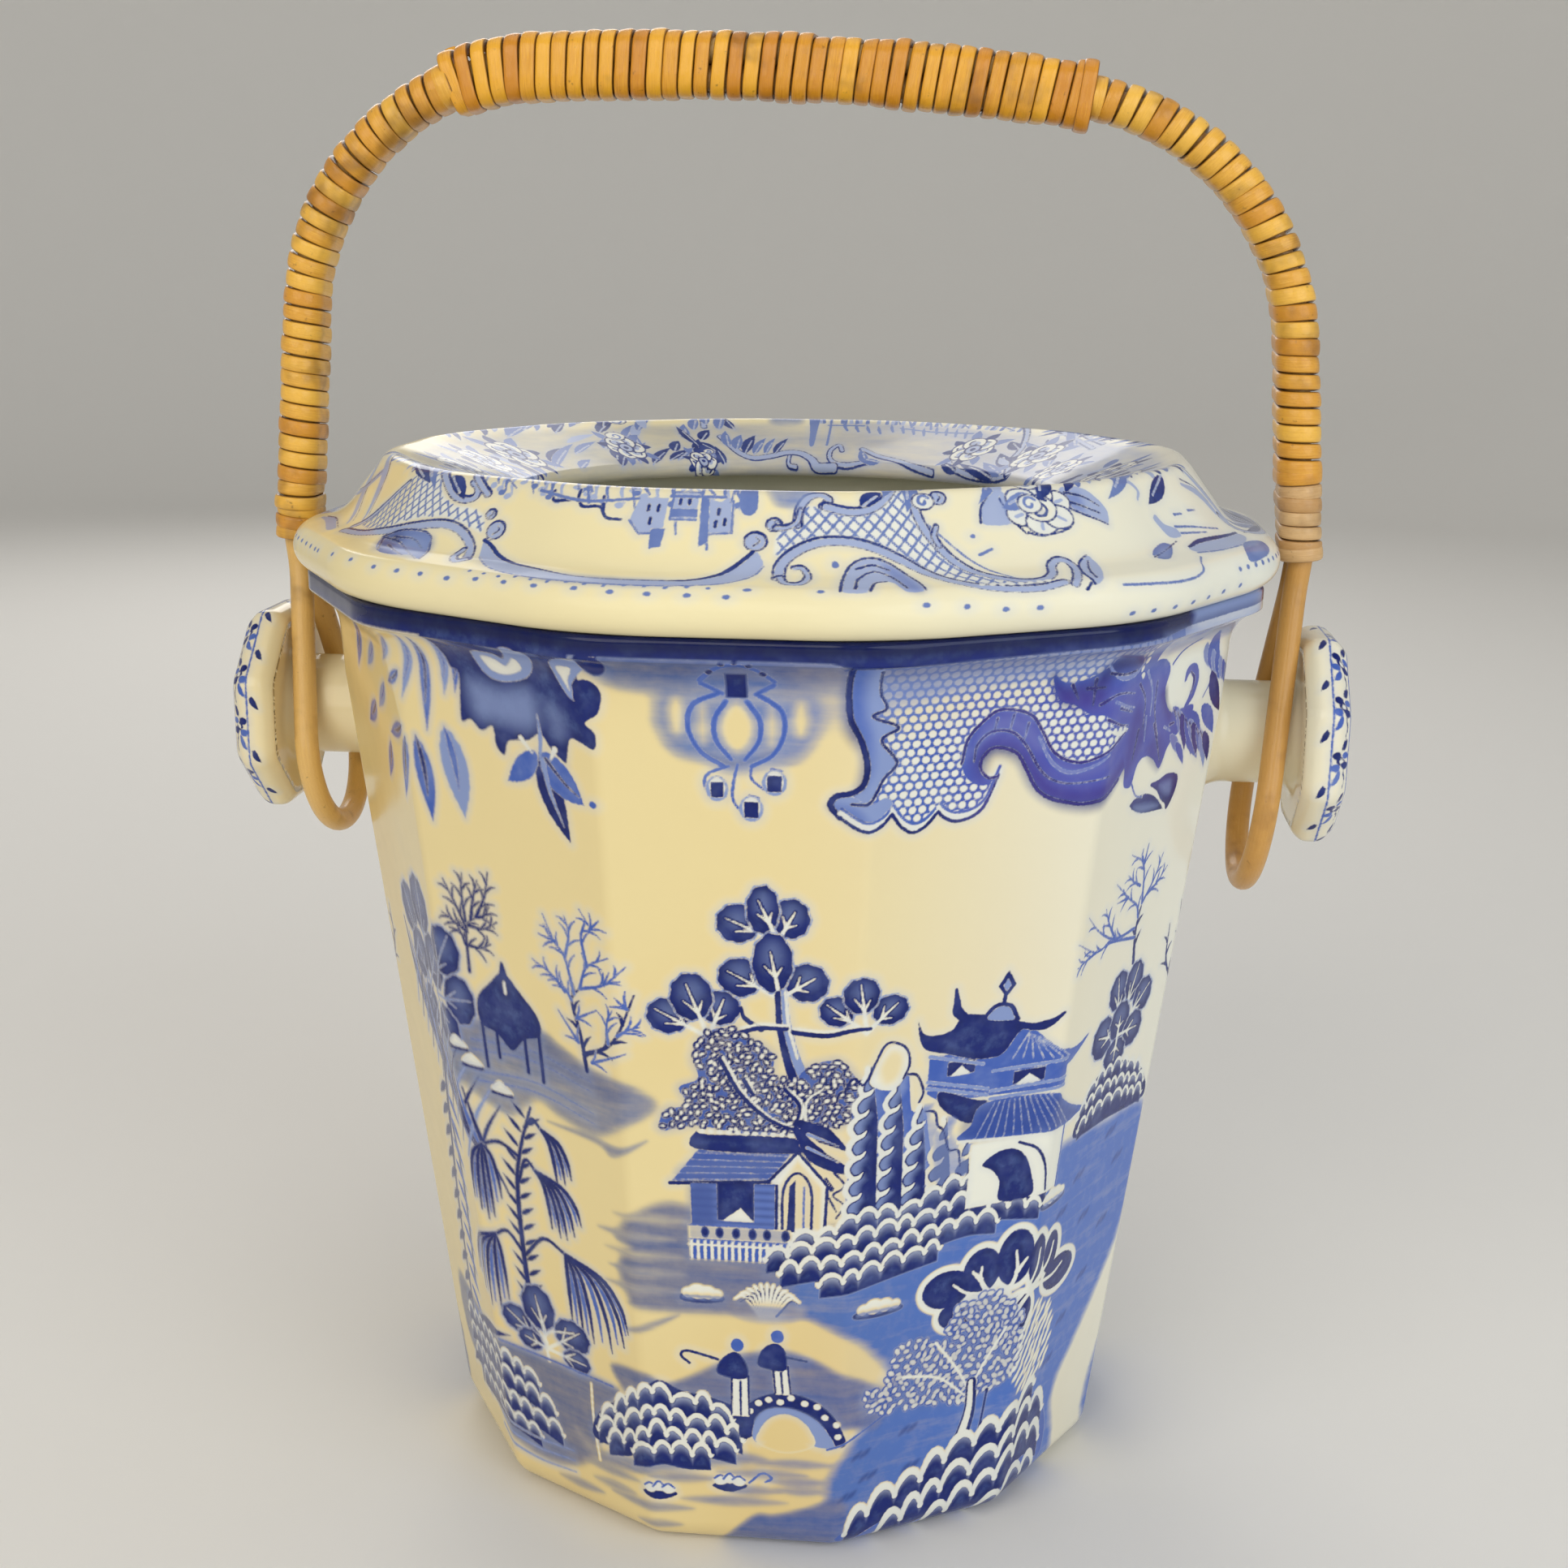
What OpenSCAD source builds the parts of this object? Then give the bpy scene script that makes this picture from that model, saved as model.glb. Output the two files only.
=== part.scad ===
// Slop jar: a twelve-sided earthenware pail with a loose drainer in its mouth, two side
// lugs and a swinging bail handle of bent cane bound with cane strip.
// Millimetres. Origin at the centre of the foot, +Z up, +X through the lugs, front at -Y.

/* [Pail] */
// Width of the wall across two flats, where the wall line meets the ground
foot_flats = 195; // [170:1:215]
// Width across two flats at the neck, below the flare
neck_flats = 257; // [240:1:270]
// Height of the neck, where the flare starts
neck_h = 255; // [230:1:290]
// Radius of the hollow flare under the rim
flare_r = 13; // [9:0.5:15]
// Height of the plain rim band above the flare
rim_band = 6; // [4:0.5:10]
// Bevel on the outer edge of the rim
rim_bevel = 1.5; // [0.5:0.1:2.5]
// Radius of the rounding between the foot and the wall
hip_r = 11; // [8:0.5:18]
// Thickness of the wall
wall = 6; // [4:0.5:8]
// Height of the inside floor above the ground
floor_h = 8; // [6:0.5:14]
// Radius of the rounding between the inside floor and the wall
inner_hip_r = 7; // [4:0.5:14]
// Width of the ring that the pail stands on
foot_ring_w = 10; // [6:0.5:16]
// Depth of the hollow inside the foot ring
foot_hollow = 2.5; // [1:0.5:3.5]

/* [Drainer] */
// Width of the lip across two flats
lip_flats = 283; // [276:1:286]
// Thickness of the round lip
lip_t = 13; // [9:0.5:16]
// Width across two flats at the foot of the slope, in the middle of its thickness
slope_foot_flats = 250; // [246:1:256]
// Height of the slope's foot above the rim, in the middle of its thickness
slope_foot_rise = 11.4; // [9:0.2:14]
// Thickness at the slope's foot
slope_foot_t = 9; // [8:0.5:11]
// Width across two flats at the crest
crest_flats = 226; // [206:1:232]
// Height of the crest above the rim
crest_rise = 32.5; // [26:0.5:44]
// Thickness at the crest
crest_t = 8; // [6:0.5:10]
// Width of the hole across two flats
hole_flats = 160; // [120:1:170]
// Height of the hole's upper edge below the crest
hole_drop = 11; // [8:0.5:22]
// Thickness at the hole's rounded edge
hole_edge_t = 5.5; // [4:0.5:7]
// Depth of the locating ring below the rim
spigot_depth = 10; // [6:0.5:14]
// Thickness of the locating ring
spigot_t = 5; // [4:0.5:7]
// Free play of the locating ring inside the mouth
spigot_play = 1.6; // [0.8:0.1:3]
// Least width of the drainer's seat on the rim
seat_land = 9; // [6:0.5:10]

/* [Lugs] */
// Distance from the neck down to the lug axis
lug_drop = 32; // [27:1:50]
// Diameter of the stem that the cane loop goes round
stem_d = 30.5; // [24:0.5:32]
// Diameter of the root pad on the wall
pad_d = 44; // [38:0.5:50]
// Reach of the root pad from the wall, along the axis
pad_t = 7; // [4:0.5:8]
// Radius of the hollow between the pad and the stem
root_fillet = 4; // [2:0.5:4]
// Width of the eight-sided head across its flats
head_flats = 61; // [52:0.5:66]
// Thickness of the head
head_t = 12.5; // [10:0.5:16]
// Bevel of the head's outer face
head_bevel = 4; // [2:0.5:5]
// Bevel of the head's inner face
back_bevel = 3; // [1:0.5:4]
// Slip joint between a lug and the wall
lug_joint = 0.1; // [0:0.05:0.3]

/* [Cane handle] */
// Diameter of one cane
cane_d = 7; // [5:0.5:7.5]
// Gap between two canes that lie side by side
cane_gap = 0.3; // [0.2:0.1:0.6]
// Clearance between the cane loop and the stem
loop_play = 0.3; // [0.2:0.1:0.8]
// Distance from the lower end of the binding down to where the two canes part
fork_room = 9.5; // [6:0.5:14]
// Distance from the lug axis down to the middle of the cane at the bottom of the left loop
left_loop_drop = 37; // [35:0.5:44]
// The same distance in the right loop
right_loop_drop = 45; // [44:0.5:52]
// Distance from the lug axis up to the lower end of the binding
loop_rise = 52; // [50:0.5:60]
// Lean of a loop, inwards going down, in degrees
loop_lean = 6.5; // [4:0.5:7]
// Distance from the lug head's inner face back to the loop, at the lug axis
loop_from_head = 7.6; // [7.4:0.2:10]
// Gap between the widest part of the mouth and the lower end of the binding
mouth_room = 2; // [1.6:0.1:6]
// Lean of a leg, inwards going up, in degrees
leg_lean = 4.8; // [3:0.2:5.5]
// Straight length of the left leg
left_leg = 69; // [66:1:80]
// Straight length of the right leg
right_leg = 62; // [58:1:72]
// Radius of the two shoulders
shoulder_r = 73; // [65:1:80]
// Radius of the crown between the shoulders
crown_r = 860; // [500:10:1200]

/* [Binding] */
// Thickness of the strip on the legs
leg_strip_t = 2.3; // [1.2:0.1:2.6]
// Thickness of the strip on the grip
grip_strip_t = 1.8; // [1.2:0.1:2.4]
// Clearance between the strip and the canes
strip_play = 0.5; // [0.45:0.05:0.8]
// Least gap between two turns
turn_gap = 0.5; // [0.4:0.1:1.2]
// Turns of strip on each leg
leg_turns = 19; // [12:1:20]
// Turns of strip on the grip
grip_turns = 23; // [14:1:24]
// Turns of the left end lashing
left_lash_turns = 3; // [2:1:4]
// Turns of the right end lashing
right_lash_turns = 5; // [3:1:6]
// Length of the left end lashing
left_lash_len = 13; // [11:0.5:20]
// Length of the right end lashing
right_lash_len = 22; // [18:0.5:28]
// Length along the arch from the left end of the binding to the grip
grip_start = 150; // [140:1:160]
// Length of the bound grip
grip_len = 184; // [150:1:190]
// Gap between one binding and the next
binding_gap = 0.6; // [0.5:0.1:1.5]

/* [Hidden] */

glaze = [0.93, 0.90, 0.80];
printed_glaze = [0.62, 0.70, 0.86];
cane = [0.80, 0.58, 0.28];
strip = [0.78, 0.54, 0.22];
pale_strip = [0.82, 0.66, 0.42];

sides = 12;
// Turns the sides so that flats face along X and Y
side_turn = 180 / sides;
// A vertex lies this much further out than a flat
to_vertex = 1 / cos(180 / sides);
// Degrees between two points on a modelled arc
arc_step = 9;
eps = 0.01;

function polar(r, a) = [r * cos(a), r * sin(a)];
function arc(c, r, a0, a1) =
    let (n = max(2, ceil(abs(a1 - a0) / arc_step)))
    [for (i = [0 : n]) c + polar(r, a0 + (a1 - a0) * i / n)];

// Pail: the wall is a straight line in section, leaning out by wall_lean
wall_lean = atan((neck_flats - foot_flats) / 2 / neck_h);
function wall_at(z) = foot_flats / 2 + z * tan(wall_lean);
// Centre of a rounding between a floor at z0 and the wall taken in by t
function hip_centre(z0, t, r) =
    [wall_at(z0) - t / cos(wall_lean) - r * (1 - sin(wall_lean)) / cos(wall_lean), z0 + r];

flare_end_angle = 110;
flare_centre = [wall_at(neck_h), neck_h] + flare_r * [cos(wall_lean), -sin(wall_lean)];
flare_end = flare_centre + polar(flare_r, flare_end_angle);
rim_h = flare_end[1] + rim_band;
rim_a = flare_end[0];
// How far the inside is cut past the rim
mouth_cut = 1;
stand_a = hip_centre(0, 0, hip_r)[0];

function pail_outside() = concat(
    [[0, 0]],
    arc(hip_centre(0, 0, hip_r), hip_r, -90, -wall_lean),
    arc(flare_centre, flare_r, 180 - wall_lean, flare_end_angle),
    [[rim_a, rim_h - rim_bevel], [rim_a - rim_bevel, rim_h], [0, rim_h]]
);
function pail_inside() = concat(
    [[0, floor_h]],
    arc(hip_centre(floor_h, wall, inner_hip_r), inner_hip_r, -90, -wall_lean),
    [[wall_at(rim_h + mouth_cut) - wall / cos(wall_lean), rim_h + mouth_cut]],
    [[0, rim_h + mouth_cut]]
);

// A section turned into a twelve-sided shell, its sizes given across the flats
module twelve_sided() {
    rotate([0, 0, side_turn])
        rotate_extrude($fn = sides)
            scale([to_vertex, 1])
                children();
}

module jar_body() {
    color(printed_glaze)
        difference() {
            twelve_sided()
                difference() {
                    polygon(pail_outside());
                    polygon(pail_inside());
                }
            rotate([0, 0, side_turn])
                translate([0, 0, -eps])
                    cylinder(h = foot_hollow + eps, r = (stand_a - foot_ring_w) * to_vertex,
                        $fn = sides);
        }
}

// Drainer: lip, slope's foot, crest and hole edge are rounds in section, with plates between them
lip_a = lip_flats / 2 - lip_t / 2;
crest_z = rim_h + crest_rise;
spigot_a = wall_at(rim_h - spigot_depth) - wall / cos(wall_lean) - spigot_play;
seat_a = max(lip_a, wall_at(rim_h) - wall / cos(wall_lean) + seat_land);

module section_round(a, z, d) {
    translate([a, z])
        circle(d = d, $fn = 32);
}

module drainer() {
    color(glaze)
        twelve_sided() {
            hull() {
                section_round(lip_a, rim_h + lip_t / 2, lip_t);
                section_round(slope_foot_flats / 2, rim_h + slope_foot_rise, slope_foot_t);
            }
            hull() {
                section_round(slope_foot_flats / 2, rim_h + slope_foot_rise, slope_foot_t);
                section_round(crest_flats / 2, crest_z - crest_t / 2, crest_t);
            }
            hull() {
                section_round(crest_flats / 2, crest_z - crest_t / 2, crest_t);
                section_round(hole_flats / 2 + hole_edge_t / 2, crest_z - hole_drop - hole_edge_t / 2,
                    hole_edge_t);
            }
            translate([spigot_a - spigot_t, rim_h])
                square([seat_a - spigot_a + spigot_t, lip_t]);
            translate([spigot_a - spigot_t, rim_h - spigot_depth])
                square([spigot_t, spigot_depth + lip_t]);
        }
}

// Where the legs stand: the binding clears the lip and the rim, and the loops go round the stems
lug_h = neck_h - lug_drop;
leg_z = lug_h + loop_rise;
leg_x = max(lip_flats / 2, rim_a) + mouth_room + leg_strip_t + strip_play + cane_d / 2;
loop_x = leg_x - loop_rise * tan(loop_lean);

// Lugs: side is 1 for the right lug and -1 for the left
pad_x = wall_at(lug_h) + pad_t;
head_x = loop_x + loop_from_head;
stem_len = head_x - pad_x;

// The root, from inside the wall out to the stem, as a turned section
module lug_root() {
    root_in = wall_at(lug_h - pad_d) - wall;
    rotate([0, 90, 0])
        rotate_extrude($fn = 96)
            difference() {
                translate([0, root_in])
                    square([pad_d / 2, pad_x - root_in]);
                translate([stem_d / 2 + root_fillet, pad_x])
                    circle(r = root_fillet, $fn = 48);
                translate([stem_d / 2 + root_fillet, pad_x - root_fillet])
                    square([pad_d, root_fillet + eps]);
            }
}

// One slice of the eight-sided head, a flat on top
module head_slice(x, flats, t) {
    translate([x, 0, 0])
        rotate([0, 90, 0])
            rotate([0, 0, 180 / 8])
                cylinder(h = t, d = flats / cos(180 / 8), $fn = 8);
}

module lug_head() {
    slice = 0.5;
    hull() {
        head_slice(head_x, head_flats - 2 * back_bevel, slice);
        head_slice(head_x + back_bevel, head_flats, head_t - back_bevel - head_bevel);
        head_slice(head_x + head_t - slice, head_flats - 2 * head_bevel, slice);
    }
}

// Everything on the pail's side of the wall's face
module wall_side() {
    reach = 2 * pad_d;
    translate([wall_at(lug_h) + lug_joint, 0, lug_h])
        rotate([0, wall_lean, 0])
            translate([-reach, -reach, -reach])
                cube([reach, 2 * reach, 2 * reach]);
}

module lug(side) {
    color(glaze)
        mirror([side < 0 ? 1 : 0, 0, 0])
            difference() {
                translate([0, 0, lug_h]) {
                    lug_root();
                    translate([pad_x - root_fillet, 0, 0])
                        rotate([0, 90, 0])
                            cylinder(h = stem_len + root_fillet + eps, d = stem_d, $fn = 96);
                    lug_head();
                }
                wall_side();
            }
}

module left_lug() {
    lug(-1);
}

module right_lug() {
    lug(1);
}

// Arch: leg, shoulder, crown, shoulder, leg, measured as a length q from the left end
left_shoulder = [-leg_x, leg_z] + left_leg * [sin(leg_lean), cos(leg_lean)]
    + shoulder_r * [cos(leg_lean), -sin(leg_lean)];
right_shoulder = [leg_x, leg_z] + right_leg * [-sin(leg_lean), cos(leg_lean)]
    + shoulder_r * [-cos(leg_lean), -sin(leg_lean)];
shoulder_span = right_shoulder - left_shoulder;
shoulder_half = norm(shoulder_span) / 2;
crown_down = [shoulder_span[1], -shoulder_span[0]] / norm(shoulder_span);
crown_centre = (left_shoulder + right_shoulder) / 2
    + crown_down * sqrt(pow(crown_r - shoulder_r, 2) - pow(shoulder_half, 2));
function heading_over(p) = atan2(p[1] - crown_centre[1], p[0] - crown_centre[0]) - 90;
crown_in = heading_over(left_shoulder);
crown_out = heading_over(right_shoulder);
leg_heading = 90 - leg_lean;

function arc_len(r, a) = r * a * PI / 180;
function arc_deg(r, len) = len / r * 180 / PI;
q_shoulder = left_leg;
q_crown = q_shoulder + arc_len(shoulder_r, leg_heading - crown_in);
q_descent = q_crown + arc_len(crown_r, crown_in - crown_out);
q_leg = q_descent + arc_len(shoulder_r, crown_out + leg_heading);
q_end = q_leg + right_leg;

// Heading of the arch at length q, in degrees from +X
function heading(q) =
    q < q_shoulder ? leg_heading
    : q < q_crown ? leg_heading - arc_deg(shoulder_r, q - q_shoulder)
    : q < q_descent ? crown_in - arc_deg(crown_r, q - q_crown)
    : q < q_leg ? crown_out - arc_deg(shoulder_r, q - q_descent)
    : -leg_heading;
function on_arc(c, r, a) = c + r * [-sin(a), cos(a)];
function arch_xz(q) =
    q < q_shoulder ? [-leg_x, leg_z] + q * polar(1, leg_heading)
    : q < q_crown ? on_arc(left_shoulder, shoulder_r, heading(q))
    : q < q_descent ? on_arc(crown_centre, crown_r, heading(q))
    : q < q_leg ? on_arc(right_shoulder, shoulder_r, heading(q))
    : [leg_x, leg_z] - (q_end - q) * polar(1, -leg_heading);
// A point of the arch, moved out along its normal and sideways along Y
function outward(q) = [-sin(heading(q)), 0, cos(heading(q))];
function arch_point(q, out, y) = [arch_xz(q)[0], y, arch_xz(q)[1]] + out * outward(q);

// Sweep: rings of a section along points, each ring turned by its reference direction
function unit(v) = v / norm(v);
function square_to(v, t) = unit(v - t * (v * t));
function tangent(p, i) = unit(p[min(i + 1, len(p) - 1)] - p[max(i - 1, 0)]);
function ring_at(p, refs, section, i) =
    let (t = tangent(p, i), u = square_to(refs[i], t), v = cross(t, u))
    [for (s = section) p[i] + s[0] * u + s[1] * v];
function all_rings(p, refs, section) = [for (i = [0 : len(p) - 1]) ring_at(p, refs, section, i)];

module tube(p, refs, section) {
    m = len(section);
    last = (len(p) - 1) * m;
    rings = all_rings(p, refs, section);
    sides_a = [for (i = [0 : len(p) - 2], j = [0 : m - 1])
        [i * m + j, (i + 1) * m + (j + 1) % m, i * m + (j + 1) % m]];
    sides_b = [for (i = [0 : len(p) - 2], j = [0 : m - 1])
        [i * m + j, (i + 1) * m + j, (i + 1) * m + (j + 1) % m]];
    cap_a = [for (j = [1 : m - 2]) [0, j, j + 1]];
    cap_b = [for (j = [1 : m - 2]) [last, last + j + 1, last + j]];
    polyhedron([for (r = rings, v = r) v], concat(sides_a, sides_b, cap_a, cap_b));
}

// Canes: each is bent into a loop round a lug, and both its ends run up into the grip
cane_sides = 8;
cane_section = [for (i = [0 : cane_sides - 1]) polar(cane_d / 2, (i + 0.5) * 360 / cane_sides)];
pair_half = (cane_d + cane_gap) / 2;
grip_end = grip_start + grip_len;
// Length over which a cane moves out to its own layer in the grip
layer_blend = 26;
arch_steps = 44;

function ease(t) = let (c = min(1, max(0, t))) c * c * (3 - 2 * c);
function left_layer(q) = pair_half * ease((q - grip_start) / layer_blend);
function right_layer(q) = -pair_half * ease((grip_end - q) / layer_blend);

// The loop, in a plane that leans in going down: d runs down the plane from the binding
loop_centre_d = loop_rise / cos(loop_lean);
stem_room = stem_d / 2 + loop_play + cane_d / 2;
// Each cane runs straight from the fork past the stem, and then bends round below it
fork_h = loop_centre_d - fork_room;
spread = asin(stem_room / norm([fork_h, pair_half])) - atan(pair_half / fork_h);
function loop_drop(side) = side < 0 ? left_loop_drop : right_loop_drop;
function loop_r(side) = (loop_drop(side) * sin(spread) + stem_room) / (1 + sin(spread));
function bend_d(side) = loop_centre_d + loop_drop(side) - loop_r(side);
// Length over which the canes start to part
fork_round = 3;
bend_steps = 12;

function loop_half(side) = concat(
    [[fork_room / 2, pair_half], [fork_room - fork_round, pair_half]],
    [[fork_room, pair_half + fork_round * tan(spread) / 3]],
    [[fork_room + fork_round * cos(spread), pair_half + fork_round * sin(spread)]],
    [[loop_centre_d - stem_room * sin(spread), stem_room * cos(spread)]],
    [for (i = [0 : bend_steps / 2])
        let (a = spread + (-90 - spread) * i / (bend_steps / 2))
        [bend_d(side) - loop_r(side) * sin(a), loop_r(side) * cos(a)]]
);
function on_loop(side, p) =
    [side * (leg_x - p[0] * sin(loop_lean)), p[1], leg_z - p[0] * cos(loop_lean)];
function reversed(v) = [for (i = [len(v) - 1 : -1 : 0]) v[i]];
function flipped(v) = [for (p = v) [p[0], -p[1], p[2]]];

// Half of a hoop, at +Y, from its end in the grip down to the bottom of its loop
function left_qs() = [for (i = [0 : arch_steps]) (grip_end - layer_blend) * (1 - i / arch_steps)];
function right_qs() =
    let (from = grip_start + layer_blend)
    [for (i = [0 : arch_steps]) from + (q_end - from) * i / arch_steps];
function half_path(side) = concat(
    side < 0 ? [for (q = left_qs()) arch_point(q, left_layer(q), pair_half)]
        : [for (q = right_qs()) arch_point(q, right_layer(q), pair_half)],
    [for (p = loop_half(side)) on_loop(side, p)]
);
function half_refs(side) = concat(
    [for (q = side < 0 ? left_qs() : right_qs()) outward(q)],
    [for (p = loop_half(side)) [side * cos(loop_lean), 0, -sin(loop_lean)]]
);
function but_last(v) = [for (i = [0 : len(v) - 2]) v[i]];

module hoop(side) {
    path = half_path(side);
    refs = half_refs(side);
    color(cane)
        tube(concat(path, reversed(flipped(but_last(path)))),
            concat(refs, reversed(but_last(refs))), cane_section);
}

module left_cane_hoop() {
    hoop(-1);
}

module right_cane_hoop() {
    hoop(1);
}

// Bindings: one unbroken strip wound round the canes, its turns as places in the section
turn_angles = [[0, 45, 90], [135, 180], [180, 225, 270], [315, 360]];
square_turn_angles = [[0, 45, 90], [90, 135, 180], [180, 225, 270], [270, 315, 360]];
corner_signs = [[1, 1], [-1, 1], [-1, -1], [1, -1]];
// Places round one turn: an outward offset, a sideways offset and the way that the strip faces
function turn_places(half_out, rho) =
    let (angles = half_out > 0 ? square_turn_angles : turn_angles)
    [for (k = [0 : 3], a = angles[k])
        [corner_signs[k][0] * half_out + rho * cos(a),
            corner_signs[k][1] * pair_half + rho * sin(a), a]];

function wound_places(places, turns, half_out, rho) = concat(
    [[half_out + rho, 0, 0]],
    [for (n = [0 : turns - 1], p = places) p],
    [[half_out + rho, 0, 360]]
);
function wound_qs(count, from, to) =
    [for (i = [0 : count - 1]) from + (to - from) * i / (count - 1)];

// A flat strip in section, 6 sides
function strip_section(w, t) =
    [[0, w / 2], [-t / 2, w / 3], [-t / 2, -w / 3], [0, -w / 2], [t / 2, -w / 3], [t / 2, w / 3]];

// Least distance between the points of one turn and those of the next
function turn_clearance(rings, per_turn) =
    min([for (i = [0 : len(rings) - 1 - per_turn], a = rings[i], b = rings[i + per_turn])
        norm(a - b)]);

module winding(from, to, turns, half_out, t, name) {
    rho = cane_d / 2 + strip_play + t / 2;
    places = turn_places(half_out, rho);
    count = turns * len(places) + 2;
    pitch = (to - from) / (turns + 1);
    w = pitch * (1 - (half_out + rho + t / 2) / shoulder_r) - turn_gap;
    section = strip_section(w, t);
    wound = wound_places(places, turns, half_out, rho);
    qs = wound_qs(count, from + w / 2, to - w / 2);
    path = [for (i = [0 : count - 1]) arch_point(qs[i], wound[i][0], wound[i][1])];
    refs = [for (i = [0 : count - 1]) cos(wound[i][2]) * outward(qs[i]) + [0, sin(wound[i][2]), 0]];
    gap = turn_clearance(all_rings(path, refs, section), len(places));
    echo(winding = name, strip_width = w, least_gap = gap);
    tube(path, refs, section);
}

module left_leg_wrap() {
    color(strip)
        winding(left_lash_len + binding_gap, grip_start - binding_gap, leg_turns, 0, leg_strip_t,
            "left leg");
}

module right_leg_wrap() {
    color(strip)
        winding(grip_end + binding_gap, q_end - right_lash_len - binding_gap, leg_turns, 0, leg_strip_t,
            "right leg");
}

module grip_wrap() {
    color(strip)
        winding(grip_start, grip_end, grip_turns, pair_half, grip_strip_t, "grip");
}

module left_end_lashing() {
    color(pale_strip)
        winding(0, left_lash_len, left_lash_turns, 0, leg_strip_t, "left lashing");
}

module right_end_lashing() {
    color(pale_strip)
        winding(q_end - right_lash_len, q_end, right_lash_turns, 0, leg_strip_t, "right lashing");
}

jar_body();
drainer();
left_lug();
right_lug();
left_cane_hoop();
right_cane_hoop();
left_leg_wrap();
right_leg_wrap();
grip_wrap();
left_end_lashing();
right_end_lashing();
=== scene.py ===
"""Looks of the slop jar: printed glaze on the pail and drainer, and a bail of bound cane.

Sizes are in millimetres, in the part's own frame: foot at z 0, +X through the lugs, front at -Y.
"""
import math

import bpy
import numpy as np
from mathutils import Matrix, Vector


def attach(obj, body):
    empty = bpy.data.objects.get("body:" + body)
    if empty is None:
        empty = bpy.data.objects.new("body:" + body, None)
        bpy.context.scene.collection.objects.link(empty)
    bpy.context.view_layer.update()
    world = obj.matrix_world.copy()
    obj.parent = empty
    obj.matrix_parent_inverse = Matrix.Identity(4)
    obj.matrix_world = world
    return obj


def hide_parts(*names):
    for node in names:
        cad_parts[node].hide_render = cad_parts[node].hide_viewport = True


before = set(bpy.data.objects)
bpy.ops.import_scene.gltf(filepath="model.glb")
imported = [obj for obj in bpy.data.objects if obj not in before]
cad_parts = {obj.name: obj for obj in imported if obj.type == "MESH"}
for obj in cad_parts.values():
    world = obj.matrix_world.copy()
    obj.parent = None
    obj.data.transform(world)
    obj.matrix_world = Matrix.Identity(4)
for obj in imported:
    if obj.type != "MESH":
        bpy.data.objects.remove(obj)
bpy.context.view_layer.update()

MM, TINY = 0.001, 1e-9
SIDES = 12
HALF_SIDE = math.pi / SIDES

# Pail, as in the part
FOOT_A, NECK_A, NECK_Z = 97.5, 128.5, 255.0
LEAN = (NECK_A - FOOT_A) / NECK_Z
LEAN_DEG = math.degrees(math.atan(LEAN))
HIP_R, STAND_A, FOOT_RING, FOOT_HOLLOW = 11.0, 87.76, 10.0, 2.5
FLARE_C, FLARE_R, FLARE_END = (141.405, 253.43), 13.0, 110.0
RIM_A, RIM_Z, RIM_BEVEL = 136.96, 271.65, 1.5
WALL_IN, FLOOR_Z, INNER_HIP_R = 6.04, 8.0, 7.0
WALL_CORNER_R, RIM_CORNER_R, DRAINER_CORNER_R = 7.0, 45.0, 75.0

# Drainer, as in the part
LIP_C, LIP_R = (135.0, 278.15), 6.5
FOOT_C, SLOPE_FOOT_R, FOOT_EASE = (125.0, 283.05), 4.5, 5.0
CREST_C, CREST_R = (113.0, 300.15), 4.0
HOLE_C, HOLE_R = (82.75, 290.4), 2.75
SPIGOT_OUT, SPIGOT_IN, SPIGOT_Z, SPIGOT_TOP = 121.7, 116.7, 261.65, 284.65

# Lugs, as in the part
LUG_Z, PAD_X, PAD_R, STEM_R = 223.0, 131.61, 22.0, 15.25
HEAD_X, HEAD_T, HEAD_HALF, BACK_BEVEL, FRONT_BEVEL = 151.475, 12.5, 30.5, 3.0, 4.0

# Handle, as in the part
CANE_R, PAIR_HALF = 3.5, 3.65
LEG_X, LEG_Z, LEG_LEAN = 149.8, 275.0, math.radians(4.8)
LEFT_LEG, RIGHT_LEG, SHOULDER_R, CROWN_R = 69.0, 62.0, 73.0, 860.0
GRIP_START, GRIP_LEN, LAYER_BLEND = 150.0, 184.0, 26.0
LEFT_LASH, RIGHT_LASH = 13.0, 22.0
LOOP_LEAN, LOOP_RISE, LEFT_DROP, RIGHT_DROP = math.radians(6.5), 52.0, 37.0, 45.0
FORK_ROOM, FORK_ROUND, STEM_ROOM = 9.5, 3.0, 19.05

# Camera: where the photograph was taken from
VIEW_AZ, VIEW_EL, VIEW_ROLL = math.radians(5.85), math.radians(14.4), math.radians(0.5)
VIEW_DISTANCE, VIEW_SHIFT, VIEW_Z = 633.19, -0.44, 201.79
LENS, SENSOR = 47.26, 36.0


# Sections and grids

def arc(centre, r, a0, a1, step):
    """Points on an arc, about step apart, from a0 to a1 in degrees."""
    n = max(2, math.ceil(abs(math.radians(a1 - a0)) * r / step))
    t = np.radians(np.linspace(a0, a1, n + 1))
    return np.stack([centre[0] + r * np.cos(t), centre[1] + r * np.sin(t)], 1)


def line(p, q, step):
    """Points on a line, about step apart."""
    n = max(1, math.ceil(math.dist(p, q) / step))
    t = np.linspace(0, 1, n + 1)[:, None]
    return np.array(p) * (1 - t) + np.array(q) * t


def joined(*runs):
    """Runs of points as one, without repeated points."""
    pts = np.concatenate(runs)
    keep = np.ones(len(pts), bool)
    keep[1:] = np.linalg.norm(np.diff(pts, axis=0), axis=1) > 0.02
    return pts[keep]


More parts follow.
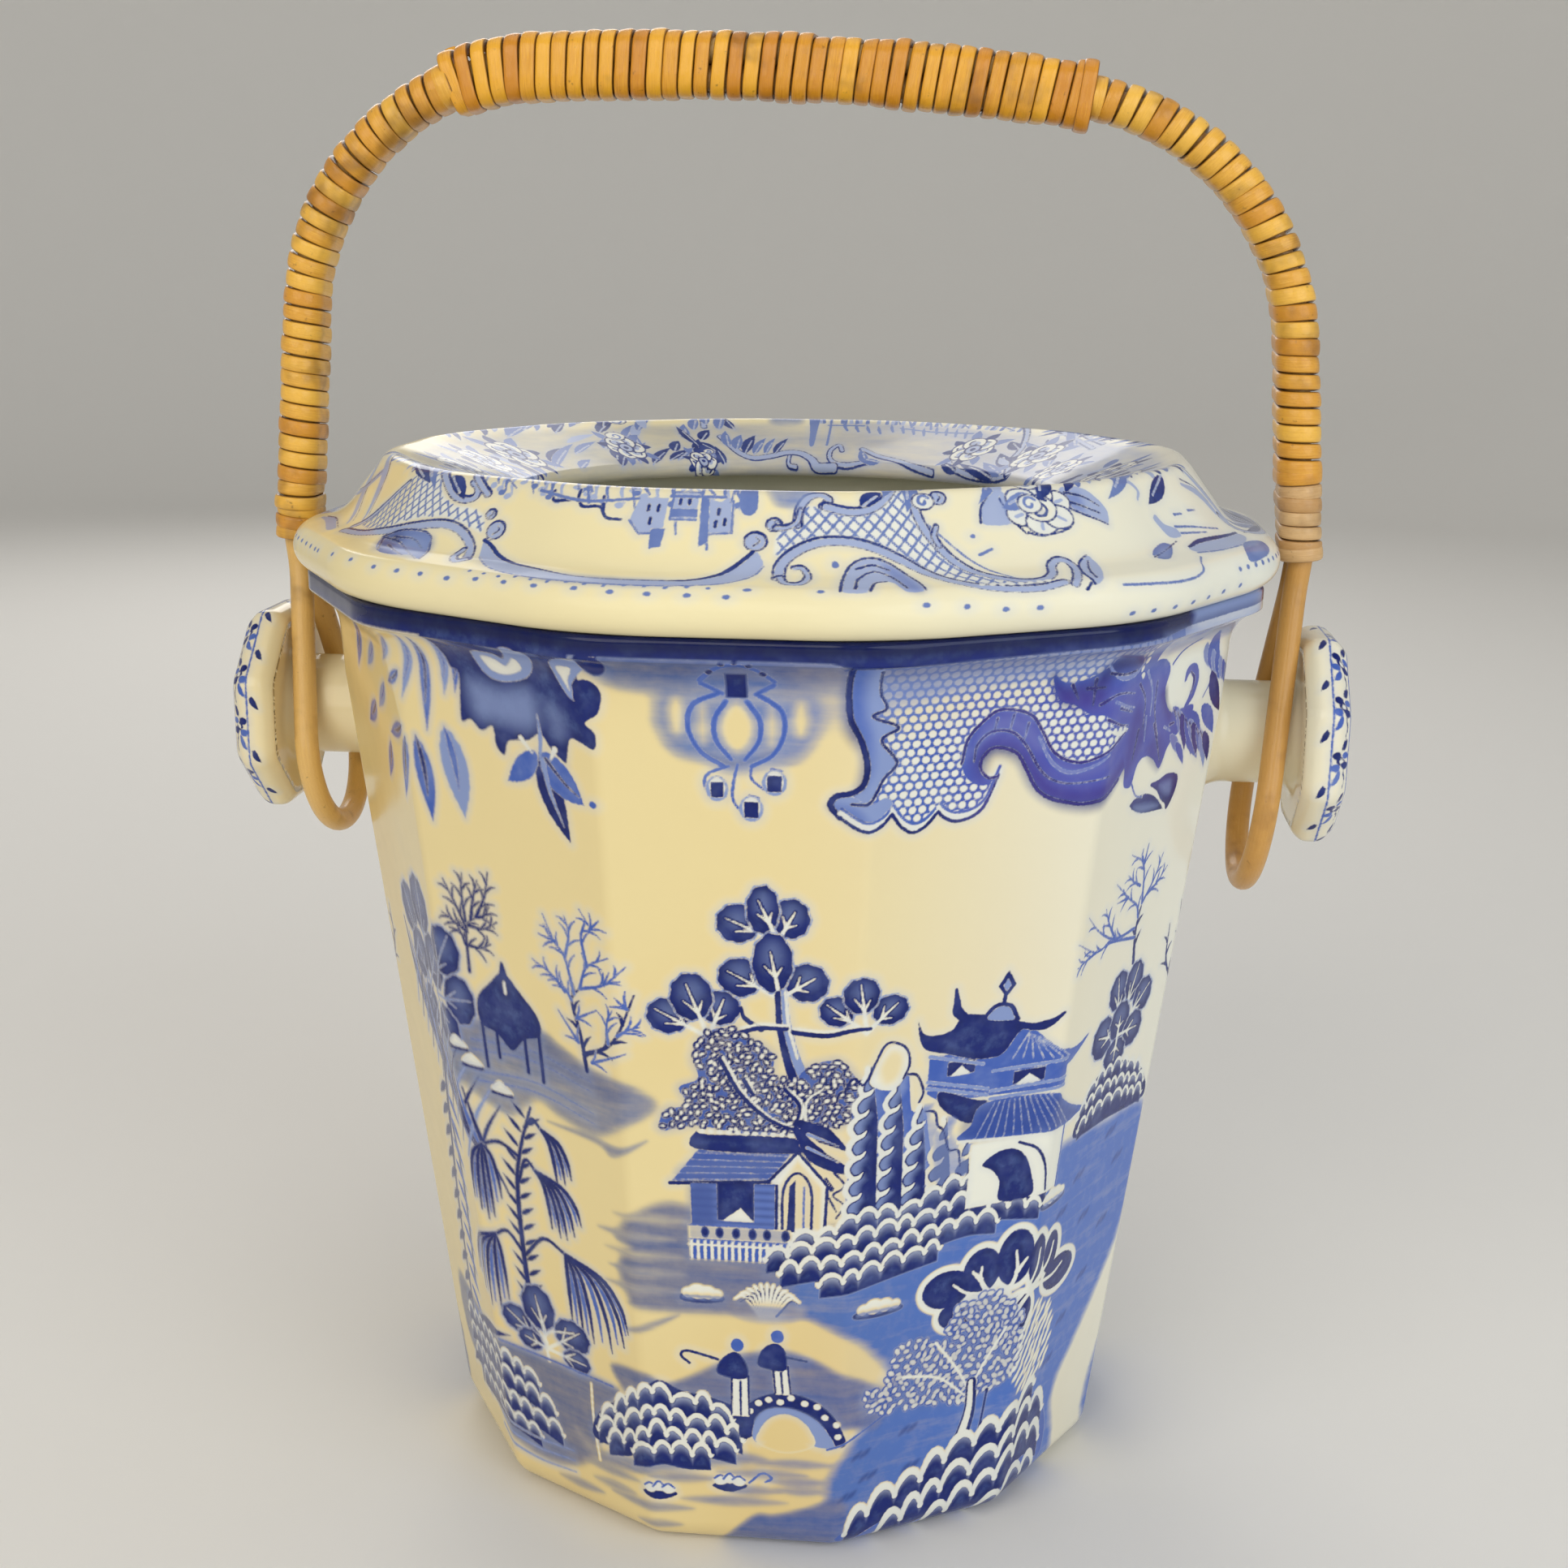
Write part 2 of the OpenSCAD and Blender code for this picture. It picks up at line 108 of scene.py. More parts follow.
def twelve_sided(section, columns, corner_r):
    """Points of a soft-cornered twelve-sided shell, rows by columns.

    A section gives the distance to the flats and the height; columns are counted from u = -180,
    where u is 60 for each side and 0 at the middle of the front.
    """
    a = section[:, 0:1]
    u = np.arange(columns) * SIDES * 60.0 / columns - 180.0
    side = np.floor((u + 30.0) / 60.0)
    share = (u - 60.0 * side) / 60.0
    half = a * math.tan(HALF_SIDE)
    r = np.minimum(corner_r, a)
    turn = r * math.tan(HALF_SIDE)
    s = share[None, :] * 2 * half
    past = np.clip((np.abs(s) - (half - turn)) / np.maximum(turn, TINY), 0, 1)
    angle = past * HALF_SIDE
    out = np.where(past > 0, a - r + r * np.cos(angle), a)
    along = np.where(past > 0, np.sign(s) * (half - turn + r * np.sin(angle)), s)
    face = np.radians(-90.0 + 30.0 * side)[None, :]
    x = out * np.cos(face) - along * np.sin(face)
    y = out * np.sin(face) + along * np.cos(face)
    z = np.broadcast_to(section[:, 1:2], x.shape)
    return np.stack([x, y, z], -1)


def grid_quads(rows, columns, wrap):
    r = np.arange(rows - 1)[:, None]
    c = np.arange(columns if wrap else columns - 1)[None, :]
    n = (c + 1) % columns
    quads = np.stack([r * columns + c, r * columns + n, (r + 1) * columns + n, (r + 1) * columns + c], -1)
    return quads.reshape(-1, 4)


def cap_triangles(ring, centre, flip):
    tri = np.stack([ring, np.roll(ring, -1), np.full(len(ring), centre)], 1)
    return tri[:, ::-1] if flip else tri


def mesh_piece(name, points, quads, triangles=None):
    """A smooth mesh object from points in millimetres."""
    triangles = np.zeros((0, 3), int) if triangles is None else triangles
    me = bpy.data.meshes.new(name)
    me.vertices.add(len(points))
    me.vertices.foreach_set("co", (points * MM).astype(np.float32).ravel())
    corners = np.concatenate([quads.ravel(), triangles.ravel()])
    starts = np.concatenate([np.arange(len(quads)) * 4, 4 * len(quads) + np.arange(len(triangles)) * 3])
    me.loops.add(len(corners))
    me.loops.foreach_set("vertex_index", corners.astype(np.int32))
    me.polygons.add(len(starts))
    me.polygons.foreach_set("loop_start", starts.astype(np.int32))
    me.polygons.foreach_set("use_smooth", np.ones(len(starts), bool))
    me.update(calc_edges=True)
    me.validate()
    piece = bpy.data.objects.new(name, me)
    bpy.context.scene.collection.objects.link(piece)
    return piece


def bake_map(piece, corner_uv):
    """The UV map that the materials are baked in, given per face corner."""
    layer = piece.data.uv_layers.new(name="OFBake")
    layer.data.foreach_set("uv", corner_uv.astype(np.float32).ravel())


def point_vectors(piece, name, values):
    attribute = piece.data.attributes.new(name, "FLOAT_VECTOR", "POINT")
    attribute.data.foreach_set("vector", values.astype(np.float32).ravel())


# Print: signed distances to the inked areas, in millimetres, on the unrolled sides

DARK, MID, LIGHT, PAPER = 0, 1, 2, 3
FAR = 30.0
SPLINE_STEPS = 6
EDGE_REACH = 3.0
PAPER_EDGE, INK_EDGE = 0.8, 0.5


def spline(points, closed=False):
    """A smooth line through points."""
    p = np.asarray(points, float)
    if len(p) < 3:
        return p
    if closed:
        p = np.concatenate([p[-1:], p, p[:2]])
    else:
        p = np.concatenate([2 * p[:1] - p[1:2], p, 2 * p[-1:] - p[-2:-1]])
    t = np.linspace(0, 1, SPLINE_STEPS, endpoint=False)[:, None]
    runs = []
    for a, b, c, d in zip(p, p[1:], p[2:], p[3:]):
        runs.append(0.5 * (2 * b + (c - a) * t + (2 * a - 5 * b + 4 * c - d) * t**2
                           + (3 * b - a - 3 * c + d) * t**3))
    out = np.concatenate(runs)
    return out if closed else np.concatenate([out, p[-2:-1]])


class Print:
    """An unrolled sheet of ink. u runs round the pail and z up it."""

    def __init__(self, u, z):
        self.u, self.z = u, z
        self.ink = np.full((3, len(z), len(u)), -FAR)
        self.wash = np.zeros((len(z), len(u)))
        self.shade = np.zeros((len(z), len(u)))

    def window(self, pts, reach):
        low, high = np.min(pts, 0) - reach, np.max(pts, 0) + reach
        c0, c1 = np.searchsorted(self.u, [low[0], high[0]])
        r0, r1 = np.searchsorted(self.z, [low[1], high[1]])
        if c0 >= c1 or r0 >= r1:
            return None
        rows, cols = slice(r0, r1), slice(c0, c1)
        return rows, cols, self.u[None, cols], self.z[r0:r1, None]

    def lay(self, rows, cols, sd, tone):
        for t in range(3):
            part = self.ink[t, rows, cols]
            self.ink[t, rows, cols] = np.maximum(part, sd) if t == tone else np.minimum(part, -sd)
        if tone == PAPER:
            bare = np.clip(0.5 - sd / PAPER_EDGE, 0, 1)
            self.wash[rows, cols] *= bare
            self.wash[rows, cols] -= 1 - bare
            self.shade[rows, cols] *= bare
        else:
            bare = np.clip(1.0 - sd / INK_EDGE, 0, 1)
            self.wash[rows, cols] *= bare
            self.shade[rows, cols] *= bare

    def stroke(self, points, width, tone, smooth=True, ends=1.0):
        """A line of a width that may thin towards its ends; width may be a list, one per point."""
        p = np.asarray(points, float)
        w = np.asarray(width, float)
        if w.ndim == 0:
            w = np.broadcast_to(w, len(p))
        if smooth and len(p) > 2:
            at = np.linspace(0, 1, len(p))
            p = spline(p)
            w = np.interp(np.linspace(0, 1, len(p)), at, w)
        if ends != 1.0:
            t = np.linspace(0, 1, len(p))
            w = w * (1 - t + ends * t)
        for i in range(len(p) - 1):
            reach = max(w[i], w[i + 1]) / 2 + EDGE_REACH
            got = self.window(p[i:i + 2], reach)
            if got is None:
                continue
            rows, cols, u, z = got
            d = p[i + 1] - p[i]
            t = np.clip(((u - p[i, 0]) * d[0] + (z - p[i, 1]) * d[1]) / max(d @ d, TINY), 0, 1)
            gap = np.hypot(u - p[i, 0] - t * d[0], z - p[i, 1] - t * d[1])
            self.lay(rows, cols, w[i] / 2 * (1 - t) + w[i + 1] / 2 * t - gap, tone)

    def distance(self, points, smooth=True, reach=EDGE_REACH):
        """Distance inside a closed outline, negative outside it, on the part of the sheet round it."""
        p = spline(points, closed=True) if smooth else np.asarray(points, float)
        got = self.window(p, reach)
        if got is None:
            return None
        rows, cols, u, z = got
        gap = np.full((z.shape[0], u.shape[1]), FAR * FAR)
        inside = np.zeros(gap.shape, bool)
        for a, b in zip(p, np.roll(p, -1, 0)):
            d = b - a
            t = np.clip(((u - a[0]) * d[0] + (z - a[1]) * d[1]) / max(d @ d, TINY), 0, 1)
            gap = np.minimum(gap, (u - a[0] - t * d[0])**2 + (z - a[1] - t * d[1])**2)
            if abs(d[1]) > TINY:
                cross = (a[1] > z) != (b[1] > z)
                inside ^= cross & (u < a[0] + (z - a[1]) / d[1] * d[0])
        gap = np.sqrt(gap)
        return rows, cols, np.where(inside, gap, -gap)

    def area(self, points, tone, smooth=True):
        got = self.distance(points, smooth)
        if got is not None:
            self.lay(*got, tone)

    def oval(self, u0, z0, ru, rz, tone, turn=0.0):
        reach = max(ru, rz)
        got = self.window(np.array([[u0 - reach, z0 - reach], [u0 + reach, z0 + reach]]), EDGE_REACH)
        if got is None:
            return
        rows, cols, u, z = got
        c, s = math.cos(math.radians(turn)), math.sin(math.radians(turn))
        x, y = (u - u0) * c + (z - z0) * s, (z - z0) * c - (u - u0) * s
        k = np.sqrt((x / ru)**2 + (y / rz)**2)
        self.lay(rows, cols, (1 - k) * min(ru, rz), tone)

    def soft(self, points, strength, edge, smooth=True, dark=False):
        """A wash of pale or dark ink with a soft edge."""
        got = self.distance(points, smooth, reach=edge + 1)
        if got is not None:
            rows, cols, sd = got
            cover = np.clip(sd / edge * 0.5 + 0.5, 0, 1)
            cover = cover * cover * (3 - 2 * cover)
            part = (self.shade if dark else self.wash)[rows, cols]
            part += (strength - part) * cover

    def fade_below(self, top, depth, strength):
        """Thin ink under a line that runs along u, back to full strength over depth."""
        top = np.asarray(top, float)
        top = top[np.argsort(top[:, 0])]
        got = self.window(top, depth + 1)
        if got is not None:
            rows, cols, u, z = got
            down = np.interp(u, top[:, 0], top[:, 1]) - z
            fade = np.clip(1 - down / depth, 0, 1)**2 * (down > 0) * (u >= top[0, 0]) * (u <= top[-1, 0])
            part = self.shade[rows, cols]
            part[:] = np.where(fade > 0, -strength * fade, part)

    def leaf(self, foot, tip, width, tone, bend=0.0):
        """A pointed leaf from foot to tip, bowed sideways by bend."""
        a, b = np.array(foot, float), np.array(tip, float)
        along = b - a
        side = np.array([-along[1], along[0]]) / max(np.hypot(*along), TINY)
        middle = (a + b) / 2 + side * bend
        t = np.linspace(0, 1, 9)[:, None]
        spine = a * (1 - t)**2 + middle * 2 * t * (1 - t) + b * t**2
        swell = np.sin(np.pi * t[:, 0]**0.8)
        self.stroke(spine, width * swell, tone, smooth=False)


def veined_lobe(s, u, z, ru, rz, foot, vein=PAPER):
    """A dark rounded leaf mass with a crinkled edge and forked veins that rise from its foot."""
    turn = np.linspace(0, 2 * math.pi, 32, endpoint=False)
    crinkle = 1 + 0.04 * np.cos(turn * 9 + u)
    for grow, tone in ((0.45, LIGHT), (0, DARK)):
        s.area(np.stack([u + (ru + grow) * crinkle * np.cos(turn),
            z + (rz + grow) * crinkle * np.sin(turn)], 1), tone, smooth=False)
    s.soft(np.stack([u + ru * 0.5 * np.cos(turn), z + rz * 0.2 + rz * 0.5 * np.sin(turn)], 1), 0.42,
        min(ru, rz) * 0.55, smooth=False)
    a, b = np.array(foot, float), np.array([u, z], float)
    side = np.array([-(b - a)[1], (b - a)[0]]) / max(np.hypot(*(b - a)), TINY)
    fork, top = a * 0.4 + b * 0.6, b + (b - a) * 0.30
    s.stroke([a, fork, top], [1.1, 0.9, 0.35], vein)
    for share, out in ((0.5, 0.45), (0.35, -0.42)):
        s.stroke([fork, fork * (1 - share) + top * share + side * ru * out], [0.85, 0.35], vein)


def scallops(s, path, pitch, rise, under=6.0, white=1.2):
    """A row of uneven wave caps along a path: white curls over hollows that run from pale to dark."""
    p = spline(path) if len(path) > 2 else np.asarray(path, float)
    run = np.concatenate([[0], np.cumsum(np.hypot(*np.diff(p, axis=0).T))])
    n = max(1, round(run[-1] / pitch))
    rng = np.random.default_rng(int(abs(7 * p[0, 0] + 13 * p[0, 1])))
    knots = np.cumsum(np.append(0, rng.uniform(0.75, 1.25, n)))
    step = np.arange(n * 8 + 1)
    at = np.interp(step / 8, np.arange(n + 1), knots * run[-1] / knots[-1])
    base = np.stack([np.interp(at, run, p[:, 0]), np.interp(at, run, p[:, 1])], 1)
    phase = np.abs(np.sin(step * math.pi / 8))
    high = np.append(np.repeat(rng.uniform(0.8, 1.25, n), 8), 1)
    arch = base + np.stack([0 * at, rise * high * phase**0.7], 1)
    band = np.concatenate([arch, (base - [0, under])[::-1]])
    s.area(band, DARK, smooth=False)
    s.fade_below(arch, min(under, 4.6), 1.0)
    s.stroke(arch, white * (0.7 + 0.6 * phase), PAPER, smooth=False)
    for k in range(n + 1):
        foot = base[8 * k]
        s.stroke([foot + [-0.7, 0.5], foot + [0, -0.4], foot + [0.9, 0.3]], [0.5, white, 0.4], PAPER)


def dotted(s, outline, spacing, size, tone, seed, long=1.0, turn=0.0, jitter=0.25):
    """Fills an outline with evenly scattered dots or short dashes."""
    rng = np.random.default_rng(seed)
    p = spline(outline, closed=True)
    low, high = p.min(0), p.max(0)
    row = 0
    for z in np.arange(low[1], high[1], spacing * 0.87):
        row += 1
        for u in np.arange(low[0] + (row % 2) * spacing / 2, high[0], spacing):
            a, b = np.array([u, z]) + rng.normal(0, jitter, 2) * spacing
            if inside(p, a, b):
                s.oval(a, b, size * long / 2, size / 2, tone, turn)


def inside(p, u, z):
    q = np.roll(p, -1, 0)
    cross = (p[:, 1] > z) != (q[:, 1] > z)
    at = p[:, 0] + (z - p[:, 1]) / np.where(q[:, 1] == p[:, 1], 1, q[:, 1] - p[:, 1]) * (q[:, 0] - p[:, 0])
    return np.sum(cross & (u < at)) % 2 == 1


def strokes(s, width, tone, *paths, ends=0.35):
    for path in paths:
        s.stroke(path, width, tone, ends=ends)


def lobes(s, foot, *places, vein=PAPER):
    for u, z, ru, rz in places:
        veined_lobe(s, u, z, ru, rz, foot, vein)


def paint_grounds(s):
    """Washes of pale ink: water, hills and banks."""
    ground(s, [(-12, 113), (-20, 114), (-27, 111), (-33, 106), (-35.5, 101), (-31, 99), (-34, 96),
        (-35.5, 90), (-33, 83), (-29, 80), (0, 80), (17, 81), (34, 76), (60, 90), (60, 112), (10, 108)],
        0.72, 0.42, 2.4)
    ground(s, [(14, 84), (22, 79), (33, 73), (42, 64), (47, 56), (41, 47), (35, 40), (28, 30), (26, 22),
        (29, 12), (24, 2), (60, -4), (121, -3), (124, 12), (119, 30), (130, 45), (140, 58), (150, 78),
        (151, 114), (125, 118.5), (110, 120), (91, 119.5), (78, 112), (40, 106), (20, 100)], 1.0, 0.12,
        3.0)
    ground(s, [(-42, 57), (-30, 59), (-22, 56), (-8, 63), (0, 67), (12, 69), (20, 67), (28, 63),
        (38, 58), (46, 52), (42, 42), (30, 44), (0, 44), (-30, 46)], 0.72, 0.44, 1.8)
    ground(s, [(-36, 71.5), (-28, 72.5), (-18, 78.5), (-24, 76.5)], 0.6, 0.25, 1.6)
    for u, z in ((-41, 86), (-39, 91.5), (-40, 97), (-42, 102.5), (-36, 108.5)):
        ground(s, [(u, z), (u + 12, z + 1.6), (u + 24, z), (u + 12, z - 1.4)], 0.5, 0.2, 1.6)
    ground(s, [(-96, 155), (-80, 154), (-57, 158), (-50, 155), (-40, 151), (-28, 149), (-21, 143),
        (-30, 136), (-40, 131), (-52, 133), (-60, 136), (-70, 129), (-78, 130), (-86, 133),
        (-100, 138)], 0.65, 0.24, 2.4)
    ground(s, [(-92, 153), (-60, 157), (-40, 150), (-28, 147), (-34, 143), (-52, 146), (-74, 146),
        (-92, 142)], 0.7, 0.42, 2.6)
    ground(s, [(-57, 130.5), (-40, 128.5), (-34, 126), (-24, 132.5), (-32, 129.5), (-42, 130.5)], 0.65,
        0.22, 1.4)
    ground(s, [(-135, 52), (-110, 50), (-70, 50.5), (-40, 50), (-46, 40), (-52, 24), (-62, 16),
        (-80, 14), (-110, 22), (-135, 30)], 0.72, 0.42, 2.4)
    ground(s, [(-8, 1), (3, 12.5), (10, 13.5), (20, 16.5), (31, 20), (34, 8), (28, -4), (-4, -4)], 0.8,
        0.42, 1.6)
    ground(s, [(-60, 30), (-48, 26), (-20, 31), (0, 34), (6, 31), (-20, 27), (-50, 21)], 0.6, 0.22, 2.5)
    for u0, u1, z in ((-58, -34, 20), (-46, -16, 13), (-20, 14, 17), (-8, 20, 27), (-30, -8, 24),
            (10, 27, 22), (-70, -50, 10), (-36, -20, 7), (4, 28, 31), (8, 27, 25), (-54, -36, 15),
            (-44, -30, 25), (-6, 12, 21)):
        ground(s, [(u0, z), ((u0 + u1) / 2, z + 2.0), (u1, z + 0.6), ((u0 + u1) / 2, z - 1.5)], 0.55,
            0.18, 1.8)


def paint_border(s):
    """Under the navy rim: a painted shadow band below the drainer's lip, leaves, sprays and a pomegranate.
    """
    # Painted shade: a grey-blue band under the drainer's lip, darkest at the top, where the flare falls into
    # shadow
    s.soft([(-29, 272), (26, 272), (24, 259.5), (0, 257), (-27, 258.5)], 0.85, 2.6)
    s.soft([(-29, 274), (26, 274), (24, 262), (0, 260), (-27, 261)], 0.5, 5.0, dark=True)
    # Hanging spray of pale leaves
    for foot, tip, w, tone in (((-76, 240), (-73, 215.5), 8.4, LIGHT),
            ((-86, 236), (-84.3, 212.5), 5.8, MID), ((-79.5, 264), (-81.8, 238), 3.2, MID),
            ((-90, 235), (-98, 216), 5.0, MID), ((-91, 238), (-104, 233), 4.4, MID),
            ((-83, 264), (-89, 246), 3.0, LIGHT), ((-90, 253), (-98, 248.5), 3.2, MID),
            ((-103, 247), (-113, 238), 4.0, LIGHT), ((-106, 230), (-113, 218), 4.0, MID),
            ((-116, 239), (-127, 231), 5.0, MID), ((-109, 257), (-118, 249), 4.0, LIGHT),
            ((-92, 262), (-100, 254), 3.0, LIGHT), ((-73, 264), (-74.5, 249), 2.6, LIGHT),
            ((-120, 262), (-130, 246), 4.4, MID), ((-70, 262), (-71, 250), 2.0, MID)):
        s.leaf(foot, tip, w, tone, bend=1.2)
        s.leaf(foot, (foot[0] * 0.3 + tip[0] * 0.7, foot[1] * 0.3 + tip[1] * 0.7), w * 0.25,
            (DARK, DARK, MID)[tone], bend=1.4)
    # Lobed leaf
    s.area([(-69.5, 272), (-71.5, 258), (-69, 255.5), (-70, 245), (-69.6, 242.5), (-67, 243.5),
        (-64, 241), (-60.4, 242.6), (-59.8, 237.5), (-57.5, 235.5), (-55.8, 239.5), (-50, 240.6),
        (-46, 243), (-43, 239.5), (-39.4, 236.6), (-38.6, 237.4), (-37.2, 243), (-34, 242.6),
        (-30.4, 241.4), (-30.2, 245.5), (-32.5, 248), (-29.4, 250.5), (-28.4, 254.5), (-30, 258),
        (-33.5, 259), (-35, 272)], DARK)
    s.soft([(-66, 254), (-57, 253), (-48, 254), (-46, 247), (-50, 243.5), (-58, 244), (-65, 245)], 0.75,
        4.0)
    s.soft([(-44, 252), (-39, 250), (-38, 244), (-42, 243)], 0.45, 3.0)
    s.area([(-62, 262.5), (-61.4, 257.5), (-57, 255.2), (-50, 256.4), (-46, 259.5), (-44.6, 264.5),
        (-50, 266), (-53, 262), (-56, 263)], LIGHT)
    s.area([(-60, 261.5), (-58.5, 258), (-54, 257.2), (-49, 259.5), (-50, 262.5), (-53.5, 259.8),
        (-56.5, 261.5)], PAPER)
    s.area([(-39.4, 263), (-39, 258), (-36.4, 254), (-34.6, 253.4), (-35.4, 257), (-33.4, 260),
        (-30, 264), (-35, 265)], LIGHT)
    s.area([(-38.2, 262), (-37.6, 258.5), (-36, 255.5), (-36.2, 258.5), (-34.4, 262)], PAPER)
    s.oval(-31.8, 255, 3.6, 4.2, DARK)
    s.oval(-28.5, 264.4, 3.2, 4.0, DARK)
    s.oval(-27, 267.4, 1.1, 1.0, PAPER)
    s.leaf((-46.8, 238), (-39.5, 214.8), 7.0, DARK, bend=-1.5)
    s.leaf((-45.6, 238), (-34.5, 226), 8.0, MID, bend=-2.0)
    s.leaf((-48, 238), (-57.5, 228.5), 6.0, MID, bend=1.5)
    s.stroke([(-46, 236), (-44.6, 228), (-41.2, 219)], [1.6, 1.2, 0.3], LIGHT)
    s.stroke([(-45, 236.5), (-40, 231), (-36, 228)], [1.0, 0.7, 0.3], DARK)
    s.stroke([(-46.4, 248), (-46, 242), (-46.8, 236)], [0.4, 1.3, 0.7], LIGHT)
    s.stroke([(-52, 241), (-49, 237.5)], [1.5, 0.6], PAPER)
    s.stroke([(-42, 239.5), (-43.6, 236.5)], [1.8, 0.6], PAPER)
    s.oval(-32, 226.7, 1.1, 0.9, MID)
    # Pomegranate
    s.soft([(-14, 260), (-17, 250), (-13, 241.5), (-6, 239), (0, 236.5), (8, 238.5), (15, 241),
        (19.5, 250), (17, 260), (2, 258)], 0.8, 2.8)
    for u, z, ru, rz, strength in ((-12, 251, 1.8, 4.4, 0.12), (14.6, 251, 1.8, 4.4, 0.12),
            (0.9, 248.4, 3.4, 6.0, 0.0), (-6.4, 249, 1.2, 5.0, 0.25), (8.4, 249, 1.2, 5.0, 0.25)):
        turn = np.linspace(0, 2 * math.pi, 16, endpoint=False)
        s.soft(np.stack([u + ru * np.cos(turn), z + rz * np.sin(turn)], 1), strength, 1.8, smooth=False)
    s.soft([(-8, 243), (0, 238.5), (9, 243), (4, 240), (-2, 240)], 0.4, 1.4, dark=True)
    strokes(s, 1.5, MID, [(-3, 257), (-8.4, 254), (-9.6, 248), (-7, 242), (-2, 238.4)],
        [(5.4, 257), (10.4, 253), (11, 247), (8.6, 241.6), (4, 238.6)],
        [(-1.4, 255), (-3.8, 250.5), (-3.6, 245), (-0.4, 240.2)],
        [(3.2, 255), (5.8, 250.5), (5.6, 245), (2.6, 240.2)],
        [(-6.6, 260.5), (-3, 264), (1, 265.4), (5, 264), (9, 260.5)], [(-6.4, 259.6), (-2, 257)],
        [(8.8, 259.6), (5, 257)], ends=0.8)
    for u in (-4.4, -1.6, 1.2, 4.0, 6.6):
        s.oval(u, 266.4 - 0.12 * (u - 1)**2, 0.8, 0.8, DARK)
    s.area([(-1.5, 255.8), (3.5, 255.8), (3.5, 262.8), (-1.5, 262.8)], DARK, smooth=False)
    strokes(s, 0.8, MID, [(-1, 238.4), (-5.4, 236.4), (-6.4, 233.6), (-5.4, 230.6)],
        [(1, 239), (0, 234), (0, 229.4), (2.6, 225.4)], [(4, 238.6), (4, 235.4), (6.6, 232.6)],
        [(-3.4, 235.6), (-2, 234.6)], [(3.6, 231), (5.4, 230.4)], [(8.4, 238), (10.6, 237.6)], ends=0.8)
    for u, z, w, h in ((-3.6, 232.2, 2.8, 4.0), (3.9, 227.2, 3.2, 4.2), (9, 234.2, 3.2, 4.2)):
        s.oval(u, z + 0.3, w / 2 + 1.1, h / 2 + 1.3, LIGHT)
        s.oval(u, z + 0.6, w / 2 + 0.4, h / 2 + 0.7, PAPER)
        s.area([(u - w / 2, z - h / 2), (u + w / 2, z - h / 2), (u + w / 2, z + h / 2),
            (u - w / 2, z + h / 2)], DARK, smooth=False)


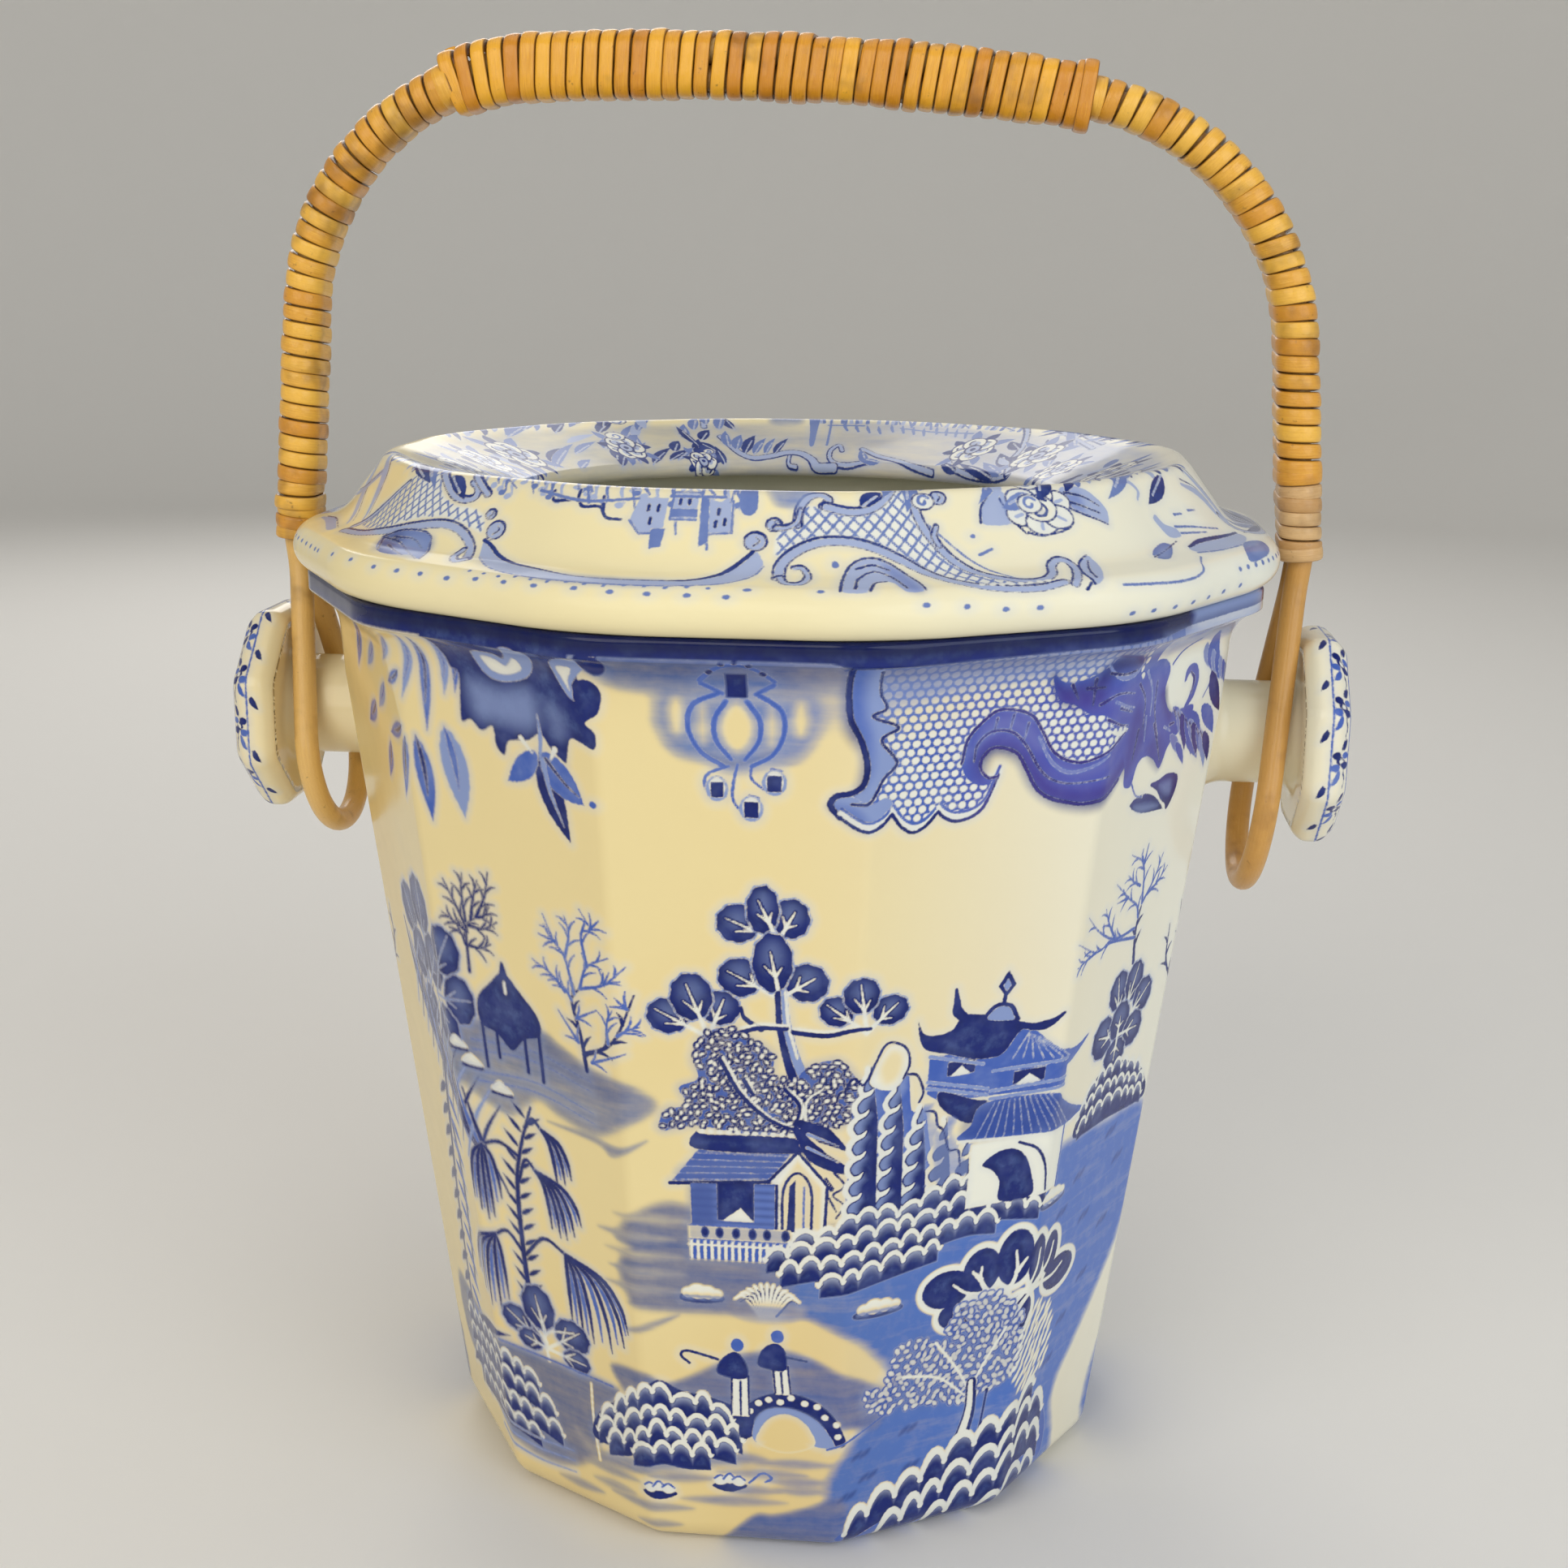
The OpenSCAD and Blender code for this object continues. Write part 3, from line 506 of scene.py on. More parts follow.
def paint_lattice_panel(s):
    """A panel of honeycomb lattice with a scalloped edge, a purple scroll and leaf flames, darkened towards
    its top with painted shade from the drainer's lip.
    """
    edge = [(25, 272), (24.5, 262), (25, 252), (27.5, 246), (29, 240), (28.5, 235), (26, 232.5),
        (22.5, 231), (21.5, 228.5), (24, 226), (27, 223.5), (30, 222.5), (33, 224), (35.5, 226.3),
        (38, 223), (41, 221.3), (44, 222.5), (47, 225.5), (49, 224), (52, 223), (56, 224), (58.5, 226),
        (60, 229.5), (61.5, 234), (59, 233.5), (57, 236), (57, 238.5), (59, 241), (62, 241), (66, 239),
        (69, 234), (72, 229), (76, 226.5), (82, 228), (97, 232), (101, 240), (103, 272)]
    s.area(edge, MID)
    pitch = 2.5
    panel = spline(edge, closed=True)
    for row, z in enumerate(np.arange(222.6, 270, pitch * 0.866)):
        for u in np.arange(23 + (row % 2) * pitch / 2, 103, pitch):
            if inside(panel, u, z):
                s.oval(u, z, 0.98, 0.96, PAPER)
    # Painted shade: the top of the panel washed blue and darkened, as if shadowed by the drainer's lip
    s.soft([(24, 275), (103, 275), (103, 258), (60, 254), (24, 250)], 0.62, 9.0)
    s.soft([(24, 276), (103, 276), (103, 266), (24, 263)], 0.45, 4.0, dark=True)
    band = [(25, 272), (24.6, 262), (25.1, 252), (27.6, 246), (29, 240), (28.5, 235), (26, 232.5),
        (30, 230), (33, 236), (36, 240), (32, 246), (36, 249), (30, 252), (33, 254), (31, 260),
        (31, 272)]
    foot = [(22.5, 231), (21.5, 228.5), (24, 226), (27, 223.5), (30, 222.5), (33, 224), (36, 227.5),
        (34, 231), (30, 229.5), (26, 231.5)]
    for shape in (band, foot):
        s.area(shape, LIGHT)
    s.soft([(24, 272), (24, 250), (28, 242), (27.5, 234), (30, 238), (30, 246), (28, 256), (29, 272)],
        0.85, 2.4, dark=True)
    s.soft([(21, 229), (25, 225), (30, 222.5), (30, 225), (26, 229)], 0.6, 1.6, dark=True)
    outline = [(25, 268), (24.5, 262), (25, 252), (27.5, 246), (29, 240), (28.5, 235), (26, 232.5),
        (22.5, 231.5), (21.3, 229), (23.5, 226)]
    s.stroke(outline, 1.5, DARK)
    for lobe in ([(23.5, 226), (27, 223.3), (30, 222.3), (33, 223.6), (35.5, 226.5)], [(35.5, 226.5),
            (38, 222.8), (41, 221), (44, 222.3), (47, 225.8)], [(47, 225.8), (49, 223.8), (52, 222.7),
            (56, 223.6), (58.5, 225.8), (60, 229.5), (61.5, 234)]):
        s.stroke([(u + 0.2, z + 1.2) for u, z in lobe], 1.6, PAPER)
        s.stroke(lobe, 0.9, DARK)
        s.stroke([(u + 0.3, z + 2.3) for u, z in lobe], 0.75, MID)
    s.stroke([(31, 264), (31.5, 258), (33, 254), (30, 252), (36, 249), (32, 246), (36, 240), (33, 236),
        (30, 230), (26, 229.5)], 0.8, DARK)
    # Scroll
    top = [(52, 238), (53, 244), (56, 248), (60, 251), (65, 250.5), (69, 248.5), (72, 244), (75, 239),
        (79, 236), (84, 235), (90, 237), (97, 241), (104, 246)]
    low = [(106, 234), (100, 231), (97, 228), (92, 224.5), (86, 223.5), (82, 224), (76, 226), (72, 229),
        (69, 234), (66, 239), (62, 241), (59, 241), (57, 238.5), (57, 236), (59, 233.5), (61.5, 233.5)]
    s.area(top + low + [(58, 231.5), (54, 233.5)], MID)
    s.soft([(104, 238), (92, 229), (84, 227.5), (77, 229.5), (72, 235), (66, 241.5), (59, 243),
        (55, 239), (57, 234), (60, 239), (66, 237), (71, 229), (80, 223), (92, 223)], 0.85, 2.4,
        dark=True)
    s.soft([(55, 240), (57, 247), (63, 249.5), (69, 246), (73, 240), (70, 240), (64, 245.5), (58, 243)],
        0.6, 2.0)
    s.soft([(76, 236), (84, 233.5), (92, 236), (92, 233), (84, 231), (78, 232.5)], 0.45, 1.6)
    s.stroke(top, 0.8, DARK)
    s.stroke([(55, 238), (55.6, 242.6), (59, 245.6), (64, 245), (68, 241), (72, 234.6), (76, 231),
        (82, 229.4), (92, 230)], [0.4, 0.7, 0.8, 0.8, 0.7, 0.6, 0.5, 0.4, 0.3], DARK)
    s.stroke([(71, 243), (75, 236), (80, 232.6), (86, 233.4), (91, 236)], [0.5, 0.9, 0.9, 0.8, 0.4],
        LIGHT)
    s.stroke(low[2:], 1.1, DARK, ends=0.7)
    for u, z in ((60, 249), (64, 249.4), (68, 247)):
        s.stroke([(u, z), (u - 0.6, z - 4)], [0.7, 0.3], DARK)
    # Leaf flames
    s.area([(72.5, 259.6), (76, 256.8), (82, 257.4), (86.4, 260), (88.6, 263), (94, 262.4), (99, 260.4),
        (100.5, 256), (103, 254), (107, 258), (112.6, 257.6), (116, 254.4), (115, 249), (117, 244.6),
        (121, 241.4), (127, 242), (133, 241), (131, 236.6), (126.6, 234.6), (122, 231.6), (119, 226.2),
        (114.6, 229.6), (110, 231.4), (106.4, 230), (104.4, 224.4), (100.6, 225.2), (99.6, 230),
        (97, 236), (99, 240.6), (96.6, 242.4), (91, 243.6), (88, 246.8), (84, 247.4), (79.6, 250.4),
        (75, 252.4)], MID)
    s.soft([(72.5, 259), (76, 256), (83, 257), (89, 263), (99, 261), (99, 258), (90, 257), (86, 250),
        (80, 250), (75, 252)], 0.9, 2.4, dark=True)
    s.soft([(116, 249), (118, 244), (121, 241), (120, 239), (116, 243), (113, 248)], 0.8, 1.8, dark=True)
    s.soft([(99, 240), (102, 247), (108, 240), (105, 232), (100, 228)], 0.7, 2.4, dark=True)
    s.soft([(110, 233), (118, 226), (120, 231), (116, 236)], 0.6, 2.0, dark=True)
    s.soft([(104, 252), (110, 255), (113, 250), (110, 244), (106, 246)], 0.4, 2.6)
    s.soft([(89, 252), (97, 250), (99, 246), (91, 247)], 0.35, 2.0)
    strokes(s, 0.9, DARK, [(86, 250), (92, 252), (99, 251)], [(89, 245.6), (94, 243.4), (98, 242.6)],
        [(101, 253), (105, 248), (106, 240)], [(110, 252), (111, 244), (115, 236)],
        [(112, 240), (116, 233), (118.6, 228)], [(104, 240), (103, 232)], [(78, 256), (80, 252)],
        [(84, 257), (84, 250)], [(121, 238), (127, 238.4)], ends=0.3)
    strokes(s, 0.8, LIGHT, [(104, 256), (108, 250), (109, 243)], [(107, 243), (108, 236)],
        [(91, 250), (96, 248), (100, 247)], [(118, 238), (122, 236)], ends=0.4)
    s.stroke([(86, 261), (89, 258), (93, 256), (98, 256.4), (101, 259.6)], [0.4, 1.0, 1.3, 1.0, 0.4],
        LIGHT)
    strokes(s, 0.8, DARK, [(88, 258), (93, 257), (98, 257.4)], [(82, 254.6), (87, 254.4)],
        [(93, 248), (99, 246)], ends=0.5)
    s.stroke([(90, 242.4), (94, 241), (98, 241.6)], [0.6, 1.5, 0.5], PAPER)
    s.area([(116.6, 255), (120, 258.4), (127, 260.2), (134, 259), (139, 254), (140, 247), (137, 242.6),
        (131, 241.8), (125, 241.6), (120.6, 243), (117, 247.6)], PAPER)
    s.stroke([(125.6, 249.4), (126.6, 252), (129.6, 252), (131.6, 248.6), (130.6, 244.4), (128, 241.6)],
        [0.9, 2.4, 3.0, 3.2, 2.8, 1.2], MID)
    s.stroke([(128, 251.4), (130.6, 249), (130.2, 245)], [0.6, 1.2, 0.5], DARK)
    strokes(s, 0.8, MID, [(139.4, 255), (140.4, 247), (137.6, 242.4)],
        [(117, 255.6), (121, 259), (128, 261)], ends=0.6)
    for foot, tip, w, tone, bend in (((130, 239), (140, 231), 5.0, MID, 1.5),
            ((122, 235), (130, 227), 3.0, LIGHT, 1.0), ((131, 233), (141, 224), 4.0, MID, 1.5),
            ((126, 232), (133, 224), 2.6, MID, 1.0), ((105.4, 218.6), (125.6, 213), 5.4, DARK, 2.2),
            ((136, 262), (146, 246), 6, MID, -2), ((140, 250), (150, 236), 5, DARK, -1.5),
            ((138, 240), (148, 230), 5, MID, 1.5)):
        s.leaf(foot, tip, w, tone, bend)
    for k in range(9):
        u, z = 121 + 2.6 * k, 243 - 1.4 * k
        s.leaf((u, z), (u + 8 - (k % 3), z - 10 - (k * 5) % 4), 3.6, (MID, LIGHT, DARK)[k % 3], bend=1.4)
        s.leaf((u + 12, z + 16), (u + 19, z + 7), 3.2, (LIGHT, MID)[k % 2], bend=-1.2)
        s.stroke([(u + 1, z - 1), (u + 5, z - 6)], [0.7, 0.3], DARK)
    s.area([(115.6, 222.2), (120, 222.6), (125, 223.4), (130.8, 221.6), (131, 217), (127.6, 212.4),
        (126, 214.4), (123.4, 216), (120, 219.4)], DARK)
    s.soft([(108, 218), (118, 216.4), (122, 214.6), (112, 215)], 0.55, 1.2)
    s.soft([(121, 221), (127, 221), (128, 217), (124, 218)], 0.55, 1.4)
    s.stroke([(104, 226), (108, 221), (112, 219.6)], 0.6, MID)


def bare_tree(s, width, *paths):
    for path in paths:
        twigs(s, path, width * 0.85, 4, 4.6, DARK if width > 1.4 else MID)


def paint_trees(s):
    bare_tree(s, 1.5, [(-79, 170), (-78, 183), (-74, 187)], [(-78, 183), (-81, 190), (-84, 196)],
        [(-78, 185), (-78, 193), (-77, 199)], [(-76, 186), (-74, 193), (-72, 198)],
        [(-74, 187), (-70, 194), (-68, 201)], [(-77, 184), (-72, 184), (-67, 187)],
        [(-78, 178), (-74, 178), (-70, 180)], [(-78, 182), (-82, 184), (-86, 186)],
        [(-79, 178), (-80, 181), (-82, 182)], [(-74, 187), (-71, 188), (-69, 191)])
    bare_tree(s, 1.9, [(-41, 150), (-42, 160), (-44, 170), (-41, 174)],
        [(-41, 155), (-35, 158), (-30, 163), (-25, 175)])
    bare_tree(s, 1.3, [(-39, 153), (-28, 158)], [(-43, 165), (-36, 169)], [(-43, 158), (-49, 166)],
        [(-46, 172), (-50, 176), (-56, 179)], [(-44, 170), (-46, 173), (-50, 176)],
        [(-41, 174), (-33, 177), (-26.5, 183)], [(-41, 174), (-38, 181), (-31, 185)],
        [(-38, 181), (-39, 190), (-36, 192), (-39, 197)],
        [(-43, 172), (-45, 182), (-48, 186), (-51, 193)], [(-45, 182), (-43, 189), (-44, 194)],
        [(-30, 163), (-27, 165), (-24, 166)], [(-33, 160), (-33, 166), (-31, 170)],
        [(-48, 186), (-53, 187)], [(-36, 192), (-33, 195)], [(-33, 177), (-31, 181)],
        [(-27, 171), (-30, 174)])
    bare_tree(s, 1.9, [(124, 168), (122, 178), (123, 186)])
    bare_tree(s, 1.3, [(122, 176), (108, 178.5), (100, 178), (90, 183)],
        [(121, 179), (110, 179), (100, 184), (93, 190)], [(110, 179), (105, 185), (102, 190)],
        [(122, 182), (120, 186), (114, 190), (106, 196)], [(123, 186), (120, 198), (112, 203)],
        [(120, 192), (116, 194), (112, 197)], [(123, 186), (128, 192), (131, 199)],
        [(125, 188), (130, 190), (135, 194)], [(120, 198), (121, 204)],
        [(100, 178), (95, 177), (91, 176)], [(114, 190), (108, 190)])


def paint_centre_tree(s):
    """The pine in the middle, with a curly bush round its foot."""
    lobes(s, (10, 192), (0.5, 196.5, 5, 5.3), (13, 198.3, 4.4, 5.4), (6.4, 200.5, 3.8, 6.6))
    lobes(s, (10.5, 176), (0.8, 181.5, 5.2, 5.4), (17, 180.7, 5.2, 5.3), (8.7, 186, 4.8, 8.2))
    lobes(s, (-7, 164), (-17, 169.8, 5.2, 5.0), (-4, 172.6, 4.8, 4.8), (-11, 175.5, 5.2, 6.6))
    lobes(s, (32, 167), (24.3, 173, 4.2, 4.2), (38.2, 172.6, 4.8, 4.2), (30.4, 177.6, 4.6, 5.0))
    s.stroke([(10.5, 177), (11.5, 168), (13.5, 159), (16, 152)], [2.6, 3.6, 4.4, 5.6], DARK)
    s.stroke([(11.4, 178), (12.4, 168), (14.6, 159), (17.4, 152)], [1.4, 2.2, 2.4, 2.8], LIGHT)
    s.stroke([(11.8, 178), (12.8, 168), (15, 159)], [0.7, 1.0, 0.6], PAPER)
    strokes(s, 1.6, DARK, [(12, 167.6), (6, 167.5), (1, 166), (-5, 165)],
        [(14, 166.6), (22, 166), (29, 168), (33, 168)], [(6, 167), (2, 170), (1, 173)], ends=0.6)
    strokes(s, 0.8, PAPER, [(12, 168.4), (6, 168.4), (1, 167.2)],
        [(14, 167.6), (22, 167.1), (29, 169.2)], ends=0.8)
    bush = [(-11, 138), (-20, 136), (-19, 142), (-13, 144), (-15, 149), (-10, 152), (-11, 158),
        (-8, 165), (-2, 167), (4, 164), (9, 160), (9, 154), (14, 153), (18, 157), (25, 159), (30, 154),
        (33, 149), (31, 143), (26, 140), (16, 138), (4, 136)]
    s.area(bush, MID)
    s.soft(bush, 0.3, 3.0, dark=True)
    foliage(s, bush, 2.4, 1.05, 5)
    for path in ([(-4, 158), (1, 148), (8, 141), (15, 138)], [(17, 138), (17, 146), (21, 150)],
            [(15, 138), (16, 145), (12, 150)], [(2, 152), (4, 148)]):
        s.stroke(path, 2.0, DARK, ends=0.6)
        s.stroke([(u + 0.5, z + 0.5) for u, z in path], 0.9, PAPER, ends=0.6)
    s.stroke([(16, 140), (22, 137), (28, 133)], [2.5, 5.0, 1.0], DARK)
    s.stroke([(15, 138), (20, 131), (26, 127.5), (30, 126)], [2.0, 5.0, 3.5, 0.8], DARK)
    s.stroke([(18, 137), (26, 134)], [1.1, 0.3], LIGHT)
    s.stroke([(18, 133), (26, 129)], [1.1, 0.3], LIGHT)
    strokes(s, 0.7, DARK, [(25, 126), (28, 122), (25, 119), (28, 116), (26, 112)],
        [(23, 124), (25, 121)], [(24, 118), (26, 114)], ends=0.8)


def paint_hut(s):
    s.area([(-13, 98), (10, 98), (10, 121.5), (-13, 121)], PAPER, smooth=False)
    roof = [(-10, 131.5), (14, 131.5), (8.2, 122), (-18.5, 120.2)]
    s.area(roof, MID, smooth=False)
    s.soft(roof, 0.3, 0.6, smooth=False, dark=True)
    s.soft([(-14, 127), (8, 129), (6, 124), (-16, 122)], 0.4, 2.5)
    for k in np.linspace(0.15, 0.9, 5):
        s.stroke([(-10 - 8.5 * k, 131.5 - 11.3 * k), (14 - 5.8 * k, 131.5 - 9.5 * k)], 0.35, LIGHT,
            smooth=False)
    s.area([(-11, 131), (14.6, 131), (15.8, 133.5), (13, 135.8), (-8, 135.5), (-11, 136.2)], DARK)
    for k in range(11):
        s.oval(-9.4 + 2.3 * k, 136.4, 0.9, 0.7, PAPER)
    s.stroke([(-18.5, 120.2), (8.2, 122)], 1.1, DARK, smooth=False)
    wall = [(-13, 104), (10, 104), (10, 121.4), (-13, 120.6)]
    s.area(wall, MID, smooth=False)
    s.soft(wall, 0.3, 0.6, smooth=False)
    s.soft([(-13, 106), (-7, 106), (-7, 120), (-13, 120)], 0.4, 2.0, dark=True)
    for z in np.arange(106, 121, 2.4):
        s.soft([(-13, z), (10, z + 0.2), (10, z + 1.0), (-13, z + 0.8)], 0.5, 0.6, smooth=False,
            dark=True)
    s.area([(-6, 109.5), (4, 109.5), (4, 121.5), (-6, 121.3)], DARK, smooth=False)
    s.area([(-4.8, 109.3), (4, 109.3), (0.4, 113.6)], PAPER, smooth=False)
    gable = [(15.5, 131.5), (8, 122.5), (10, 121), (10, 105.5), (23.2, 106.5), (23.5, 121.3)]
    s.area(gable, PAPER, smooth=False)
    s.soft([(11, 121), (15.5, 129), (22, 121), (22, 108), (11, 108)], 0.0, 1.0, smooth=False)
    strokes(s, 0.9, DARK, [(15.5, 131.5), (8, 122.3)], [(15.5, 131.5), (24.5, 120.5)],
        [(23.4, 121), (23, 107)], [(10, 121), (10, 106)], ends=1.0)
    s.stroke([(11.6, 107), (11.6, 118), (13, 123), (15.6, 125.2), (18.2, 123), (19.4, 118),
        (19.4, 107)], 0.8, DARK)
    s.area([(12.8, 107), (15, 107), (15, 123), (13.4, 121)], DARK, smooth=False)
    s.stroke([(17.3, 107.5), (17.3, 121)], 0.6, MID, smooth=False)
    s.area([(-14, 107.6), (14, 107.6), (14, 103), (-14, 103)], PAPER, smooth=False)
    s.soft([(-14, 107.6), (14, 107.6), (14, 103), (-14, 103)], 0.45, 0.8, smooth=False)
    s.area([(-14, 103.2), (14, 103.2), (14, 97), (-14, 97)], MID, smooth=False)
    for u in np.arange(-13.4, 13.8, 1.9):
        s.stroke([(u, 97.3), (u, 103)], 0.9, PAPER, smooth=False)
    s.stroke([(-14, 101.6), (14, 101.6)], 0.7, PAPER, smooth=False)
    for u in (-9.5, -5.5, -1, 3.5, 7.5, 12.5, 17.5):
        s.oval(u, 105.6, 1.2, 1.8, DARK)
    strokes(s, 0.5, MID, [(-14, 107.6), (9, 107.6)], [(-14, 103.2), (14, 103.2)], ends=1.0)


def paint_rocks(s):
    """Flame rocks, the wave band and small stones in the water."""
    s.area([(29, 112), (30, 140), (33, 155), (37, 150), (39, 152), (44, 154), (46, 142), (50, 141),
        (53, 128), (60, 118), (70, 112), (60, 106), (40, 104)], MID)
    s.soft([(50, 138), (56, 128), (66, 114), (52, 108), (48, 120)], 0.7, 4.0)
    for u0, w, z0, z1 in ((60.5, 6, 110, 131), (53, 7, 110, 138), (45.6, 6.6, 110, 143),
            (38.2, 6.8, 110, 153), (30, 7.4, 110, 157)):
        flame_rock(s, u0, w, z0, z1)
    s.soft([(52, 136), (62, 128), (70, 113), (56, 112)], 0.55, 3.0)
    s.area([(33.5, 152), (36, 158), (39, 162), (43, 160.6), (44.4, 156), (42.6, 151), (39, 149)], PAPER)
    s.soft([(36, 156), (39, 160.6), (42.6, 159), (42, 153), (38, 151)], 0.0, 2.0)
    strokes(s, 0.8, DARK, [(27, 150), (29, 154), (32, 152), (35, 158), (38, 163), (43, 161),
        (44.5, 156), (43, 152)], [(44, 153), (47, 152), (49, 147), (48, 144)], [(50, 141), (53, 140),
        (54, 136), (56, 134), (58, 128), (61, 127), (62, 122)], ends=0.9)
    for path in ([(14, 103.5), (23, 106), (31, 111), (38, 111.5)], [(38, 111.5), (46, 110.5), (54, 114),
            (64, 116.5), (72, 113), (82, 111), (92, 109)], [(7, 98), (16, 100.5), (28, 104), (40, 106),
            (52, 107), (64, 110), (76, 107), (90, 104.5)], [(11, 93.8), (24, 97), (38, 99.8),
            (52, 101.4), (66, 103.6), (76, 102.6)], [(22, 91), (34, 93.4), (46, 95.6), (58, 97.6)]):
        scallops(s, path, 6.2, 3.0, under=4.6, white=1.25)
    for u, z, w in ((-11, 87, 12), (40, 83, 15), (97, 105.5, 13)):
        s.area([(u - w / 2, z - 3.4), (u, z - 4.2), (u + w / 2, z - 3.2), (u + w / 2 - 1, z - 1),
            (u - w / 2 + 1, z - 1)], DARK)
        for k, r in ((-0.32, 1.7), (-0.1, 2.5), (0.14, 2.2), (0.36, 1.5)):
            s.oval(u + w * k, z - 1.6 + r * 0.5, r * 1.1, r, PAPER)
            s.soft([(u + w * k - r, z - 2.6), (u + w * k + r, z - 2.6), (u + w * k + r * 0.8, z - 1.2),
                (u + w * k - r * 0.8, z - 1.2)], 0.8, 1.2)
    for k in np.linspace(-1, 1, 11):
        s.stroke([(7.5 + 2.0 * k, 80), (7.5 + 6.5 * k, 86 + 2 * (1 - k * k)),
            (7.5 + 9.2 * k, 85 + 5.4 * (1 - k * k))], 1.1, PAPER, ends=0.6)
        s.stroke([(8.2 + 2.0 * k, 80), (8.2 + 6.0 * k, 85 + 2 * (1 - k * k)),
            (8.2 + 8.4 * k, 84 + 5 * (1 - k * k))], 0.7, DARK, ends=0.5)
    s.soft([(-3, 83), (7, 84), (18, 83), (14, 78), (1, 78)], 0.6, 2.0)


def paint_pagoda(s):
    s.area([(65, 108), (97, 108), (97, 127), (65, 128)], PAPER, smooth=False)
    s.area([(50, 157), (50, 146), (54, 143), (93, 141), (93, 152), (70, 156)], MID, smooth=False)
    # Upper roof
    s.area([(46, 168), (48, 164), (52, 163), (56, 164), (59, 167), (70, 164), (78.5, 160), (76, 156),
        (72, 154), (64, 154), (55, 157), (48, 160)], DARK)
    s.area([(76, 160.5), (80, 160), (85, 156), (90, 152.5), (97, 151.3), (103.5, 153), (98, 149),
        (92, 147), (80, 149.5), (68, 152), (72, 155)], MID)
    for k in np.linspace(0.1, 0.9, 7):
        s.stroke([(78 + 4 * k, 159.5 - 2 * k), (72 + 24 * k, 152.5 - 3.2 * k)], 0.4, LIGHT, smooth=False)
    s.stroke([(59, 167), (64, 166), (70, 164), (76, 162), (82, 160.5)], 2.0, DARK)
    s.stroke([(60, 166), (57, 169), (56.5, 172), (56, 175.5)], [2.4, 3.0, 1.8, 0.9], DARK)
    s.stroke([(79, 161), (83, 161), (86, 162), (88.5, 163.8)], [2.0, 2.8, 1.8, 0.9], DARK)
    s.area([(64.6, 164.6), (65.2, 167.4), (67.4, 169.4), (70, 169.8), (72.8, 168.6), (74.4, 166),
        (74.6, 163.4)], DARK)
    s.area([(66, 165.2), (66.8, 167.4), (69, 168.6), (71.6, 168), (73, 165.8), (73.2, 164)], LIGHT)
    s.stroke([(70, 170), (70.2, 172)], 1.2, DARK, smooth=False)
    s.area([(70.4, 179), (73, 174.6), (70.4, 171), (67.8, 174.6)], DARK, smooth=False)
    s.area([(70.4, 176.6), (71.6, 174.5), (70.4, 172.8), (69.2, 174.5)], LIGHT, smooth=False)
    # Storey
    for u0, u1, z0, z1 in ((55.5, 63.5, 150.3, 154.3), (75.5, 85, 144.5, 148.3)):
        s.area([(u0, z0), (u1, z0), (u1, z1), (u0, z1)], DARK, smooth=False)
        s.area([(u0 + 0.8, z0 - 0.3), (u1 - 0.8, z0 - 0.3), ((u0 + u1) / 2, z0 + 2.6)], PAPER,
            smooth=False)
    strokes(s, 1.0, LIGHT, [(50, 157), (66, 152.2)], [(50, 149.5), (68, 144.5)],
        [(50, 147.6), (68, 142.6)], [(69, 149.6), (93, 149.2)], [(69, 143.6), (93, 143.4)],
        [(69, 141.2), (93, 141.0)], ends=1.0)
    # Lower roof
    s.area([(54, 146), (54, 142), (58, 138), (63, 135), (67, 136), (69, 140.3), (64, 142)], DARK)
    s.area([(68, 140.3), (89, 139.5), (94, 136), (100, 132.3), (108, 129.5), (109.5, 131), (104, 127.7),
        (97, 127), (80, 128), (61, 130), (64, 134)], MID)
    s.soft([(66, 139.6), (88, 139), (96, 134), (104, 129), (97, 127.6), (80, 128.6), (62, 130.6)], 0.4,
        1.6, dark=True)
    for k in np.linspace(0.08, 0.92, 12):
        s.stroke([(69 + 20 * k, 139.8), (63 + 38 * k, 130 - 2.4 * k)], 0.4, LIGHT, smooth=False)
    s.stroke([(61, 129.6), (80, 127.8), (97, 126.8), (105, 128)], 0.9, PAPER)
    s.area([(69, 121), (73, 124), (78, 124.5), (82, 122), (85, 116), (86, 108.5), (76, 108.5),
        (75, 115), (72, 119)], DARK)
    s.stroke([(80, 126), (86, 123), (89.5, 117), (91, 109)], 0.9, DARK)
    s.stroke([(97, 127), (97, 108)], 0.8, MID, smooth=False)


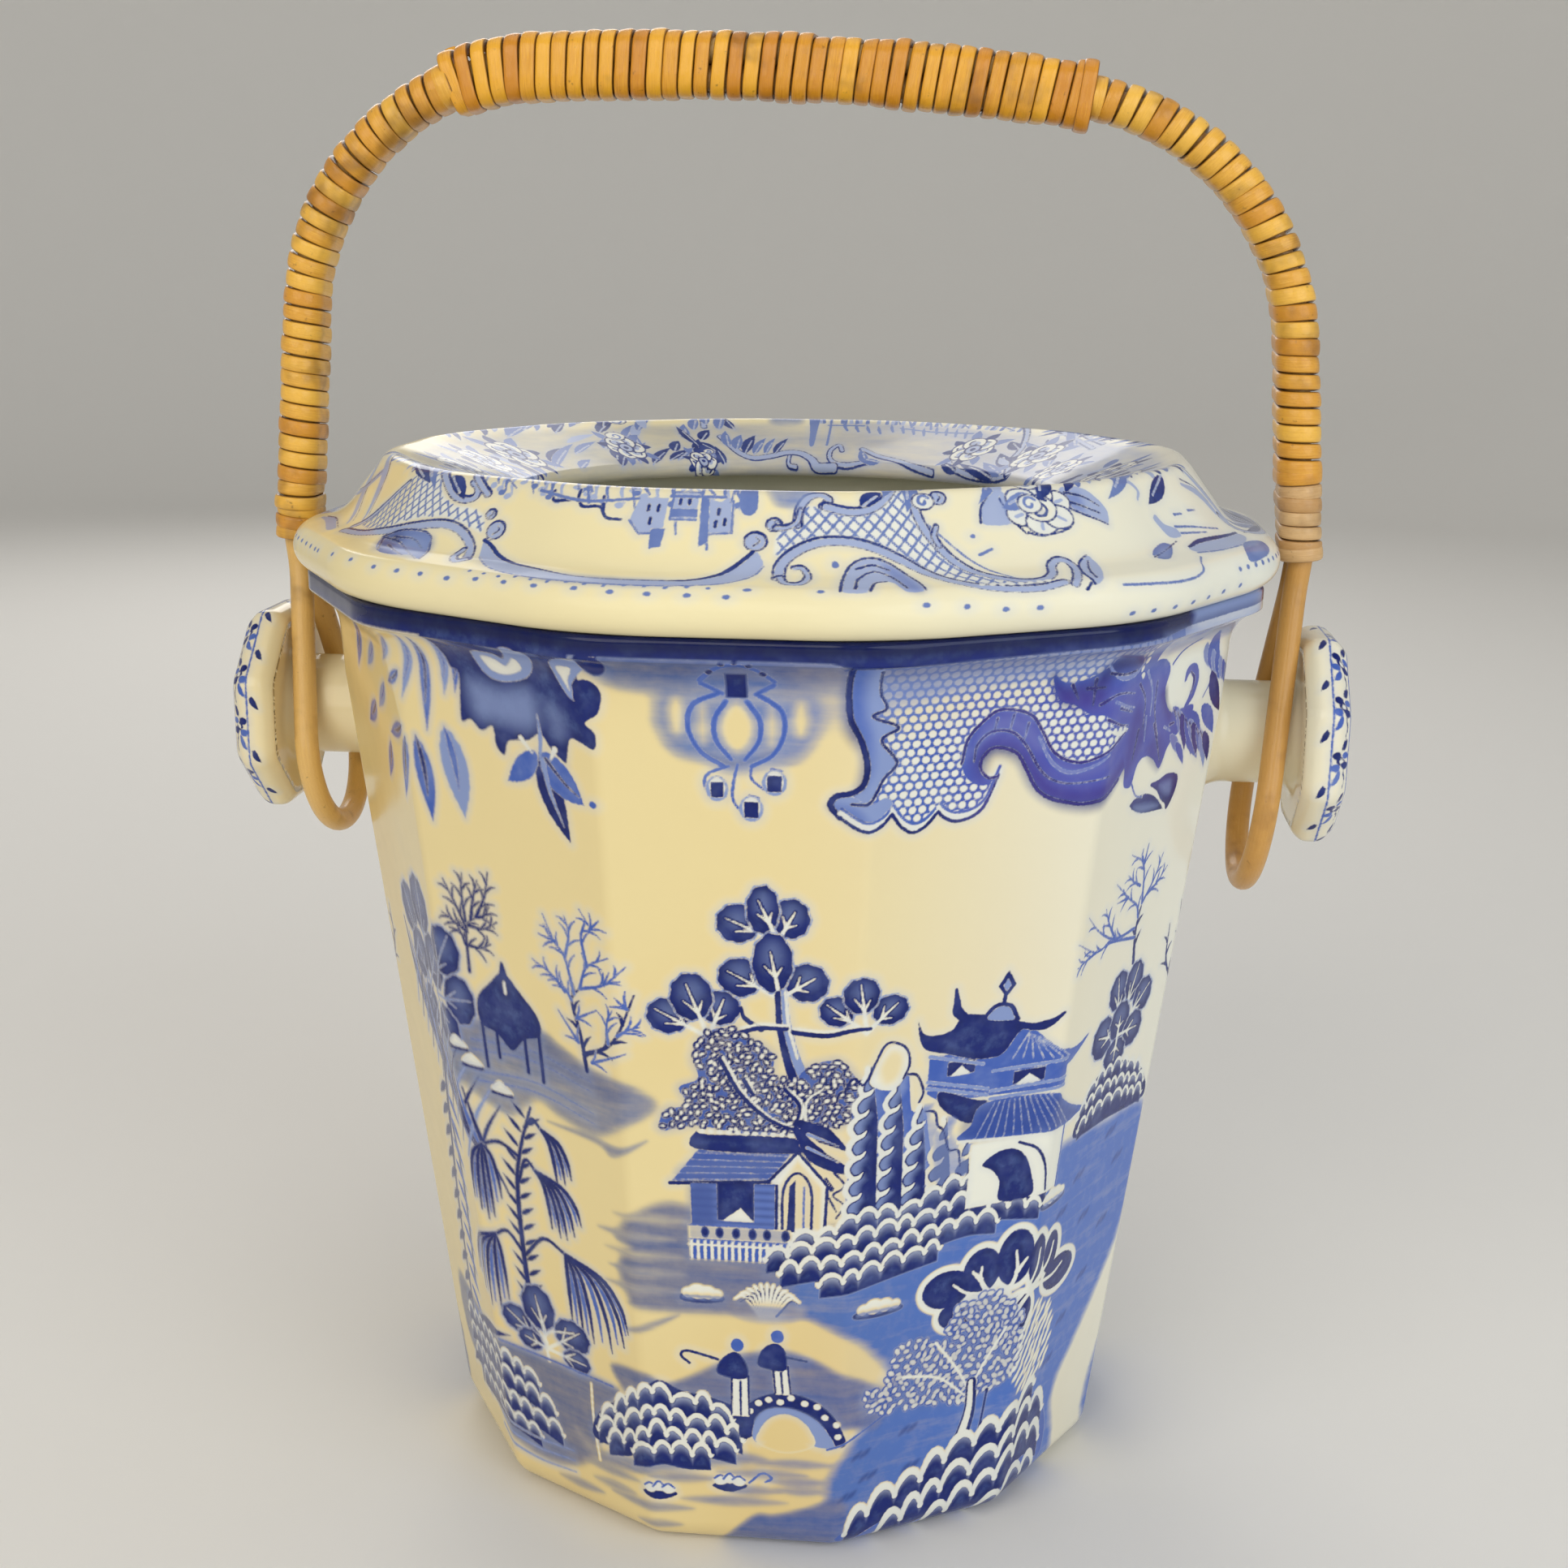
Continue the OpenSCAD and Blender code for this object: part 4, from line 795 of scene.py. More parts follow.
def paint_left_bank(s):
    """The clump, pavilion and willow on the left."""
    lobes(s, (-105, 158), (-117, 178, 7, 7.4), (-104, 183, 8, 8.4), (-97, 168, 7.4, 8),
        (-111, 166, 7, 7.4), (-106, 152, 6, 6), vein=LIGHT)
    lobes(s, (-98, 158), (-88.5, 174, 6.4, 7.4), (-84.5, 160, 5.6, 7.4), (-92, 150, 6, 6.6), vein=LIGHT)
    for k in range(12):
        u, z = -126 + 3.4 * k, 172 - 3.6 * k
        s.stroke([(u, z), (u + 5, z - 16), (u + 13, z - 30)], [0.7, 2.2, 0.6], (DARK, MID, DARK)[k % 3])
        s.stroke([(u + 14, z - 2), (u + 7, z - 12), (u + 1, z - 26)], [0.5, 1.5, 0.5],
            (LIGHT, DARK)[k % 2])
    strokes(s, 2.2, DARK, [(-104, 134), (-110, 110), (-116, 84), (-120, 50), (-122, 20)],
        [(-108, 120), (-104, 100), (-106, 80), (-110, 60)], ends=0.7)
    for z in np.arange(26, 128, 7.5):
        u = -123 + (z - 20) * 0.16
        s.leaf((u, z), (u + 9, z - 7), 3.0, MID, bend=1.0)
        s.leaf((u, z + 3), (u - 9, z - 3), 3.0, DARK, bend=-1.0)
    for z in (150, 147, 140.5, 137.5):
        s.stroke([(-82, z - 1), (-60, z + 1), (-40, z - 3)], 0.7, MID, ends=0.4)
    # Pavilion
    s.area([(-77.5, 162.5), (-72, 168.5), (-67, 172.5), (-62, 168), (-56.3, 161.5), (-56.3, 156),
        (-62, 153.5), (-67, 149), (-72, 153), (-77.5, 155)], DARK)
    s.stroke([(-67, 175), (-67, 171)], [1.2, 3.4], DARK, smooth=False)
    for u, z0, z1 in ((-77, 142, 155), (-72, 146, 153), (-62, 144, 154), (-56.8, 142.5, 157)):
        s.stroke([(u, z0), (u, z1)], 1.7, DARK, smooth=False)
    s.stroke([(-67, 169.5), (-67, 166.5)], 1.1, PAPER, smooth=False)
    for u, z, w in ((-83, 142, 8), (-88, 146.5, 8), (-73, 136, 8)):
        s.area([(u - w / 2, z - 2.4), (u + w / 2, z - 2.2), (u + w / 3, z - 0.4), (u - w / 3, z - 0.4)],
            DARK)
        s.area([(u - w / 2, z - 1), (u - 1, z + 2.4), (u + 1.6, z + 1.6), (u + w / 2, z - 1)], PAPER)
    # Willow
    s.stroke([(-72, 55), (-73, 80), (-72, 105), (-69, 118), (-63, 133)], [2.6, 2.2, 1.9, 1.5, 0.9], DARK)
    fronds = (
        ((-70, 116), (-84, 116), ((-91, 97), (-88, 94), (-85.5, 91.5), (-83, 93), (-79, 100))),
        ((-66, 126), (-60, 127), ((-50.5, 114), (-53, 112), (-56, 110.5))),
        ((-71, 108), (-64, 113), ((-60, 96), (-57, 94), (-54.5, 94), (-51.5, 96), (-48.5, 100))),
        ((-73, 84), (-84, 87), ((-99, 70), (-95, 65), (-90.5, 61.5), (-86, 61.5), (-82, 66))),
        ((-72, 84), (-56, 89), ((-56, 67), (-52, 63), (-48, 62.5), (-41, 61.5), (-36, 65), (-34, 70))),
    )
    for root, head, tips in fronds:
        s.stroke([root, ((root[0] + head[0]) / 2, max(root[1], head[1]) + 2.5), head], 1.5, DARK,
            ends=0.8)
        between = [((a + c) / 2, (b + d) / 2 + 2) for (a, b), (c, d) in zip(tips, tips[1:])]
        for tip, tone in [(tip, MID) for tip in between] + [(tip, DARK) for tip in tips]:
            over = (head[0] * 0.4 + tip[0] * 0.6, head[1] * 0.8 + tip[1] * 0.2)
            down = (head[0] * 0.1 + tip[0] * 0.9, head[1] * 0.42 + tip[1] * 0.58)
            s.stroke([head, over, down, tip], [1.2, 1.7, 1.6, 0.5], tone)
    for z in np.arange(62, 128, 5.0):
        u = np.interp(z, [60, 105, 118, 133], [-72.5, -72, -69, -63])
        s.leaf((u, z), (u + 5.5, z + 3.4), 1.6, DARK)
        s.leaf((u, z + 2), (u - 5.0, z + 6.6), 1.6, DARK)
    lobes(s, (-68, 54), (-80, 60.5, 6, 4.4), (-57, 61.5, 7, 5.4), (-70, 67, 6.6, 7.4),
        (-75, 55, 5, 3.4), (-56, 53.5, 5.4, 3.6))
    strokes(s, 1.2, PAPER, [(-68, 50), (-68, 59), (-56, 63)], [(-68, 56), (-75, 62)],
        [(-68, 59), (-70, 68)], ends=0.5)
    s.leaf((-116, 45), (-84, 53), 4.5, DARK, bend=1.5)
    for path in ([(-128, 42), (-112, 44), (-98, 45), (-84, 43), (-74, 40)],
            [(-128, 36), (-110, 38), (-94, 38.5), (-80, 36), (-68, 32)],
            [(-126, 29), (-110, 31), (-92, 31), (-78, 28), (-66, 25)],
            [(-120, 24), (-104, 25), (-88, 24), (-76, 21)]):
        scallops(s, path, 6.2, 2.9, under=4.4, white=1.2)
    s.stroke([(-51, 48), (-51.5, 35), (-50.5, 22)], 0.8, PAPER)
    s.stroke([(-90, 50), (-64, 50.3), (-42, 50)], 0.8, MID)
    for z in (20, 16.5, 12.5):
        s.stroke([(-100, z + 3), (-80, z), (-62, z + 1)], 1.2, LIGHT, ends=0.3)


def paint_bridge(s):
    """The mound, the bridge with two cloaked walkers and the islands in front."""
    s.area([(-25, 57), (-18, 54), (-8, 52), (0, 48), (2, 40), (-4, 36), (-20, 32), (-40, 29),
        (-52, 29.5), (-51, 36), (-46, 42), (-38, 48), (-31, 53)], DARK)
    for path in ([(-48, 38), (-41, 43), (-34, 49), (-27, 53), (-20, 50), (-12, 50), (-3, 45)],
            [(-50, 33), (-42, 37), (-34, 42), (-26.5, 46), (-19, 43), (-10, 43), (0, 38.5)],
            [(-46, 30.5), (-38, 33), (-31, 37), (-26, 39.5), (-20, 37), (-10, 36.5), (-2, 35)],
            [(-36, 30.5), (-30, 32), (-25, 33.4), (-18, 32.4), (-10, 32.6)]):
        scallops(s, path, 6.2, 3.2, under=5.2, white=1.3)
    # Bridge
    outer = [(-1, 40), (0, 48), (3, 52), (8, 54.6), (15, 55.2), (22, 53), (28, 48), (31, 42), (32, 38.5)]
    s.area(outer + [(29, 38), (26.5, 42), (22, 47), (15, 50), (8, 49.6), (4, 46), (3, 40)], DARK)
    s.area([(3, 40), (4.2, 46), (8, 49.6), (15, 50), (22, 47), (26.5, 42), (28, 38), (22, 38),
        (20.5, 43), (17, 47), (12.5, 48), (8.5, 46.5), (6, 43), (5, 38)], LIGHT)
    opening = [(4.5, 38), (5.4, 42.5), (8.4, 46.6), (12.8, 48.2), (17.4, 46.8), (20.8, 43), (22, 38),
        (13, 35)]
    s.area(opening, PAPER)
    s.soft(opening, 0.0, 0.8)
    for u, z in ((2.3, 48.5), (5, 51.3), (8, 52.6), (11.5, 52), (14.7, 53.6), (18.8, 52), (22.6, 51.2),
            (25, 47.8), (28.6, 45.5), (29.2, 41.5)):
        s.oval(u, z, 1.15, 1.05, PAPER)
    s.stroke([(26, 37), (34, 40), (45, 46)], 0.8, MID)
    # Walkers, faceless
    s.area([(-3, 60), (2, 60), (2.2, 46.5), (-3.2, 46.5)], PAPER, smooth=False)
    strokes(s, 0.8, DARK, [(-3, 60), (-3.2, 47)], [(2, 60), (2.2, 47)], [(-0.4, 58), (-0.4, 47)],
        ends=0.8)
    s.area([(-7.5, 60.5), (-6, 65), (-2, 67.8), (1.2, 65), (2, 60), (-2, 58.8)], DARK)
    s.oval(-1.2, 70, 1.9, 2.1, MID)
    s.area([(9, 64), (13.6, 64), (14.6, 54.5), (10, 54.5)], PAPER, smooth=False)
    strokes(s, 0.8, DARK, [(9.2, 64), (10, 55)], [(13.6, 64), (14.6, 55)], [(11.6, 62), (12.2, 55)],
        ends=0.8)
    s.area([(4.6, 64), (6, 69), (10, 71.4), (13, 68.5), (13.2, 63), (9, 62.4)], DARK)
    s.oval(10.5, 73.5, 1.9, 2.1, MID)
    s.stroke([(-7, 65), (-12, 66.4), (-16.4, 67.2), (-17.8, 65.6), (-15.4, 63.2)], 0.9, DARK)
    s.stroke([(13, 67), (19, 66)], 0.9, DARK, smooth=False)
    # Islands
    for u0, u1, z in ((-33, -21, 18), (-10, 1.5, 22.3)):
        s.area([(u0, z), ((u0 + u1) / 2, z - 2), (u1, z + 0.5), ((u0 + u1) / 2, z + 2)], DARK)
        for k in (0.25, 0.5, 0.75):
            s.oval(u0 + (u1 - u0) * k, z + 2.6 - abs(k - 0.5) * 3, 2.2, 1.6, PAPER)
            s.stroke([(u0 + (u1 - u0) * k - 2, z + 2.4),
                (u0 + (u1 - u0) * k, z + 4.4 - abs(k - 0.5) * 3), (u0 + (u1 - u0) * k + 2, z + 2.4)],
                0.7, MID)
    s.stroke([(2, 24), (6, 27.5), (9, 26), (7, 24.5)], 0.8, MID)


def paint_right_bank(s):
    """The right-hand trees, bushes and wave rocks."""
    lobes(s, (122, 146), (118, 161, 5, 6), (127, 161.5, 5, 6), (134, 155, 5.4, 5.5), (113, 148, 6, 6.4),
        (122, 150.5, 5.4, 6), (131, 145.5, 5.6, 5.4), (122, 140, 6, 5))
    bush = [(104, 120), (108, 130), (114, 136), (124, 137), (134, 134), (144, 128), (148, 118),
        (124, 119)]
    s.area(bush, DARK)
    for path in ([(108, 131), (118, 135), (130, 134), (142, 129)],
            [(105, 126), (116, 130), (130, 129), (146, 124)],
            [(106, 121.5), (118, 125), (132, 124), (146, 120)]):
        scallops(s, path, 5.0, 2.4, under=3.4, white=0.9)
    for u, z in ((129, 113), (112, 105), (137, 102), (120, 89), (126, 67), (111, 44), (37, 33.5),
            (53, 38.5), (40, 25.5), (55, 25.5), (33, 20), (104, 96), (134, 82), (116, 56)):
        grass(s, u, z)
    # Blossom tree
    crown = ((62, 83, 8, 6), (73, 86.5, 6.2, 7.6), (84, 89, 6.2, 9), (93, 86, 4, 8), (101, 85, 4, 7),
        (108, 76, 9, 5.4), (66, 74, 6, 4.5), (88, 70, 5, 6))
    for u, z, ru, rz in crown:
        s.oval(u, z, ru + 1.9, rz + 1.9, PAPER)
    for u, z, ru, rz in crown:
        s.oval(u, z, ru, rz, DARK)
    strokes(s, 1.8, PAPER, [(85, 60), (86, 70), (82, 78), (70, 80), (64, 84)],
        [(76, 79), (73, 84), (73, 88)], [(83, 78), (85, 84), (84, 91)],
        [(86, 70), (92, 76), (104, 76), (110, 78)], [(86, 74), (93, 82), (94, 89)],
        [(92, 77), (100, 82), (102, 88)], [(85, 84), (88, 88)], [(73, 84), (70, 87)], ends=0.45)
    # Stippled bush
    stipple = [(37, 50), (39, 56), (45, 58), (47, 66), (55, 70), (62, 66), (66, 76), (78, 79), (88, 72),
        (92, 62), (90, 50), (80, 45), (66, 44), (52, 46), (44, 46)]
    foliage(s, stipple, 2.7, 1.6, 22, edge=MID)
    s.soft(stipple, 0.25, 3.0, dark=True)
    dotted(s, [(90, 44), (88, 60), (94, 70), (104, 68), (110, 58), (108, 44), (98, 40)], 3.0, 1.3,
        PAPER, 23, long=2.6, turn=50, jitter=0.12)
    strokes(s, 1.0, PAPER, [(50, 57), (62, 54), (72, 46)], [(60, 66), (68, 56), (73, 48)],
        [(84, 66), (78, 56), (74, 48)], ends=0.8)
    s.stroke([(74, 50), (74.5, 40), (72, 29)], [3.4, 4.4, 5.6], DARK)
    s.stroke([(73.8, 50), (74.2, 40), (71.6, 29)], [1.6, 2.2, 3.0], PAPER)
    s.stroke([(80, 46), (79.6, 40), (79, 33)], 1.2, DARK)
    # Wave rocks at the foot
    s.area([(30, 4), (41, 13), (53, 18), (68, 25), (80, 29), (92, 33), (104, 36), (112, 30), (118, 18),
        (116, 6), (100, -2), (60, -3)], MID)
    for path in ([(33, 7), (41, 13), (49, 16.5), (58, 19.5), (68, 25), (80, 29), (92, 33), (104, 40)],
            [(45, 3), (54, 8), (62, 12), (71, 16.5), (82, 19.5), (93, 25), (104, 31), (113, 27)],
            [(62, 1), (71, 6.5), (80, 10.5), (91, 15.5), (103, 21), (114, 16)],
            [(82, 0), (91, 5), (101, 9), (113, 6)]):
        scallops(s, path, 10.0, 4.8, under=6.8, white=2.1)


def paint_far_sides(s):
    """Between the two repeats, by the lugs: more of the bank, trees and border sprays."""
    for u0 in (-180, 180):
        for du, z, w, h in ((0, 252, 26, 22), (-16, 240, 14, 14), (16, 240, 14, 14)):
            u = u0 + du
            for k in range(7):
                turn = math.radians(200 + 140 * k / 6)
                s.leaf((u, z), (u + w * math.cos(turn), z + h * math.sin(turn)), 5.0,
                    (DARK, MID)[k % 2], bend=1.5)
        for du in (-26, 26):
            bare_tree(s, 1.6, [(u0 + du, 128), (u0 + du + 1, 150), (u0 + du - 1, 168)],
                [(u0 + du, 146), (u0 + du + 8, 158), (u0 + du + 9, 170)],
                [(u0 + du, 152), (u0 + du - 8, 162), (u0 + du - 10, 174)],
                [(u0 + du - 1, 168), (u0 + du + 4, 178)], [(u0 + du - 1, 168), (u0 + du - 5, 180)])
        ground(s, [(u0 - 27, 40), (u0 - 14, 50), (u0 + 14, 50), (u0 + 27, 40), (u0 + 34, 22),
            (u0 + 30, 6), (u0, 2), (u0 - 30, 6), (u0 - 34, 22)], 0.9, 0.2, 3.0)
        for row, z in enumerate((46, 40, 34, 28, 22)):
            half = 9 + 4 * row
            scallops(s, [(u0 - half, z - 5), (u0 - half / 2, z), (u0, z + 2), (u0 + half / 2, z),
                (u0 + half, z - 5)], 6.2, 2.9, under=4.4)
        lobes(s, (u0, 96), (u0 - 12, 112, 7, 7), (u0 + 12, 112, 7, 7), (u0, 120, 7, 9),
            (u0 - 18, 102, 6, 6), (u0 + 18, 102, 6, 6))
        s.stroke([(u0, 118), (u0 + 1, 80), (u0 - 1, 48)], [2.0, 3.0, 4.6], DARK)
        s.stroke([(u0 + 0.6, 116), (u0 + 1.4, 80), (u0 - 0.4, 48)], [0.8, 1.2, 1.8], PAPER)


def foliage(s, outline, spacing, size, seed, edge=DARK):
    """A cloud of small pale leaves with dark edges."""
    rng = np.random.default_rng(seed)
    p = spline(outline, closed=True)
    low, high = p.min(0), p.max(0)
    leaves = []
    for row, z in enumerate(np.arange(low[1], high[1], spacing * 0.8)):
        for u in np.arange(low[0] + (row % 2) * spacing / 2, high[0], spacing):
            a, b = np.array([u, z]) + rng.normal(0, 0.16, 2) * spacing
            turn, k = rng.uniform(0, 180), rng.uniform(0.85, 1.2)
            if inside(p, a, b):
                leaves.append((a, b, turn, k))
    for grow, tone in ((0.62, edge), (0, PAPER)):
        for a, b, turn, k in leaves:
            s.oval(a, b, size * 0.66 * k + grow, size * 0.42 * k + grow, tone, turn)


def twigs(s, path, width, count, length, tone=DARK):
    """A branch with short twigs that leave it on alternate sides."""
    p = spline(path)
    s.stroke(p, width, tone, smooth=False, ends=0.35)
    for k in range(count):
        i = int((0.25 + 0.72 * k / count) * (len(p) - 1))
        d = p[min(i + 1, len(p) - 1)] - p[i]
        d = d / max(np.hypot(*d), TINY)
        side = np.array([-d[1], d[0]]) * (1 if k % 2 else -1)
        tip = p[i] + (d * 0.8 + side * 0.75) * length * (1 - 0.4 * k / count)
        s.stroke([p[i], (p[i] + tip) / 2 + d * 0.12 * length, tip], [width * 0.7, width * 0.6, 0.35],
            tone)


def paint_rim(s):
    """The navy band that closes the print at the top, carried up over the rim's bevel and deepened with
    painted shade where the drainer's lip shades it; on the right it is paled with painted light, and a pale
    wash lies on the flare below it there.
    """
    # Printed band, carried up over the rim's bevel as painted shade where the drainer's lip shades it
    s.area([(-185, 266), (-60, 266), (-28, 266.4), (20, 266.4), (26, 264.8), (40, 265.4), (70, 266.2),
        (98, 266.8), (110, 268), (185, 268), (185, 285), (-185, 285)], DARK, smooth=False)
    # Painted shade: the band deepened where the drainer's lip shades it
    s.soft([(-185, 285), (110, 285), (110, 268), (-185, 267.4)], 0.8, 1.6, smooth=False, dark=True)
    # Painted light: the band's right-hand end paled, as if lit from the right
    s.soft([(112, 268.5), (150, 268.5), (150, 285), (112, 285)], 0.9, 2.0, smooth=False)
    s.soft([(98, 268), (150, 268), (150, 259), (112, 259)], 0.6, 3.0, smooth=False)


def ground(s, points, wash, shade, edge):
    """A bank, hill or stretch of water in soft ink."""
    s.soft(points, wash, edge)
    s.soft(points, shade, edge, dark=True)


def flame_rock(s, u0, w, z0, z1):
    """A tall rock: a row of white curls down its left edge, shading to dark on the right."""
    z = np.linspace(z0, z1, 150)
    thin = np.interp(z, [z0, z1 - 16, z1], [1, 0.72, 0.05])
    curls = 2.0 * np.abs(np.sin(z * math.pi / 6.2))**0.8 * np.clip((z1 - z) / 8, 0.3, 1)
    left, right = u0 + w * (1 - thin) / 2 - curls, u0 + w - w * (1 - thin) / 2
    s.area(np.concatenate([np.stack([left, z], 1), np.stack([right, z], 1)[::-1]])[::2], DARK,
        smooth=False)
    s.soft(np.stack([np.append(left, left[::-1] + 3.4), np.append(z, z[::-1])], 1)[::4], 0.8, 1.6,
        smooth=False)
    s.stroke(np.stack([left - 0.2, z], 1)[::2], 1.5, PAPER, smooth=False)
    for zc in np.arange(math.ceil(z0 / 6.2) * 6.2, z1 - 5, 6.2):
        at = np.interp(zc, z, left)
        s.stroke([(at - 0.2, zc), (at + 1.6, zc + 0.5), (at + 2.6, zc + 1.6)], [1.7, 1.2, 0.4], PAPER)


def grass(s, u, z):
    """A smudge of grass on the ground."""
    for k, rise in ((-2.0, -0.4), (-0.6, 0.4), (0.8, 0.1), (2.2, 0.7)):
        s.soft([(u + k - 0.9, z + rise - 0.9), (u + k + 0.3, z + rise - 0.5),
            (u + k + 1.1, z + rise + 1.1), (u + k - 0.1, z + rise + 0.7)], 0.62, 0.9, dark=True)


def sides_print(u, z):
    """The landscape and border that run twice round the pail."""
    s = Print(u, z)
    for paint in (paint_grounds, paint_far_sides, paint_border, paint_lattice_panel, paint_rim,
            paint_left_bank, paint_trees, paint_centre_tree, paint_hut, paint_rocks, paint_pagoda,
            paint_bridge, paint_right_bank):
        paint(s)
    return s


def scroll(s, path, width, line_width=0.55):
    """A scroll: a pale band between two dark lines, the upper one the thicker."""
    s.stroke(path, width + 2 * line_width, DARK, ends=0.8)
    s.stroke([(u, t - 0.25) for u, t in path], width, LIGHT, ends=0.8)


def curl(s, u, z, r, start, sweep, width=1.0, tone=DARK):
    """A spiral curl round a point."""
    t = np.linspace(0, 1, 12)
    a = np.radians(start + sweep * t)
    s.stroke(np.stack([u + r * (1 - 0.75 * t) * np.cos(a), z + r * (1 - 0.75 * t) * np.sin(a)], 1),
        width, tone)


def crosshatch(s, outline, spacing, width, tone):
    """Fills an outline with a slanting lattice."""
    p = spline(outline, closed=True)
    low, high = p.min(0), p.max(0)
    for lean in (0.8, -0.8):
        start = np.arange(low[0] - (high[1] - low[1]), high[0] + (high[1] - low[1]), spacing)
        for u0 in start:
            z = np.arange(low[1], high[1], 0.8)
            shift = 0.0 if lean > 0 else 2 * (high[1] - low[1]) * 0.4
            u = u0 + lean * (z - low[1]) + shift
            run = []
            for a, b in zip(u, z):
                if inside(p, a, b):
                    run.append((a, b))
                elif len(run) > 1:
                    s.stroke([run[0], run[-1]], width, tone, smooth=False)
                    run = []
            if len(run) > 1:
                s.stroke([run[0], run[-1]], width, tone, smooth=False)


def drainer_print(u, t):
    """The drainer's rococo border: z here is the way from the lip's edge, over the crest, into the hole."""
    s = Print(u, t)
    paint_slope(s)
    paint_hollow(s)
    return s


